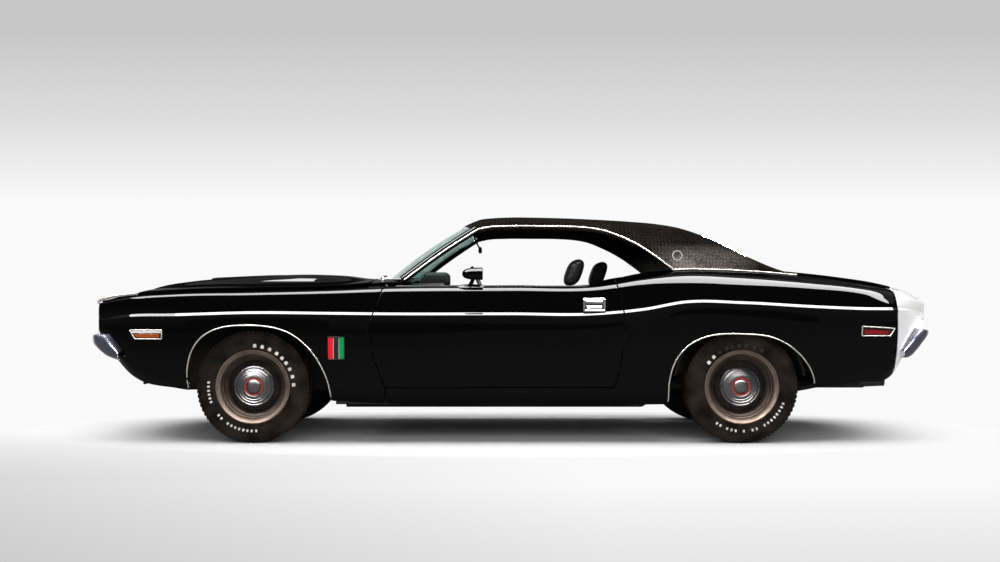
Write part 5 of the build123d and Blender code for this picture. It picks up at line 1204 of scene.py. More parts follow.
@dataclass
class TopPanels:
    """Hood with its bulge and scoops, nose, cowl, deck lid with its filler, and the tail panel."""

    finishes: Finishes
    half_width: float = 0.735
    hood_front: float = -2.1525
    hood_rear: float = -0.8235
    deck_half: float = 0.650
    scoop_front: float = -1.807
    scoop_length: float = 0.420
    scoop_y: float = 0.245
    scoop_half: float = 0.090
    scoop_rise: float = 0.009
    stripe_from: float = 2.2235
    hood_wall: float = 0.018
    lid_wall: float = 0.014
    thin_wall: float = 0.012
    rises: Points = table(
        (-2.16, 0.004), (-2.12, 0.009), (-1.934, 0.024), (-1.731, 0.030), (-1.427, 0.042), (-1.141, 0.040),
        (-0.991, 0.027), (-0.880, 0.006), (-0.83, 0.0), (-0.81, 0.0)
    )

    def build(self) -> None:
        """Builds the panels along the top of the body."""
        self.hood()
        self.nose()
        self.cowl()
        self.deck()
        self.tail()

    def _top(self, x: Points, half: float, count: int) -> Points:
        """A grid of the body's top between two half-widths."""
        widths = np.linspace(-half, half, count)
        rows = []
        for y in widths:
            places = FORM.places_at_width(x, abs(y))
            rows.append(FORM.at(x, places, Side.RIGHT if y > 0 else Side.LEFT))
        grid = np.stack(rows)
        grid[:, :, 1] = widths[:, None]
        return grid

    def hood(self) -> None:
        """The hood as one skin, raised over the engine and at two scoops."""
        x = np.linspace(self.hood_front, self.hood_rear, 150)
        grid = self._top(x, self.half_width, 99)
        across = np.abs(grid[:, :, 1])
        rise = read_rows(self.rises, x)[:, 0][None, :]
        half = np.interp(x, [-2.15, -1.93, -1.73, -1.43, -0.87], [0.37, 0.42, 0.44, 0.445, 0.43])[None, :]
        share = np.clip((half + 0.020 - across) / 0.065, 0, 1)
        grid[:, :, 2] += rise * eased_in(share)
        along = (grid[:, :, 0] - self.scoop_front) / self.scoop_length
        beside = np.abs(across - self.scoop_y) / self.scoop_half
        inside = np.clip((1.0 - beside) / 0.22, 0, 1)
        height = np.where(along >= 0, self.scoop_rise * np.clip(1 - along, 0, 1) ** 0.8, 0)
        grid[:, :, 2] += height * eased_in(inside)
        piece = grid_piece("hood_skin", [grid], self.finishes.paint, flip=True)
        walled(piece, self.hood_wall, 0.002)
        # Painted shade: each scoop's open mouth is a black block that stands for the dark inside of the opening.
        mouths = []
        for side in Side:
            mouth = block(
                f"scoop_mouth_{side.name.lower()}",
                (self.scoop_front - 0.003, side.value * self.scoop_y - self.scoop_half + 0.018, 0.931),
                (self.scoop_front + 0.010, side.value * self.scoop_y + self.scoop_half - 0.018, 0.940),
                self.finishes.rim_black,
                0.004,
            )
            mouths.append(mouth)
        seat_piece(joined("hood_skin", [piece, *mouths]), "hood", "body_paint", "hood")

    def nose(self) -> None:
        """The nose panel in front of the hood, rolled down to the grille."""
        x = np.linspace(-2.351, -2.1645, 24)
        grid = self._top(x, self.half_width, 61)
        front = grid[:, 0]
        rows = []
        for share in (0.15, 0.3, 0.5, 0.7, 0.85, 1.0):
            row = front.copy()
            row[:, 0] = front[:, 0] - 0.018 * math.sin(share * 2.6)
            row[:, 2] = front[:, 2] - 0.040 * share**1.5
            rows.append(row)
        lip = np.stack([*rows[::-1], front], 1)
        piece = grid_piece("nose_skin", [grid, lip], self.finishes.paint, flip=True)
        walled(piece, self.thin_wall, 0.002)
        seat_piece(piece, "body", "body_paint", "nose_panel")
        self._nose_moulding()

    def _nose_moulding(self) -> None:
        """A bright moulding round the nose's leading edge, its reflection painted as a pale matt grey."""
        corner = [(-2.135, 0.858, 0.856), (-2.230, 0.851, 0.845), (-2.300, 0.842, 0.834), (-2.345, 0.832, 0.820),
                  (-2.366, 0.812, 0.807), (-2.3730, 0.760, 0.8060)]
        ends = np.array([(x, -y, z) for x, y, z in corner])
        middle = np.array([(-2.3735, y, 0.8110 + 0.004 * (1 - (y / 0.7) ** 2)) for y in np.linspace(-0.70, 0.70, 21)])
        path = np.concatenate([ends, middle, ends[::-1] * [1, -1, 1]])
        fine = resampled(path, 140)
        bar = sweep("nose_moulding", fine, rounded_section(0.016, 0.016, 0.005), self.finishes.worn_trim, (0, 0, 1))
        seat_piece(bar, "body", "chrome")

    def cowl(self) -> None:
        """The cowl ahead of the windscreen and its louvres."""
        x = np.linspace(-0.8100, -0.573, 24)
        grid = self._top(x, self.half_width, 61)
        piece = grid_piece("cowl_skin", [grid], self.finishes.paint, flip=True)
        walled(piece, self.thin_wall, 0.0015)
        slots = []
        for number in range(-14, 15):
            y = number * 0.044
            z = 0.940 - 0.03 * abs(y) / 0.7
            slots.append(block(f"slot{number}", (-0.800, y - 0.015, z), (-0.772, y + 0.015, z + 0.0035),
                               self.finishes.trim, 0.0015))
        seat_piece(joined("cowl_skin", [piece, *slots]), "body", "body_paint", "cowl")

    def deck(self) -> None:
        """The deck lid with its rear lip, and the filler under the rear window."""
        filler = grid_piece("deck_filler_skin", [self._top(np.linspace(1.458, 1.6365, 16), self.deck_half, 49)],
                            self.finishes.paint, flip=True)
        walled(filler, self.thin_wall, 0.0015)
        seat_piece(filler, "body", "body_paint", "deck_filler")
        x = np.linspace(1.6485, 2.372, 60)
        grid = self._top(x, self.deck_half, 61)
        edge = grid[:, -1]
        rows = []
        for number in range(1, 9):
            turn = number / 8 * math.pi / 2
            row = edge.copy()
            row[:, 0] = edge[:, 0] + 0.013 * math.sin(turn)
            row[:, 2] = edge[:, 2] - 0.014 * (1 - math.cos(turn))
            rows.append(row)
        for drop in (0.25, 0.5, 0.75, 1.0):
            row = rows[7].copy()
            row[:, 2] = rows[7][:, 2] * (1 - drop) + 0.790 * drop
            rows.append(row)
        lip = np.stack([edge, *rows], 1)
        lid = grid_piece("deck_lid_skin", [grid, lip], self.finishes.paint, flip=True)
        walled(lid, self.lid_wall, 0.0015)
        lid.data.materials.append(self.finishes.stripe)
        for face in lid.data.polygons:
            face.material_index = int(face.center.x > self.stripe_from)
        seat_piece(lid, "deck_lid", "body_paint", "deck_lid")

    def tail(self) -> None:
        """The tail panel between the lid and the bumper, with full-width lamps."""
        face = block("tail_face", (2.362, -0.650, 0.622), (2.378, 0.650, 0.783), self.finishes.rim_black, 0.004)
        frame_path = np.array([(2.380, y, z) for y, z in self._round_rect(0.645, 0.632, 0.778, 0.022)])
        ring = sweep("lamp_surround", frame_path, rounded_section(0.010, 0.012, 0.003), self.finishes.chrome,
                     (1, 0, 0), closed=True)
        seat_piece(joined("tail_skin", [face, ring]), "body", "body_paint", "tail_panel")
        lamps = []
        for side in Side:
            for number in range(3):
                low = 0.126 + number * 0.172
                near, far = sorted((side.value * low, side.value * (low + 0.164)))
                lamps.append(self._lens(f"lamp{number}", near, far, self.finishes.red_lens))
        seat_piece(joined("tail_lamp_lenses", lamps), "body", "red_lens", "tail_lamps")
        middle = self._lens("reversing_lens", -0.112, 0.112, self.finishes.clear_lens)
        seat_piece(middle, "body", "lamp_glass", "reversing_lamp")

    @staticmethod
    def _lens(name: str, near: float, far: float, material: Material) -> Piece:
        """One lens on the tail panel between two half-widths."""
        return block(name, (2.376, near, 0.672), (2.3885, far, 0.757), material, 0.004)

    @staticmethod
    def _round_rect(half: float, low: float, high: float, radius: float, steps: int = 6) -> list[tuple[float, float]]:
        """An upright rounded rectangle as (y, z) points."""
        points = []
        for turn, (y, z) in enumerate(((1, 1), (-1, 1), (-1, -1), (1, -1))):
            centre = (y * (half - radius), (high - radius) if z > 0 else (low + radius))
            for step in range(steps + 1):
                angle = math.pi / 2 * (turn + step / steps)
                points.append((centre[0] + radius * math.cos(angle), centre[1] + radius * math.sin(angle)))
        return points


@dataclass
class Greenhouse:
    """The vinyl roof, its drip rails, the windscreen pillars and the glass."""

    finishes: Finishes
    power: float = 3.0
    plan_radius: float = 2.150
    header_x: float = -0.285
    rail_end_x: float = 0.941
    window_half: float = 0.462
    crown: Points = table(
        (-0.290, 1.268), (-0.238, 1.294), (-0.183, 1.316), (-0.092, 1.328), (-0.001, 1.332), (0.180, 1.331),
        (0.362, 1.326), (0.543, 1.318), (0.724, 1.307), (0.906, 1.290), (1.015, 1.271), (1.184, 1.213),
        (1.315, 1.148), (1.445, 1.078), (1.584, 1.008), (1.671, 0.974)
    )
    rail: Points = table(
        (-0.353, 1.132), (-0.267, 1.196), (-0.207, 1.228), (-0.137, 1.246), (-0.008, 1.254), (0.165, 1.254),
        (0.337, 1.252), (0.467, 1.243), (0.553, 1.226), (0.622, 1.200), (0.726, 1.149), (0.855, 1.062),
        (0.941, 0.997)
    )
    foot: Points = table(
        (-0.400, 0.800, 0.905), (0.0, 0.800, 0.905), (0.500, 0.785, 0.920), (0.750, 0.765, 0.962),
        (0.941, 0.752, 0.994), (1.200, 0.735, 0.996), (1.460, 0.712, 0.984), (1.671, 0.694, 0.966)
    )
    pillar_foot: Triple = (-0.612, -0.772, 0.936)

    def build(self) -> None:
        """Builds the roof and everything that holds glass."""
        self.roof()
        self.pillars()
        self.drip_rails()
        self.windscreen()
        self.rear_window()
        self.vinyl_moulding()

    def section(self, x: Points, y: Points) -> Points:
        """The roof's height at a station and half-width."""
        top = read_rows(self.crown, x)[..., 0]
        base = read_rows(self.foot, x)
        share = np.clip(1 - (np.abs(y) / base[:, 0]) ** self.power, 0, 1)
        return base[:, 1] + (top - base[:, 1]) * share ** (1 / self.power)

    def width(self, x: Points, z: Points) -> Points:
        """The roof's half-width at a station and height."""
        top = read_rows(self.crown, x)[..., 0]
        base = read_rows(self.foot, x)
        share = np.clip((z - base[:, 1]) / (top - base[:, 1]), 0, 1)
        return base[:, 0] * np.clip(1 - share**self.power, 0, 1) ** (1 / self.power)

    def rail_height(self, x: Points) -> Points:
        """The drip rail's height at a station, or the roof's foot behind it."""
        rail = read_rows(self.rail, np.clip(x, -0.353, self.rail_end_x))[:, 0]
        base = read_rows(self.foot, x)[:, 1]
        return np.where(x < self.rail_end_x, rail, base)

    def header(self, y: Points) -> Points:
        """The station of the roof's front edge at a half-width."""
        return self.header_x + self._sag(np.minimum(np.abs(y), 0.66))

    def _sag(self, y: Points) -> Points:
        """How far a line that is curved in plan lies behind its middle at a half-width."""
        return self.plan_radius - np.sqrt(self.plan_radius**2 - y**2)

    def _angles(self, stations: Points, z: Points) -> Points:
        """The angle round the section at which a station's roof has a height."""
        wide = self.width(stations, z)
        base = read_rows(self.foot, stations)[:, 0]
        return np.arcsin(np.clip(wide / base, 0, 1) ** (self.power / 2))

    def _point(self, x: Points, angle: Points) -> Points:
        """Roof points at stations and angles round the section, on the left side."""
        shape = x.shape
        top = read_rows(self.crown, x.ravel())[:, 0].reshape(shape)
        base = read_rows(self.foot, x.ravel()).reshape(*shape, 2)
        y = base[..., 0] * np.abs(np.sin(angle)) ** (2 / self.power)
        z = base[..., 1] + (top - base[..., 1]) * np.abs(np.cos(angle)) ** (2 / self.power)
        return np.stack([x, -y, z], -1)

    def roof(self) -> None:
        """The vinyl-covered roof: its top, its C-pillars and the panel under the rear window."""
        shares = np.linspace(0, 1, 34)
        main_end = 1.160
        columns = eased(110, 0.35)
        rows_x = np.zeros((34, 110))
        angles = np.zeros((34, 110))
        for number, share in enumerate(shares):
            start = self.header_x
            for _ in range(6):
                limit = self._angles(np.array([start]), self.rail_height(np.array([start])))[0]
                point = self._point(np.array([start]), np.array([limit * share]))[0]
                start = float(self.header(np.array([abs(point[1])]))[0])
            rows_x[number] = start + (main_end - start) * columns
            limits = self._angles(rows_x[number], self.rail_height(rows_x[number]))
            angles[number] = limits * share
        top = self._point(rows_x, angles)
        side_x = np.linspace(main_end, 1.670, 44)
        base = read_rows(self.foot, side_x)[:, 0]
        inner = np.arcsin((self.window_half / base) ** (self.power / 2))
        sail_angles = inner[None, :] + (math.pi / 2 - inner)[None, :] * np.linspace(0, 1, 20)[:, None]
        sail = self._point(np.broadcast_to(side_x, sail_angles.shape), sail_angles)
        low_x = np.linspace(1.505, 1.670, 14)
        low_base = read_rows(self.foot, low_x)[:, 0]
        low_inner = np.arcsin((self.window_half / low_base) ** (self.power / 2))
        low = self._point(np.broadcast_to(low_x, (14, 14)), np.linspace(0, 1, 14)[:, None] * low_inner[None, :])
        piece = grid_piece("roof_cover_left", [top, sail, low], self.finishes.vinyl, flip=True)
        other = mirrored(piece, "roof_cover_right")
        roof = joined("roof_cover", [piece, other])
        merge_points(roof, 0.0004, outwards=False)
        walled(roof, 0.022, 0.003)
        seat_piece(roof, "body", "vinyl_roof", "roof")

    def _pillar_path(self, offset: float) -> Points:
        """The drip rail's line down the windscreen pillar, from its foot to the roof's rail."""
        top_x = -0.190
        top = self._point(np.array([top_x]), self._angles(np.array([top_x]), self.rail_height(np.array([top_x]))))[0]
        foot = np.array(self.pillar_foot)
        share = np.linspace(0, 1, 24)[:, None]
        bow = np.sin(share * math.pi) * np.array([[0.0, 0.006, 0.010]])
        path = foot * (1 - share) + top * share + bow
        path[:, 0] += offset
        return path

    def pillars(self) -> None:
        """The painted windscreen pillars."""
        path = self._pillar_path(-0.012)
        path[:, 1] += 0.022
        post = sweep("pillar_left", path, rounded_section(0.034, 0.044, 0.010), self.finishes.paint, (0.45, 0, 1.0))
        seat_pair(post, "body_paint")

    def drip_rails(self) -> None:
        """Bright drip rails from the cowl over the doors to the C-pillar's foot, worn, with their reflection painted as
        a pale matt grey.
        """
        x = np.concatenate([np.linspace(-0.186, 0.60, 60), np.linspace(0.61, self.rail_end_x, 40)])
        roofline = self._point(x, self._angles(x, self.rail_height(x)))
        path = np.concatenate([self._pillar_path(0.0)[:-1], roofline])
        path[:, 1] -= 0.004
        shape = rounded_section(0.008, 0.009, 0.003)
        rail = sweep("drip_rail_left", path, shape, self.finishes.worn_trim, (0, -0.4, 1))
        seat_pair(rail, "chrome")

    def windscreen(self) -> None:
        """The curved windscreen in its bright surround."""
        across = np.linspace(-1, 1, 49)
        base_y, top_y = across * 0.742, across * 0.590
        base = np.stack([-0.742 + self._sag(base_y), base_y, 0.950 - 0.012 * across**2], 1)
        top = np.stack([-0.288 + self._sag(top_y), top_y, 1.270 - 0.040 * across**2], 1)
        share = np.linspace(0, 1, 28)[:, None, None]
        grid = base[None] * (1 - share) + top[None] * share
        bow = np.sin(share * math.pi) * 0.015
        grid[:, :, 0] -= bow[:, :, 0] * 0.55
        grid[:, :, 2] += bow[:, :, 0] * 0.8
        glass = grid_piece("windscreen_glass", [grid], self.finishes.glass, flip=True)
        walled(glass, 0.006)
        edge = np.concatenate([grid[0], grid[1:, -1], grid[-1, ::-1][1:], grid[1:-1, 0][::-1]])
        surround = sweep("screen_surround", edge, rounded_section(0.014, 0.010, 0.003), self.finishes.chrome,
                         (-0.55, 0, 0.8), closed=True)
        seat_piece(glass, "body", "glass", "windscreen")
        seat_piece(surround, "body", "chrome")

    def rear_window(self) -> None:
        """The rear window between the C-pillars."""
        x = np.linspace(1.152, 1.515, 26)
        rows = []
        for y in np.linspace(-self.window_half, self.window_half, 45):
            z = self.section(x, np.full(26, y)) - 0.007
            rows.append(np.stack([x, np.full(26, y), z], 1))
        grid = np.stack(rows)
        glass = grid_piece("rear_window_glass", [grid], self.finishes.glass, flip=True)
        walled(glass, 0.005)
        edge = np.concatenate([grid[:, 0], grid[-1, 1:], grid[::-1, -1][1:], grid[0, ::-1][1:-1]])
        edge[:, 2] += 0.004
        surround = sweep("rear_window_surround", edge, rounded_section(0.014, 0.010, 0.003), self.finishes.chrome,
                         (0.4, 0, 1), closed=True)
        seat_piece(glass, "body", "glass", "rear_window")
        seat_piece(surround, "body", "chrome")

    def vinyl_moulding(self) -> None:
        """The bright strip along the vinyl's lower edge."""
        x = np.linspace(self.rail_end_x, 1.668, 50)
        path = self._point(x, np.full(50, math.pi / 2))
        path[:, 1] -= 0.003
        path[:, 2] -= 0.001
        end_x, ys = np.full(20, 1.671), np.linspace(-0.68, 0, 20)
        path = np.concatenate([path, np.stack([end_x, ys, self.section(end_x, ys)], 1)])
        shape = rounded_section(0.008, 0.007, 0.002)
        strip = sweep("vinyl_strip_left", path, shape, self.finishes.worn_trim, (0, 0, 1))
        seat_pair(strip, "chrome")


@dataclass
class Wheels:
    """Tyres with raised white blocks, and dusty steel wheels with hub caps."""

    finishes: Finishes
    block_radius: float = 0.238
    small_radius: float = 0.252
    lug_count: int = 72
    lug_y: float = 0.0725
    lug_radius: float = 0.3165
    lug_size: Triple = (0.0175, 0.026, 0.0095)
    front_big: tuple[float, ...] = (3, 13.6, 24.5, 35.8, 45.7, 54.5, 64.5, 75.5, 87)
    front_small: tuple[float, ...] = (
        276, 270.5, 265, 260, 255, 250, 230, 224.6, 214, 208.5, 203, 197.5, 192, 186.5, 181, 175
    )
    rear_big: tuple[float, ...] = (306.6, 316.8, 327.4, 338.6, 346.3, 356, 5.7, 17.2, 28.2)
    rear_small: tuple[float, ...] = (
        112, 117, 122.5, 128, 133, 138.5, 144, 149.5, 160.8, 166.5, 178, 188.5, 194, 200, 209.6, 215
    )

    def build(self) -> None:
        """Builds one wheel of each kind and copies it to its other side."""
        for axle, x, track, big, small in (
            ("front", FRONT_AXLE_X, FRONT_TRACK, self.front_big, self.front_small),
            ("rear", REAR_AXLE_X, REAR_TRACK, self.rear_big, self.rear_small),
        ):
            centre = (x, -track / 2, TYRE_RADIUS)
            tyre = self._tyre(axle, centre, big, small)
            rim = self._rim(axle, centre)
            for piece, part in ((tyre, "tyre"), (rim, "wheel")):
                twin = mirrored(piece, piece.name.replace("left", "right"))
                slot = "tyre" if part == "tyre" else "wheel_steel"
                seat_piece(piece, f"{axle}_left_wheel", slot, f"{part}_{axle}_left")
                seat_piece(twin, f"{axle}_right_wheel", slot, f"{part}_{axle}_right")

    def _tyre(self, axle: str, centre: Triple, big: tuple[float, ...], small: tuple[float, ...]) -> Piece:
        """One tyre with its raised blocks.

        Args:
            axle: front or rear.
            centre: the wheel's centre.
            big: the large blocks' angles clockwise from the top.
            small: the small blocks' angles.

        Returns:
            The tyre as one object.
        """
        wall = [(0.206, 0.090), (0.212, 0.097), (0.217, 0.0955), (0.2185, 0.0975), (0.226, 0.1005), (0.2275, 0.0990),
                (0.238, 0.1030), (0.252, 0.1055), (0.268, 0.1058), (0.2695, 0.1048), (0.2820, 0.1035), (0.2955, 0.0985),
                (0.3060, 0.0915), (0.3130, 0.0845), (0.3180, 0.0775), (0.3205, 0.0700)]
        tread = []
        for groove in (0.046, 0.0155, -0.0155, -0.046):
            tread += [(0.3218, groove + 0.0045), (0.3150, groove + 0.0030), (0.3150, groove - 0.0030),
                      (0.3218, groove - 0.0045)]
        other = [(radius, -depth) for radius, depth in wall[::-1]]
        rubber = lathe("rubber", wall + tread + other + [wall[0]], centre, self.finishes.tyre, (0, -1, 0), 128)
        f = self.finishes
        # Painted shade: the rear tyre's big blocks from the third on sit at its top under the arch and take the dark
        # white.
        arch_shaded = big[2:] if axle == "rear" else ()
        blocks = [
            self._raised(centre, self.block_radius, 0.0245, angle, f.painted_shade_white if angle in arch_shaded else f.white)
            for angle in big
        ]
        blocks += [self._raised(centre, self.small_radius, 0.0165, angle, f.white) for angle in small]
        turns = [360 / self.lug_count * number for number in range(self.lug_count)]
        treads = [self._lug(centre, angle, side) for angle in turns for side in (-1, 1)]
        return joined(f"tyre_rubber_{axle}_left", [rubber, *blocks, *treads])

    def _raised(self, centre: Triple, radius: float, size: float, angle: float, finish: Material) -> Piece:
        """One raised block on the tyre's outer wall."""
        depth = 0.1032 if radius < 0.245 else 0.1054
        low = (centre[0] - size * 0.42, centre[1] - depth - 0.0012, centre[2] + radius - size / 2)
        high = (centre[0] + size * 0.42, centre[1] - depth + 0.004, centre[2] + radius + size / 2)
        piece = box([(a + b) / 2 for a, b in zip(low, high)], [b - a for a, b in zip(low, high)], finish)
        modify(piece, "BEVEL", width=size * 0.22, segments=1, affect="EDGES", limit_method="NONE")
        self._turn(piece, centre, -angle)
        return piece

    def _lug(self, centre: Triple, angle: float, side: int) -> Piece:
        """One tread lug at the tyre's shoulder."""
        middle = (centre[0], centre[1] + side * self.lug_y, centre[2] + self.lug_radius)
        piece = box(middle, self.lug_size, self.finishes.tyre)
        self._turn(piece, centre, angle + (1.2 if side > 0 else 0))
        return piece

    @staticmethod
    def _turn(piece: Piece, centre: Triple, degrees: float) -> None:
        """Turns a piece's mesh about the wheel's axis, anticlockwise as seen from the left side."""
        about = Vector(centre)
        turn = Matrix.Rotation(math.radians(-degrees), 4, "Y")
        piece.data.transform(Matrix.Translation(about) @ turn @ Matrix.Translation(-about))

    def _ring_of(
        self, centre: Triple, count: int, first: float, half: float, depths: tuple[float, float],
        radii: tuple[float, float], material: Material, edge: float,
    ) -> list[Piece]:
        """Small blocks spaced evenly round the wheel.

        Args:
            centre: the wheel's centre.
            count: how many there are.
            first: the first one's angle in degrees.
            half: half of a block's width.
            depths: how far out of the wheel's plane its faces lie, outer first.
            radii: its inner and outer radius.
            material: its finish.
            edge: the radius of its edges.

        Returns:
            The blocks.
        """
        pieces = []
        for number in range(count):
            low = (centre[0] - half, centre[1] - depths[0], centre[2] + radii[0])
            high = (centre[0] + half, centre[1] - depths[1], centre[2] + radii[1])
            pieces.append(block("ring_block", low, high, material, edge))
            self._turn(pieces[-1], centre, 360 / count * number + first)
        return pieces

    def _rim(self, axle: str, centre: Triple) -> Piece:
        """One steel wheel: flange, stepped barrel, black well, hub cap with its rings."""
        f = self.finishes
        flange = lathe(
            "flange",
            [(0.2085, 0.088), (0.2125, 0.0935), (0.2120, 0.0985), (0.2065, 0.0995), (0.2020, 0.0965), (0.1990, 0.0925),
             (0.1935, 0.0905), (0.1890, 0.0885), (0.1865, 0.0820), (0.1850, 0.0700), (0.1875, 0.0700),
             (0.1950, 0.0840), (0.2085, 0.088)],
            centre, f.rim, (0, -1, 0), 128,
        )
        # The barrel takes the darker steel: painted shade inside the rim.
        barrel = lathe(
            "barrel",
            [(0.1865, 0.0720), (0.1815, 0.0570), (0.1765, 0.0540), (0.1745, 0.0530), (0.1730, 0.0420), (0.1650, 0.0300),
             (0.1600, 0.0280), (0.1540, 0.0160), (0.1500, 0.0110), (0.1500, 0.0060), (0.1660, 0.0200), (0.1880, 0.0560),
             (0.1865, 0.0720)],
            centre, f.barrel, (0, -1, 0), 128,
        )
        well = lathe(
            "well",
            [(0.1840, 0.0500), (0.1700, 0.0200), (0.1580, 0.0060), (0.1500, 0.0100), (0.1380, 0.0240),
             (0.1200, 0.0290), (0.0300, 0.0290), (0.0300, 0.0180), (0.1200, 0.0180), (0.1500, 0.0020),
             (0.1700, -0.0030), (0.1850, -0.0100), (0.1900, -0.0850), (0.2050, -0.0950), (0.2080, -0.0900),
             (0.1960, -0.0800), (0.1900, 0.0000), (0.1900, 0.0480), (0.1840, 0.0500)],
            centre, f.rim_black, (0, -1, 0), 96,
        )
        cap = lathe(
            "cap",
            [(0.1150, 0.0290), (0.1175, 0.0400), (0.1165, 0.0475), (0.1120, 0.0515), (0.1060, 0.0525), (0.1020, 0.0500),
             (0.1000, 0.0510), (0.0960, 0.0555), (0.0900, 0.0575), (0.0880, 0.0560), (0.0760, 0.0615), (0.0740, 0.0603),
             (0.0640, 0.0655), (0.0560, 0.0670), (0.0540, 0.0655), (0.0000, 0.0655)],
            centre, f.hub_cap, (0, -1, 0), 96,
        )
        ring = lathe(
            "ring",
            [(0.0520, 0.0650), (0.0515, 0.0682), (0.0480, 0.0690), (0.0445, 0.0682), (0.0440, 0.0650),
             (0.0520, 0.0650)],
            centre, f.red_ring, (0, -1, 0), 64,
        )
        dome = lathe(
            "dome", [(0.0425, 0.0650), (0.0400, 0.0700), (0.0320, 0.0750), (0.0180, 0.0785), (0.0000, 0.0795)],
            centre, f.hub_cap, (0, -1, 0), 48,
        )
        notches = self._ring_of(centre, 6, 30, 0.0035, (0.0545, 0.0440), (0.1035, 0.1185), f.rim_black, 0.001)
        vents = self._ring_of(centre, 10, 0, 0.016, (0.0290, 0.0255), (0.1260, 0.1360), f.underside, 0.002)
        return joined(f"wheel_steel_{axle}_left", [flange, barrel, well, cap, ring, dome, *notches, *vents])


@dataclass
class Bumpers:
    """Wrap-round bumpers with their slanted ends, the valances and the exhaust tips."""

    finishes: Finishes
    skin: float = 0.006
    front_plan: Line = (
        (0.0, 0.0), (0.0040, 0.300), (0.0140, 0.560), (0.0300, 0.770), (0.0430, 0.845), (0.0600, 0.880),
        (0.0930, 0.906), (0.1350, 0.918), (0.2010, 0.925),
    )
    front_top: Line = ((0.0, 0.619), (0.040, 0.621), (0.120, 0.618), (0.146, 0.588), (0.2011, 0.519))
    front_low: Line = ((0.0, 0.548), (0.034, 0.560), (0.060, 0.549), (0.130, 0.506), (0.2011, 0.482))
    rear_top: Line = ((0.0, 0.638), (0.040, 0.645), (0.088, 0.650), (0.105, 0.642), (0.1325, 0.615), (0.2011, 0.530))
    rear_low: Line = (
        (0.0, 0.575), (0.040, 0.612), (0.055, 0.606), (0.080, 0.578), (0.150, 0.508), (0.175, 0.497), (0.2011, 0.497)
    )

    def build(self) -> None:
        """Builds both ends."""
        self._bar("front_bumper_bar", NOSE_X, 1, self.front_top, self.front_low, "front_bumper")
        self._bar("rear_bumper_bar", TAIL_X, -1, self.rear_top, self.rear_low, "rear_bumper")
        self.valances()
        self.exhaust_tips()

    def _bar(self, name: str, end: float, inward: int, tops: Line, lows: Line, node: str) -> None:
        """One bumper as a pressed bar.

        Args:
            name: the piece's name.
            end: the station of the bumper's foremost or rearmost point.
            inward: the sign of X towards the car's middle.
            tops: (distance in, height) of the top edge.
            lows: (distance in, height) of the lower edge.
            node: the CAD node that it stands for.
        """
        plan = np.array(self.front_plan)
        reach = np.concatenate([[0], np.cumsum(np.linalg.norm(np.diff(plan, axis=0), axis=1))])
        wanted = np.concatenate([np.linspace(0, reach[4], 30)[:-1], np.linspace(reach[4], reach[-1], 30)])
        half = curve_through(reach, plan, wanted)
        slope = np.gradient(half, axis=0)
        slope /= np.linalg.norm(slope, axis=1)[:, None]
        normal = np.stack([-slope[:, 1], slope[:, 0]], 1)
        top = np.interp(half[:, 0], *zip(*tops))
        low = np.interp(half[:, 0], *zip(*lows))
        rows = []
        for inset, height in (
            (0.046, 1.0), (0.024, 1.0), (0.010, 0.985), (0.003, 0.94), (0.0, 0.86), (0.0, 0.62), (0.002, 0.40),
            (0.008, 0.20), (0.018, 0.06), (0.030, 0.0), (0.044, 0.0),
        ):
            place = half - normal * inset
            rows.append(np.stack( [end + inward * place[:, 0], -place[:, 1], low + (top - low) * height], 1 ))
        left = np.stack(rows)
        right = left * np.array([1, -1, 1])
        whole = np.concatenate([right[:, ::-1], left[:, 1:]], 1)
        bar = grid_piece(name, [whole], self.finishes.bumper, flip=inward < 0)
        walled(bar, self.skin, 0.0012)
        bead_path = whole[2].copy()
        bead_path[:, 2] += 0.0006
        bead = sweep("bead", bead_path, rounded_section(0.008, 0.006, 0.0025), self.finishes.chrome, (0, 0, 1))
        ends = []
        for column, side in ((whole[:, -1], -1), (whole[:, 0], 1)):
            ends.append(sweep("end_bead", column[2:-1], rounded_section(0.006, 0.007, 0.0025), self.finishes.chrome,
                              (0, side, 0)))
        seat_piece(joined(name, [bar, bead, *ends]), "body", "chrome", node)

    def valances(self) -> None:
        """Painted valances under both bumpers, rounded at their ends."""
        for name, profile, node, inward in (
            ("front_valance_skin",
             [(-2.330, 0.560), (-2.284, 0.494), (-2.250, 0.462), (-2.215, 0.430), (-2.185, 0.392), (-2.159, 0.366),
              (-2.125, 0.352)], "front_valance", 1),
            ("rear_valance_skin",
             [(2.355, 0.618), (2.310, 0.560), (2.264, 0.497), (2.238, 0.448), (2.213, 0.408), (2.160, 0.384)],
             "rear_valance", -1),
        ):
            points = np.array(profile)
            fine = resampled(points, 24)
            across = np.linspace(-0.845, 0.845, 61)
            pull = 0.060 * np.clip((np.abs(across) - 0.62) / 0.22, 0, 1) ** 2
            grid = np.stack(
                [
                    fine[:, None, 0] + inward * pull[None, :],
                    np.broadcast_to(across, (24, 61)),
                    np.broadcast_to(fine[:, None, 1], (24, 61)),
                ],
                2,
            )
            skin = grid_piece(name, [grid], self.finishes.paint, flip=inward < 0)
            walled(skin, 0.006, 0.001)
            seat_piece(skin, "body", "body_paint", node)

    def exhaust_tips(self) -> None:
        """Bright tips on the two tail pipes."""
        tips = []
        for side in Side:
            tips.append(
                lathe(
                    "tip",
                    [(0.0310, 0.0), (0.0340, 0.004), (0.0345, 0.135), (0.0360, 0.150), (0.0350, 0.153), (0.0315, 0.150),
                     (0.0305, 0.020), (0.0310, 0.0)],
                    (2.095, side.value * 0.440, 0.330), self.finishes.exhaust_tip, (1, 0, 0.05), 48, (0, 1, 0),
                )
            )
        seat_piece(joined("exhaust_tips", tips), "body", "exhaust_steel")


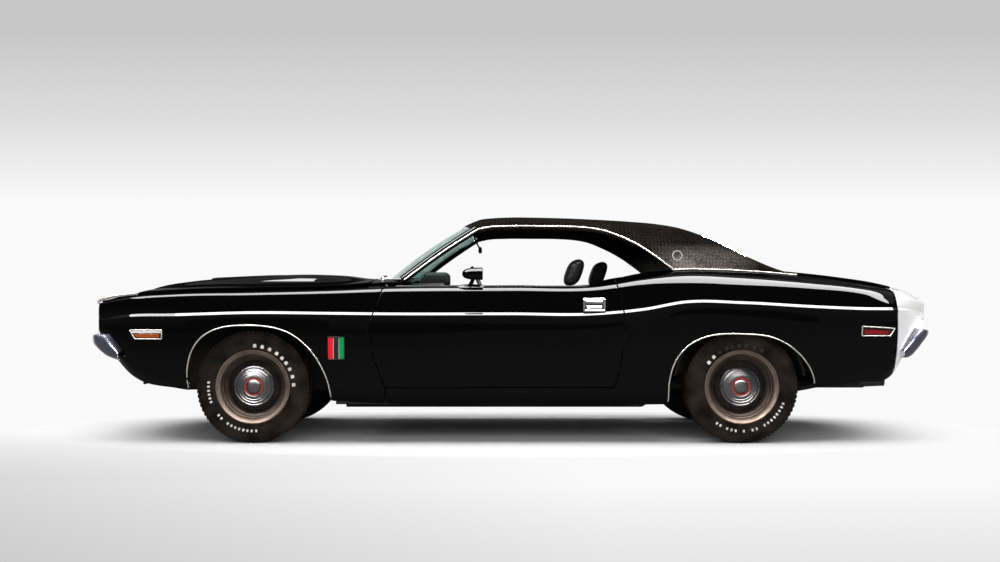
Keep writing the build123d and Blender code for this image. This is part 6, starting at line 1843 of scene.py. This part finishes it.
@dataclass
class SideDetails:
    """Side markers, door handles, mirror, badge, pillar ring, grille, headlamps and wipers."""

    finishes: Finishes

    def build(self) -> None:
        """Builds the small pieces on the body."""
        self.markers()
        self.handles()
        self.mirror()
        self.badge()
        self.pillar_ring()
        self.grille()
        self.headlamps()
        self.wipers()

    @staticmethod
    def oblong(front: float, rear: float, low: float, high: float) -> list[tuple[float, float]]:
        """The corners of an upright rectangle, as _plate wants them."""
        return [(front, high), (rear, high), (rear, low), (front, low)]

    @staticmethod
    def on_side(line: Line, lift: float) -> Points:
        """Places (x, z) points on the left body side, lifted off it."""
        points = []
        for x, z in line:
            place = FORM.place_at_height(x, z)
            surface = FORM.point(x, place)
            points.append((x, surface[1] - lift, z))
        return np.array(points)

    def _plate(self, corners: Line, lift: float, depth: float, material: Material) -> Piece:
        """A four-cornered plate that lies on the body side.

        Args:
            corners: front top, rear top, rear bottom, front bottom as (x, z).
            lift: how far its face stands off the body.
            depth: its thickness.
            material: its finish.

        Returns:
            The plate.
        """
        a, b, c, d = (np.array(corner) for corner in corners)
        columns = np.linspace(0, 1, 14)
        rows = []
        for share in np.linspace(0, 1, 5):
            start, end = a * (1 - share) + d * share, b * (1 - share) + c * share
            line = start[None] * (1 - columns[:, None]) + end[None] * columns[:, None]
            rows.append(self.on_side([tuple(point) for point in line], lift))
        plate = grid_piece("plate", [np.stack(rows[::-1])], material, flip=False)
        walled(plate, depth, 0.0008)
        return plate

    def _frame(self, corners: Line, lift: float, width: float, material: Material) -> Piece:
        """A bead round a four-cornered plate on the body side."""
        ring = []
        for number in range(4):
            first, last = np.array(corners[number]), np.array(corners[(number + 1) % 4])
            for share in (0.03, 0.10, 0.3, 0.5, 0.7, 0.90, 0.97):
                ring.append(tuple(first * (1 - share) + last * share))
        path = self.on_side(ring, lift)
        return sweep("frame", path, rounded_section(width, 0.007, 0.002), material, (0, 1, 0), closed=True)

    def markers(self) -> None:
        """Side markers: silver frames, a white strip, amber in front and red behind."""
        f = self.finishes
        front = [(-2.162, 0.649), (-1.976, 0.649), (-1.976, 0.598), (-2.130, 0.598)]
        rear = [(1.989, 0.670), (2.177, 0.658), (2.149, 0.616), (1.987, 0.616)]
        pieces = [
            self._plate(front, 0.001, 0.004, f.rim_black),
            self._plate([(-2.153, 0.646), (-1.980, 0.646), (-1.980, 0.632), (-2.147, 0.632)], 0.004, 0.003, f.stripe),
            self._plate([(-2.140, 0.628), (-1.992, 0.628), (-1.992, 0.607), (-2.120, 0.607)], 0.004, 0.004,
                        f.amber_lens),
            self._frame(front, 0.003, 0.006, f.worn_trim),
        ]
        self._seat_markers("front", pieces, "amber_lens")
        pieces = [
            self._plate(rear, 0.001, 0.004, f.rim_black),
            self._plate([(2.004, 0.652), (2.146, 0.645), (2.130, 0.625), (2.002, 0.625)], 0.004, 0.004, f.red_lens),
            self._frame(rear, 0.003, 0.006, f.worn_trim),
        ]
        self._seat_markers("rear", pieces, "red_lens")

    @staticmethod
    def _seat_markers(end: str, pieces: Sequence[Piece], slot: str) -> None:
        """Joins one end's marker with its mirrored twin and seats the pair."""
        left = joined(f"{end}_marker_left", pieces)
        pair = joined(f"{end}_marker_lamps", [left, mirrored(left, f"{end}_marker_right")])
        seat_piece(pair, "body", slot, f"{end}_markers")

    def handles(self) -> None:
        """Recessed door handles: a bright frame, a flap and a dark slot under it."""
        f = self.finishes
        outline = self.oblong(0.414, 0.531, 0.758, 0.824)
        pieces = [
            self._plate(outline, 0.0008, 0.004, f.trim),
            self._frame(outline, 0.0025, 0.008, f.chrome),
            self._plate(self.oblong(0.424, 0.521, 0.800, 0.815), 0.006, 0.005, f.chrome),
            self._plate(self.oblong(0.430, 0.515, 0.770, 0.786), 0.003, 0.003, f.dull_trim),
        ]
        left = joined("door_handle_chrome_left", pieces)
        right = mirrored(left, "door_handle_chrome_right")
        seat_piece(left, "door_left", "chrome", "door_handle_left")
        seat_piece(right, "door_right", "chrome", "door_handle_right")

    def mirror(self) -> None:
        """The bullet mirror on the driver's door."""
        f = self.finishes
        head = lathe(
            "head",
            [(0.0, 0.0), (0.012, 0.003), (0.022, 0.012), (0.029, 0.028), (0.0335, 0.052), (0.035, 0.085),
             (0.0355, 0.108), (0.0350, 0.116), (0.0325, 0.118), (0.0315, 0.112), (0.0, 0.112)],
            (-0.277, -0.908, 0.968), f.paint, (1, 0, 0), 48, (0, 0, 1),
        )
        glass = lathe("mirror_glass", [(0.0, 0.1135), (0.031, 0.1135), (0.0315, 0.1125)], (-0.277, -0.908, 0.968),
                      f.chrome, (1, 0, 0), 48, (0, 0, 1))
        path = np.array([(-0.215, -0.908, 0.940), (-0.219, -0.906, 0.925), (-0.226, -0.902, 0.912),
                         (-0.232, -0.897, 0.902), (-0.236, -0.890, 0.893)])
        stem = sweep("stem", path, rounded_section(0.022, 0.016, 0.007), f.paint, (0, 1, 0))
        base_line = np.linspace(-0.300, -0.155, 16)
        rows = []
        for share in np.linspace(-1, 1, 9):
            points = []
            for x in base_line:
                round_off = math.sqrt(max(0.0, 1 - ((x + 0.2275) / 0.074) ** 2))
                y = -0.882 + share * 0.017 * round_off
                place = FORM.place_at_width(x, abs(y))
                z = float(FORM.point(x, place)[2])
                points.append((x, y, z + 0.011 * math.sqrt(max(0.0, 1 - share**2)) * round_off + 0.0015))
            rows.append(points)
        foot = grid_piece("foot", [np.array(rows)], f.paint, flip=True)
        walled(foot, 0.004)
        seat_piece(joined("mirror_bullet", [head, glass, stem, foot]), "door_left", "chrome", "door_mirror")

    def badge(self) -> None:
        """A small upright badge of three plain bands, parted by bright strips, in a black edge."""
        f = self.finishes
        left, right, low, high = -1.034, -0.941, 0.484, 0.609
        third = (right - left) / 3
        pieces = []
        for number, material in enumerate((f.badge_red, f.rim_black, f.badge_green)):
            start = left + number * third
            pieces.append(self._plate(self.oblong(start, start + third, low, high), 0.0022, 0.002, material))
        for start in (left + third, left + 2 * third):
            pieces.append(
                self._plate(self.oblong(start - 0.0014, start + 0.0014, low, high), 0.0034, 0.002, f.dull_trim)
            )
        pieces.append(self._frame(self.oblong(left, right, low, high), 0.002, 0.005, f.rim_black))
        seat_piece(joined("fender_badge", pieces), "body", "trim_plastic")

    def pillar_ring(self) -> None:
        """A plain thin ring on each C-pillar."""
        house = Greenhouse(self.finishes)
        turn = np.linspace(0, 2 * math.pi, 40, endpoint=False)
        xs, zs = 0.968 + 0.027 * np.cos(turn), 1.077 + 0.027 * np.sin(turn)
        ys = house.width(xs, zs)
        path = np.stack([xs, -ys - 0.0012, zs], 1)
        ring = sweep("pillar_ring_left", path, rounded_section(0.0042, 0.0042, 0.0012), self.finishes.stripe,
                     (0, 1, 0), closed=True)
        seat_pair(ring, "chrome")

    def grille(self) -> None:
        """Grille bars in a deep dark opening with a bright rim."""
        f = self.finishes
        back = block("back", (-2.250, -0.835, 0.628), (-2.240, 0.835, 0.785), f.rim_black, 0.003)
        bars = [back]
        for number in range(7):
            z = 0.650 + number * 0.0195
            bars.append(block("bar", (-2.290, -0.470, z - 0.0025), (-2.262, 0.470, z + 0.0025), f.dull_trim, 0.0015))
        for number in range(-6, 7):
            y = number * 0.075
            bars.append(block("rib", (-2.286, y - 0.002, 0.640), (-2.258, y + 0.002, 0.774), f.rim_black, 0.001))
        rim = [(-2.352, y, z) for y, z in TopPanels._round_rect(0.842, 0.612, 0.792, 0.030)]
        bars.append(sweep("rim", np.array(rim), rounded_section(0.010, 0.012, 0.003), f.chrome, (1, 0, 0), closed=True))
        outer = np.array([(-2.350, y, z) for y, z in TopPanels._round_rect(0.846, 0.608, 0.796, 0.032)])
        inner = np.array([(-2.250, y * 0.985, (z - 0.702) * 0.93 + 0.702) for _, y, z in outer])
        tube = np.stack([np.concatenate([outer, outer[:1]]), np.concatenate([inner, inner[:1]])])
        well = grid_piece("well", [tube], f.rim_black, flip=True)
        walled(well, 0.004)
        bars.append(well)
        seat_piece(joined("grille_bars", bars), "body", "trim_plastic", "grille")

    def headlamps(self) -> None:
        """Four headlamps: bezel, lens and reflecting bowl."""
        f = self.finishes
        lamps = []
        for y in (-0.735, -0.575, 0.575, 0.735):
            ring = lathe(
                "bezel", [(0.066, 0.0), (0.076, 0.010), (0.078, 0.032), (0.074, 0.038), (0.068, 0.034), (0.066, 0.0)],
                (-2.262, y, 0.704), f.chrome, (-1, 0, 0), 64,
            )
            lens = lathe(
                "lens", [(0.068, 0.010), (0.066, 0.024), (0.050, 0.032), (0.026, 0.036), (0.0, 0.037)],
                (-2.262, y, 0.704), f.clear_lens, (-1, 0, 0), 48,
            )
            bowl = lathe("bowl", [(0.068, 0.010), (0.050, -0.004), (0.0, -0.006)], (-2.262, y, 0.704), f.chrome,
                         (-1, 0, 0), 48)
            lamps += [ring, lens, bowl]
        seat_piece(joined("headlamp_set", lamps), "body", "lamp_glass", "headlamps")

    def wipers(self) -> None:
        """Two wipers parked at the foot of the windscreen."""
        pieces = []
        for start in (-0.36, 0.30):
            base = Vector((-0.775, start, 0.952))
            tip = Vector((-0.726, start + math.copysign(0.40, start), 0.962))
            middle = (base + tip) / 2 + Vector((-0.010, 0, 0.012))
            share = np.linspace(0, 1, 14)[:, None]
            path = (
                (1 - share) ** 2 * np.array(base) + 2 * share * (1 - share) * np.array(middle)
                + share**2 * np.array(tip)
            )
            pieces.append(sweep("arm", path, rounded_section(0.008, 0.006, 0.002), self.finishes.dull_trim))
            blade = path[5:] + np.array([0.010, 0.0, -0.006])
            pieces.append(sweep("blade", blade, rounded_section(0.005, 0.010, 0.002), self.finishes.trim))
            pieces.append(
                lathe("pivot", [(0.0, 0.016), (0.010, 0.014), (0.013, 0.004), (0.014, -0.014)], tuple(base),
                      self.finishes.dull_trim, (0, 0, 1), 24, (1, 0, 0))
            )
        seat_piece(joined("wipers", pieces), "body", "trim_plastic")


@dataclass
class Cabin:
    """Padded seats, the steering wheel, mirror and dashboard top, and the fuel tank under the boot."""

    finishes: Finishes
    swell: float = 0.024
    frames: int = 20
    channel: float = 0.062
    groove: float = 0.007
    voxel: float = 0.008
    pressure: float = 4.0

    def build(self) -> None:
        """Builds everything inside."""
        self.front_seats()
        self.rear_bench()
        self.steering_wheel()
        self.inside_mirror()
        self.instrument_hood()
        self.fuel_tank()

    def _pad(
        self, name: str, low: Sequence[float], high: Sequence[float], lean: float = 0.0, round_edge: float = 0.045,
        channels: bool = True,
    ) -> Piece:
        """A stuffed pad: a soft block swollen as cloth.

        Args:
            name: the piece's name.
            low: its lowest corner.
            high: its highest corner.
            lean: how far its top leans back, in metres.
            round_edge: the radius of its edges before it swells.
            channels: whether it has stitched channels.

        Returns:
            The pad.
        """
        pad = block(name, low, high, self.finishes.seat, round_edge)
        base, height = low[2], high[2] - low[2]
        for corner in pad.data.vertices:
            corner.co.x += lean * (corner.co.z - base) / height
        modify(pad, "REMESH", mode="VOXEL", voxel_size=self.voxel, use_smooth_shade=True)
        start = [corner.co.copy() for corner in pad.data.vertices]
        only(pad)
        cloth = pad.modifiers.new("cloth", "CLOTH")
        cloth.settings.use_pressure = True
        cloth.settings.uniform_pressure_force = self.pressure
        cloth.settings.effector_weights.gravity = 0.0
        cloth.settings.quality = 4
        cloth.point_cache.frame_start, cloth.point_cache.frame_end = 1, self.frames
        scene = bpy.context.scene
        for number in range(1, self.frames + 1):
            scene.frame_set(number)
        bpy.ops.object.modifier_apply(modifier="cloth")
        scene.frame_set(1)
        for corner, rest in zip(pad.data.vertices, start):
            shift = corner.co - rest
            if shift.length > self.swell:
                corner.co = rest + shift.normalized() * self.swell
        modify(pad, "SMOOTH", factor=0.5, iterations=3)
        if channels:
            self._stitch(pad, low, high)
        smooth(pad, 60)
        return pad

    def _stitch(self, pad: Piece, low: Sequence[float], high: Sequence[float]) -> None:
        """Presses stitched channels into the middle of a pad.

        Args:
            pad: the swollen pad.
            low: the lowest corner of its block.
            high: the highest corner of its block.
        """
        middle, half = (low[1] + high[1]) / 2, (high[1] - low[1]) / 2 - 0.060
        count = max(2, round(2 * half / self.channel))
        normals = [corner.normal.copy() for corner in pad.data.vertices]
        for corner, normal in zip(pad.data.vertices, normals):
            beside = corner.co.y - middle
            if abs(beside) > half + 0.012 or abs(normal.y) > 0.6:
                continue
            step = 2 * half / count
            gap = abs((beside + half + step / 2) % step - step / 2)
            corner.co -= normal * self.groove * math.exp(-((gap / 0.007) ** 2))

    def front_seats(self) -> None:
        """Two bucket seats with tall rounded headrests."""
        shapes = (
            ("cushion", (-0.060, -0.600, 0.345), (0.400, -0.140, 0.465), 0.0),
            ("back", (0.220, -0.590, 0.475), (0.330, -0.150, 0.890), 0.115),
            ("headrest", (0.318, -0.480, 0.905), (0.412, -0.260, 1.066), 0.052),
        )
        for part, low, high, lean in shapes:
            pad = self._pad(f"seat_{part}_left", low, high, lean, 0.045, channels=part != "headrest")
            shift = (0.205, 0.740, 0.006) if part == "headrest" else (0.110, 0.740, 0.0)
            twin = moved_copy(pad, f"seat_{part}_right", shift)
            nodes = ("front_seat_left",) if part == "back" else ()
            seat_piece(pad, "body", "seat_vinyl", *nodes)
            seat_piece(twin, "body", "seat_vinyl", *(name.replace("left", "right") for name in nodes))
        for side, offset in ((-1, 0.006), (1, 0.205)):
            lines = [
                np.array([(0.352 + offset * 0.9, side * 0.37 + y, 0.870), (0.362 + offset, side * 0.37 + y, 0.930)])
                for y in (-0.05, 0.05)
            ]
            shape = rounded_section(0.010, 0.010, 0.004)
            posts = [sweep("post", line, shape, self.finishes.dull_trim, (0, 1, 0)) for line in lines]
            name = "left" if side < 0 else "right"
            seat_piece(joined(f"headrest_posts_{name}", posts), "body", "chrome")

    def rear_bench(self) -> None:
        """The rear bench and its back."""
        cushion = self._pad("rear_cushion", (0.830, -0.545, 0.530), (1.230, 0.545, 0.640), 0.0, 0.045)
        back = self._pad("rear_back", (1.210, -0.545, 0.600), (1.310, 0.545, 0.870), 0.060, 0.042)
        seat_piece(cushion, "body", "seat_vinyl")
        seat_piece(back, "body", "seat_vinyl", "rear_seat")

    def steering_wheel(self) -> None:
        """The steering wheel: grip, two spokes and a boss."""
        f = self.finishes
        tilt = math.radians(25)
        axis = (math.cos(tilt), 0, math.sin(tilt))
        centre = Vector((-0.150, -0.370, 0.852))
        up = (-math.sin(tilt), 0, math.cos(tilt))
        turn = np.linspace(0, 2 * math.pi, 16)
        grip = [(0.177 + 0.012 * math.cos(a), 0.012 * math.sin(a)) for a in turn]
        pieces = [lathe("grip", grip, centre, f.trim, axis, 72, up)]
        boss = [(0.0, 0.006), (0.030, 0.004), (0.046, -0.008), (0.050, -0.030), (0.048, -0.040), (0.0135, -0.040)]
        pieces.append(lathe("boss", boss, centre, f.trim, axis, 40, up))
        for side in (-1, 1):
            path = np.array([centre + Vector((0, side * r, 0)) + Vector(axis) * d
                             for r, d in ((0.035, -0.018), (0.080, -0.014), (0.130, -0.006), (0.172, 0.0))])
            pieces.append(sweep("spoke", path, rounded_section(0.026, 0.006, 0.002), f.dull_trim, axis))
        seat_piece(joined("steering_wheel_grip", pieces), "steering_wheel", "trim_plastic", "steering_wheel")

    def inside_mirror(self) -> None:
        """The mirror on its stalk under the header."""
        head = block("head", (-0.190, -0.115, 1.118), (-0.168, 0.115, 1.152), self.finishes.trim, 0.008)
        line = np.array([(-0.185, 0, 1.150), (-0.205, 0, 1.190), (-0.225, 0, 1.240), (-0.235, 0, 1.262)])
        stalk = sweep("stalk", line, rounded_section(0.010, 0.010, 0.004), self.finishes.trim, (0, 1, 0))
        seat_piece(joined("inside_mirror", [head, stalk]), "body", "trim_plastic")

    def instrument_hood(self) -> None:
        """The padded top of the dashboard, raised over the instruments."""
        pad = block("pad", (-0.600, -0.690, 0.893), (-0.385, 0.690, 0.916), self.finishes.trim, 0.009)
        hood = block("hood", (-0.530, -0.570, 0.900), (-0.362, -0.160, 0.984), self.finishes.trim, 0.022)
        for corner in hood.data.vertices:
            if corner.co.z > 0.94:
                corner.co.x += 0.020 if corner.co.x < -0.45 else 0.0
        box = block("box", (-0.396, 0.180, 0.770), (-0.383, 0.600, 0.872), self.finishes.trim, 0.005)
        dials = [
            lathe("dial", [(0.0, 0.006), (0.030, 0.006), (0.032, 0.0), (0.040, 0.0), (0.041, 0.009), (0.037, 0.012)],
                  Vector((-0.392, y, 0.845)), self.finishes.dull_trim, (1, 0, 0), 40, (0, 0, 1))
            for y in (-0.500, -0.412, -0.324, -0.236)
        ]
        seat_piece(joined("dash_pad", [pad, hood, box, *dials]), "body", "trim_plastic")

    def fuel_tank(self) -> None:
        """The ribbed fuel tank, its floor rising to the rear, with two straps."""
        tank = block("tank", (1.765, -0.375, 0.302), (2.125, 0.375, 0.396), self.finishes.chassis, 0.020)
        ribs = [
            block("rib", (1.800, y - 0.012, 0.298), (2.090, y + 0.012, 0.304), self.finishes.chassis, 0.002)
            for y in (-0.300, -0.180, -0.060, 0.060, 0.180, 0.300)
        ]
        straps = [
            block("strap", (1.768, y - 0.016, 0.299), (2.122, y + 0.016, 0.3035), self.finishes.exhaust, 0.001)
            for y in (-0.240, 0.240)
        ]
        piece = joined("fuel_tank_shell", [tank, *ribs, *straps])
        for corner in piece.data.vertices:
            if corner.co.z < 0.350:
                corner.co.z += 0.033 * (corner.co.x - 1.765) / 0.360
        seat_piece(piece, "body", "chassis_metal", "fuel_tank")


@dataclass
class EngineBay:
    """What dresses the engine block: air cleaner, rocker covers, intake, hose and belt drive."""

    finishes: Finishes
    middle_x: float = -1.560
    deck: float = 0.796

    def build(self) -> None:
        """Builds the engine's top and its front drive."""
        f = self.finishes
        centre = Vector((self.middle_x, 0.0, self.deck))
        cleaner = [(0.0, 0.098), (0.012, 0.098), (0.014, 0.088), (0.060, 0.086), (0.155, 0.080), (0.178, 0.070),
                   (0.181, 0.060), (0.172, 0.056), (0.172, 0.026), (0.181, 0.022), (0.178, 0.012), (0.150, 0.004),
                   (0.0, 0.0)]
        pieces = [lathe("cleaner", cleaner, centre, f.trim, (0, 0, 1), 72, (1, 0, 0))]
        nut = [(0.0, 0.112), (0.006, 0.110), (0.010, 0.104), (0.010, 0.097), (0.0, 0.097)]
        pieces.append(lathe("nut", nut, centre, f.dull_trim, (0, 0, 1), 24, (1, 0, 0)))
        pieces.append(block("intake", (-1.780, -0.110, 0.785), (-1.330, 0.110, 0.812), f.chassis, 0.010))
        for side in Side:
            ends = sorted((side.value * 0.135, side.value * 0.262))
            pieces.append(block("cover", (-1.865, ends[0], 0.772), (-1.265, ends[1], 0.838), f.engine, 0.018))
            for number in range(7):
                x = -1.830 + number * 0.088
                low, high = (x, ends[0] + 0.016, 0.834), (x + 0.010, ends[1] - 0.016, 0.843)
                pieces.append(block("fin", low, high, f.dull_trim, 0.002))
            path = np.array([
                (-1.800 + 0.10 * t, side.value * (0.120 + 0.03 * math.sin(3 * t)), 0.815 + 0.02 * math.sin(2 * t))
                for t in np.linspace(0, 4.2, 30)
            ])
            pieces.append(sweep("lead", path, rounded_section(0.008, 0.008, 0.003), f.rim_black, (0, 0, 1)))
        hose = np.array([(-1.930 - 0.130 * t, 0.060 + 0.10 * t, 0.800 - 0.03 * t + 0.02 * math.sin(3 * t))
                         for t in np.linspace(0, 1, 20)])
        pieces.append(sweep("hose", hose, rounded_section(0.040, 0.040, 0.016), f.rim_black, (0, 0, 1)))
        wheel = [(0.0, 0.030), (0.030, 0.030), (0.034, 0.018), (0.074, 0.016), (0.078, 0.008), (0.072, 0.002),
                 (0.078, -0.004), (0.074, -0.010), (0.0, -0.010)]
        for y, z in ((0.0, 0.600), (-0.150, 0.700), (0.150, 0.690)):
            pieces.append(lathe("pulley", wheel, Vector((-1.965, y, z)), f.dull_trim, (-1, 0, 0), 40, (0, 0, 1)))
        seat_piece(joined("engine_top", pieces), "body", "engine_iron")


@dataclass
class Studio:
    """Pale floor and backdrop, soft light, and the camera of the photograph."""

    distance: float = 8.665
    eye_height: float = 0.811
    eye_x: float = -0.1295
    lens: float = 49.2
    shift_x: float = 0.012
    shift_y: float = 0.0204

    def build(self) -> None:
        """Sets up the camera, the floor and the light."""
        self.camera()
        self.floor()
        self.world()
        self.lights()
        scene = bpy.context.scene
        scene.view_settings.view_transform = "Standard"

    def camera(self) -> None:
        """A level camera square to the car's left side."""
        data = bpy.data.cameras.new("camera")
        data.lens, data.sensor_width = self.lens, 36.0
        data.shift_x, data.shift_y = self.shift_x, self.shift_y
        data.clip_end = 400
        eye = bpy.data.objects.new("camera", data)
        eye.location = (self.eye_x, -self.distance, self.eye_height)
        eye.rotation_euler = (math.pi / 2, 0, 0)
        bpy.context.scene.collection.objects.link(eye)
        bpy.context.scene.camera = eye

    def floor(self) -> None:
        """A pale floor that curves up into a distant backdrop, white low down and greyer at the top and in front, where
        shade is painted into its glow.
        """
        shader = Shader("studio_floor")
        tone = shader.noise(0.8, 2.0).clamp(0.3, 0.8)
        matt = shader.principled(
            {"Base Color": shader.mix(tone, (0.86, 0.86, 0.86), (0.90, 0.90, 0.90)), "Roughness": 0.9,
             "Specular IOR Level": 0.1}
        )
        # Painted shade: the glow that the camera sees greys up the backdrop, towards the front and most into the front
        # left corner, as light that falls off away from the car.
        low = shader.axis("Z").clamp(3.6, 6.0)
        high = shader.axis("Z").clamp(6.0, 8.8)
        near = 1 - shader.axis("Y").clamp(-5.2, -2.6)
        corner = (1 - shader.axis("X").clamp(-3.2, 0.3)) * (1 - shader.axis("Y").clamp(-2.4, -0.2))
        tall = shader.mix(high, shader.mix(low, (0.95, 0.95, 0.95), (0.73, 0.73, 0.735)), (0.57, 0.57, 0.575))
        shaded = shader.mix((near * 0.30 + corner * 0.46).clamp(0.0, 1.0), tall, (0.22, 0.22, 0.225))
        screen = shader.node("ShaderNodeEmission", {}, {"Color": shaded, "Strength": 1.0})
        path = shader.tree.nodes.new("ShaderNodeLightPath")
        direct = Value(shader, path.outputs["Is Camera Ray"]) + Value(shader, path.outputs["Is Glossy Ray"])
        seen = (direct + Value(shader, path.outputs["Is Transmission Ray"])).clamp(0.0, 1.0)
        along, beside = shader.axis("X") * (1 / 2.35), shader.axis("Y") * (1 / 1.2)
        away = (along * along + beside * beside).clamp(0.85, 1.75)
        mixed = shader.node("ShaderNodeMixShader", {}, {0: seen * away, 1: matt, 2: screen}, "Shader")
        material = shader.finish(mixed)
        turn = np.linspace(0, math.pi / 2, 24)
        ys = np.concatenate([[-60.0, 22.0], 22.0 + 10.0 * np.sin(turn[1:])])
        zs = np.concatenate([[0.0, 0.0], 10.0 - 10.0 * np.cos(turn[1:])])
        xs = np.array([-60.0, 0.0, 60.0])
        profile = np.stack([ys, zs], 1)[:, None, :].repeat(3, 1)
        points = np.concatenate([np.broadcast_to(xs[None, :, None], (len(ys), 3, 1)), profile], 2)
        floor = grid_piece("studio_floor", [points], material, flip=False)
        smooth(floor, 60)

    def world(self) -> None:
        """A dim room, which the camera and the glass see as pale as the backdrop."""
        world = bpy.data.worlds.new("studio")
        bpy.context.scene.world = world
        world.use_nodes = True
        tree = world.node_tree
        background = tree.nodes["Background"]
        background.inputs["Color"].default_value = (0.94, 0.95, 1.0, 1)
        background.inputs["Strength"].default_value = 0.22
        pale = tree.nodes.new("ShaderNodeBackground")
        pale.inputs["Color"].default_value = (0.80, 0.80, 0.805, 1)
        path = tree.nodes.new("ShaderNodeLightPath")
        either = tree.nodes.new("ShaderNodeMath")
        either.operation = "MAXIMUM"
        tree.links.new(path.outputs["Is Camera Ray"], either.inputs[0])
        tree.links.new(path.outputs["Is Transmission Ray"], either.inputs[1])
        mixer = tree.nodes.new("ShaderNodeMixShader")
        tree.links.new(either.outputs[0], mixer.inputs[0])
        tree.links.new(background.outputs[0], mixer.inputs[1])
        tree.links.new(pale.outputs[0], mixer.inputs[2])
        tree.links.new(mixer.outputs[0], tree.nodes["World Output"].inputs["Surface"])

    def lights(self) -> None:
        """Broad soft lamps for the light, and a long box that only gloss shows."""
        self._area("broad_top", (0.0, 0.0, 5.2), (12.5, 6.5), 540, (0.0, 0.0, 0.0))
        gloss = self._area("gloss_box", (0.1, -1.6, 4.6), (9.0, 3.8), 12500, (0.0, -0.5, 0.9))
        gloss.visible_diffuse = False
        front = self._area("front_fill", (0.0, -8.6, 3.2), (8.0, 3.0), 300, (0.0, 0.0, 0.6))
        front.visible_glossy = False

    @staticmethod
    def _area(name: str, place: Triple, size: tuple[float, float], power: float, target: Triple) -> Piece:
        """Adds one rectangular lamp.

        Args:
            name: the lamp's name.
            place: where it hangs.
            size: its length and width.
            power: its power in watts.
            target: what it points at.

        Returns:
            The lamp.
        """
        data = bpy.data.lights.new(name, "AREA")
        data.shape, data.size, data.size_y, data.energy = "RECTANGLE", size[0], size[1], power
        lamp = bpy.data.objects.new(name, data)
        lamp.location = place
        lamp.rotation_euler = (Vector(target) - Vector(place)).to_track_quat("-Z", "Y").to_euler()
        bpy.context.scene.collection.objects.link(lamp)
        return lamp


def dress_nodes(finishes: Finishes) -> None:
    """Gives every CAD node that still shows its finish."""
    by_slot = {
        "body_paint": finishes.paint, "vinyl_roof": finishes.vinyl, "chrome": finishes.chrome,
        "underbody_paint": finishes.underside, "chassis_metal": finishes.chassis, "engine_iron": finishes.engine,
        "exhaust_steel": finishes.exhaust, "trim_plastic": finishes.trim, "seat_vinyl": finishes.seat,
        "glass": finishes.glass, "lamp_glass": finishes.clear_lens, "red_lens": finishes.red_lens,
        "amber_lens": finishes.amber_lens, "tyre": finishes.tyre, "wheel_steel": finishes.rim,
    }
    slots = {part["node"]: part["material_slot"] for part in frame["record"]["subparts"]}
    for name, node in frame["nodes"].items():
        for place in node.material_slots:
            place.material = by_slot[slots[name]]


def main() -> None:
    """Builds the car's dressed model and the studio round it."""
    logging.basicConfig(level=logging.INFO, format="%(message)s")
    finishes = Finishes()
    dress_nodes(finishes)
    SidePanels(finishes).build()
    TopPanels(finishes).build()
    Greenhouse(finishes).build()
    Wheels(finishes).build()
    Bumpers(finishes).build()
    SideDetails(finishes).build()
    Cabin(finishes).build()
    EngineBay(finishes).build()
    Studio().build()


if __name__ == "__main__":
    main()
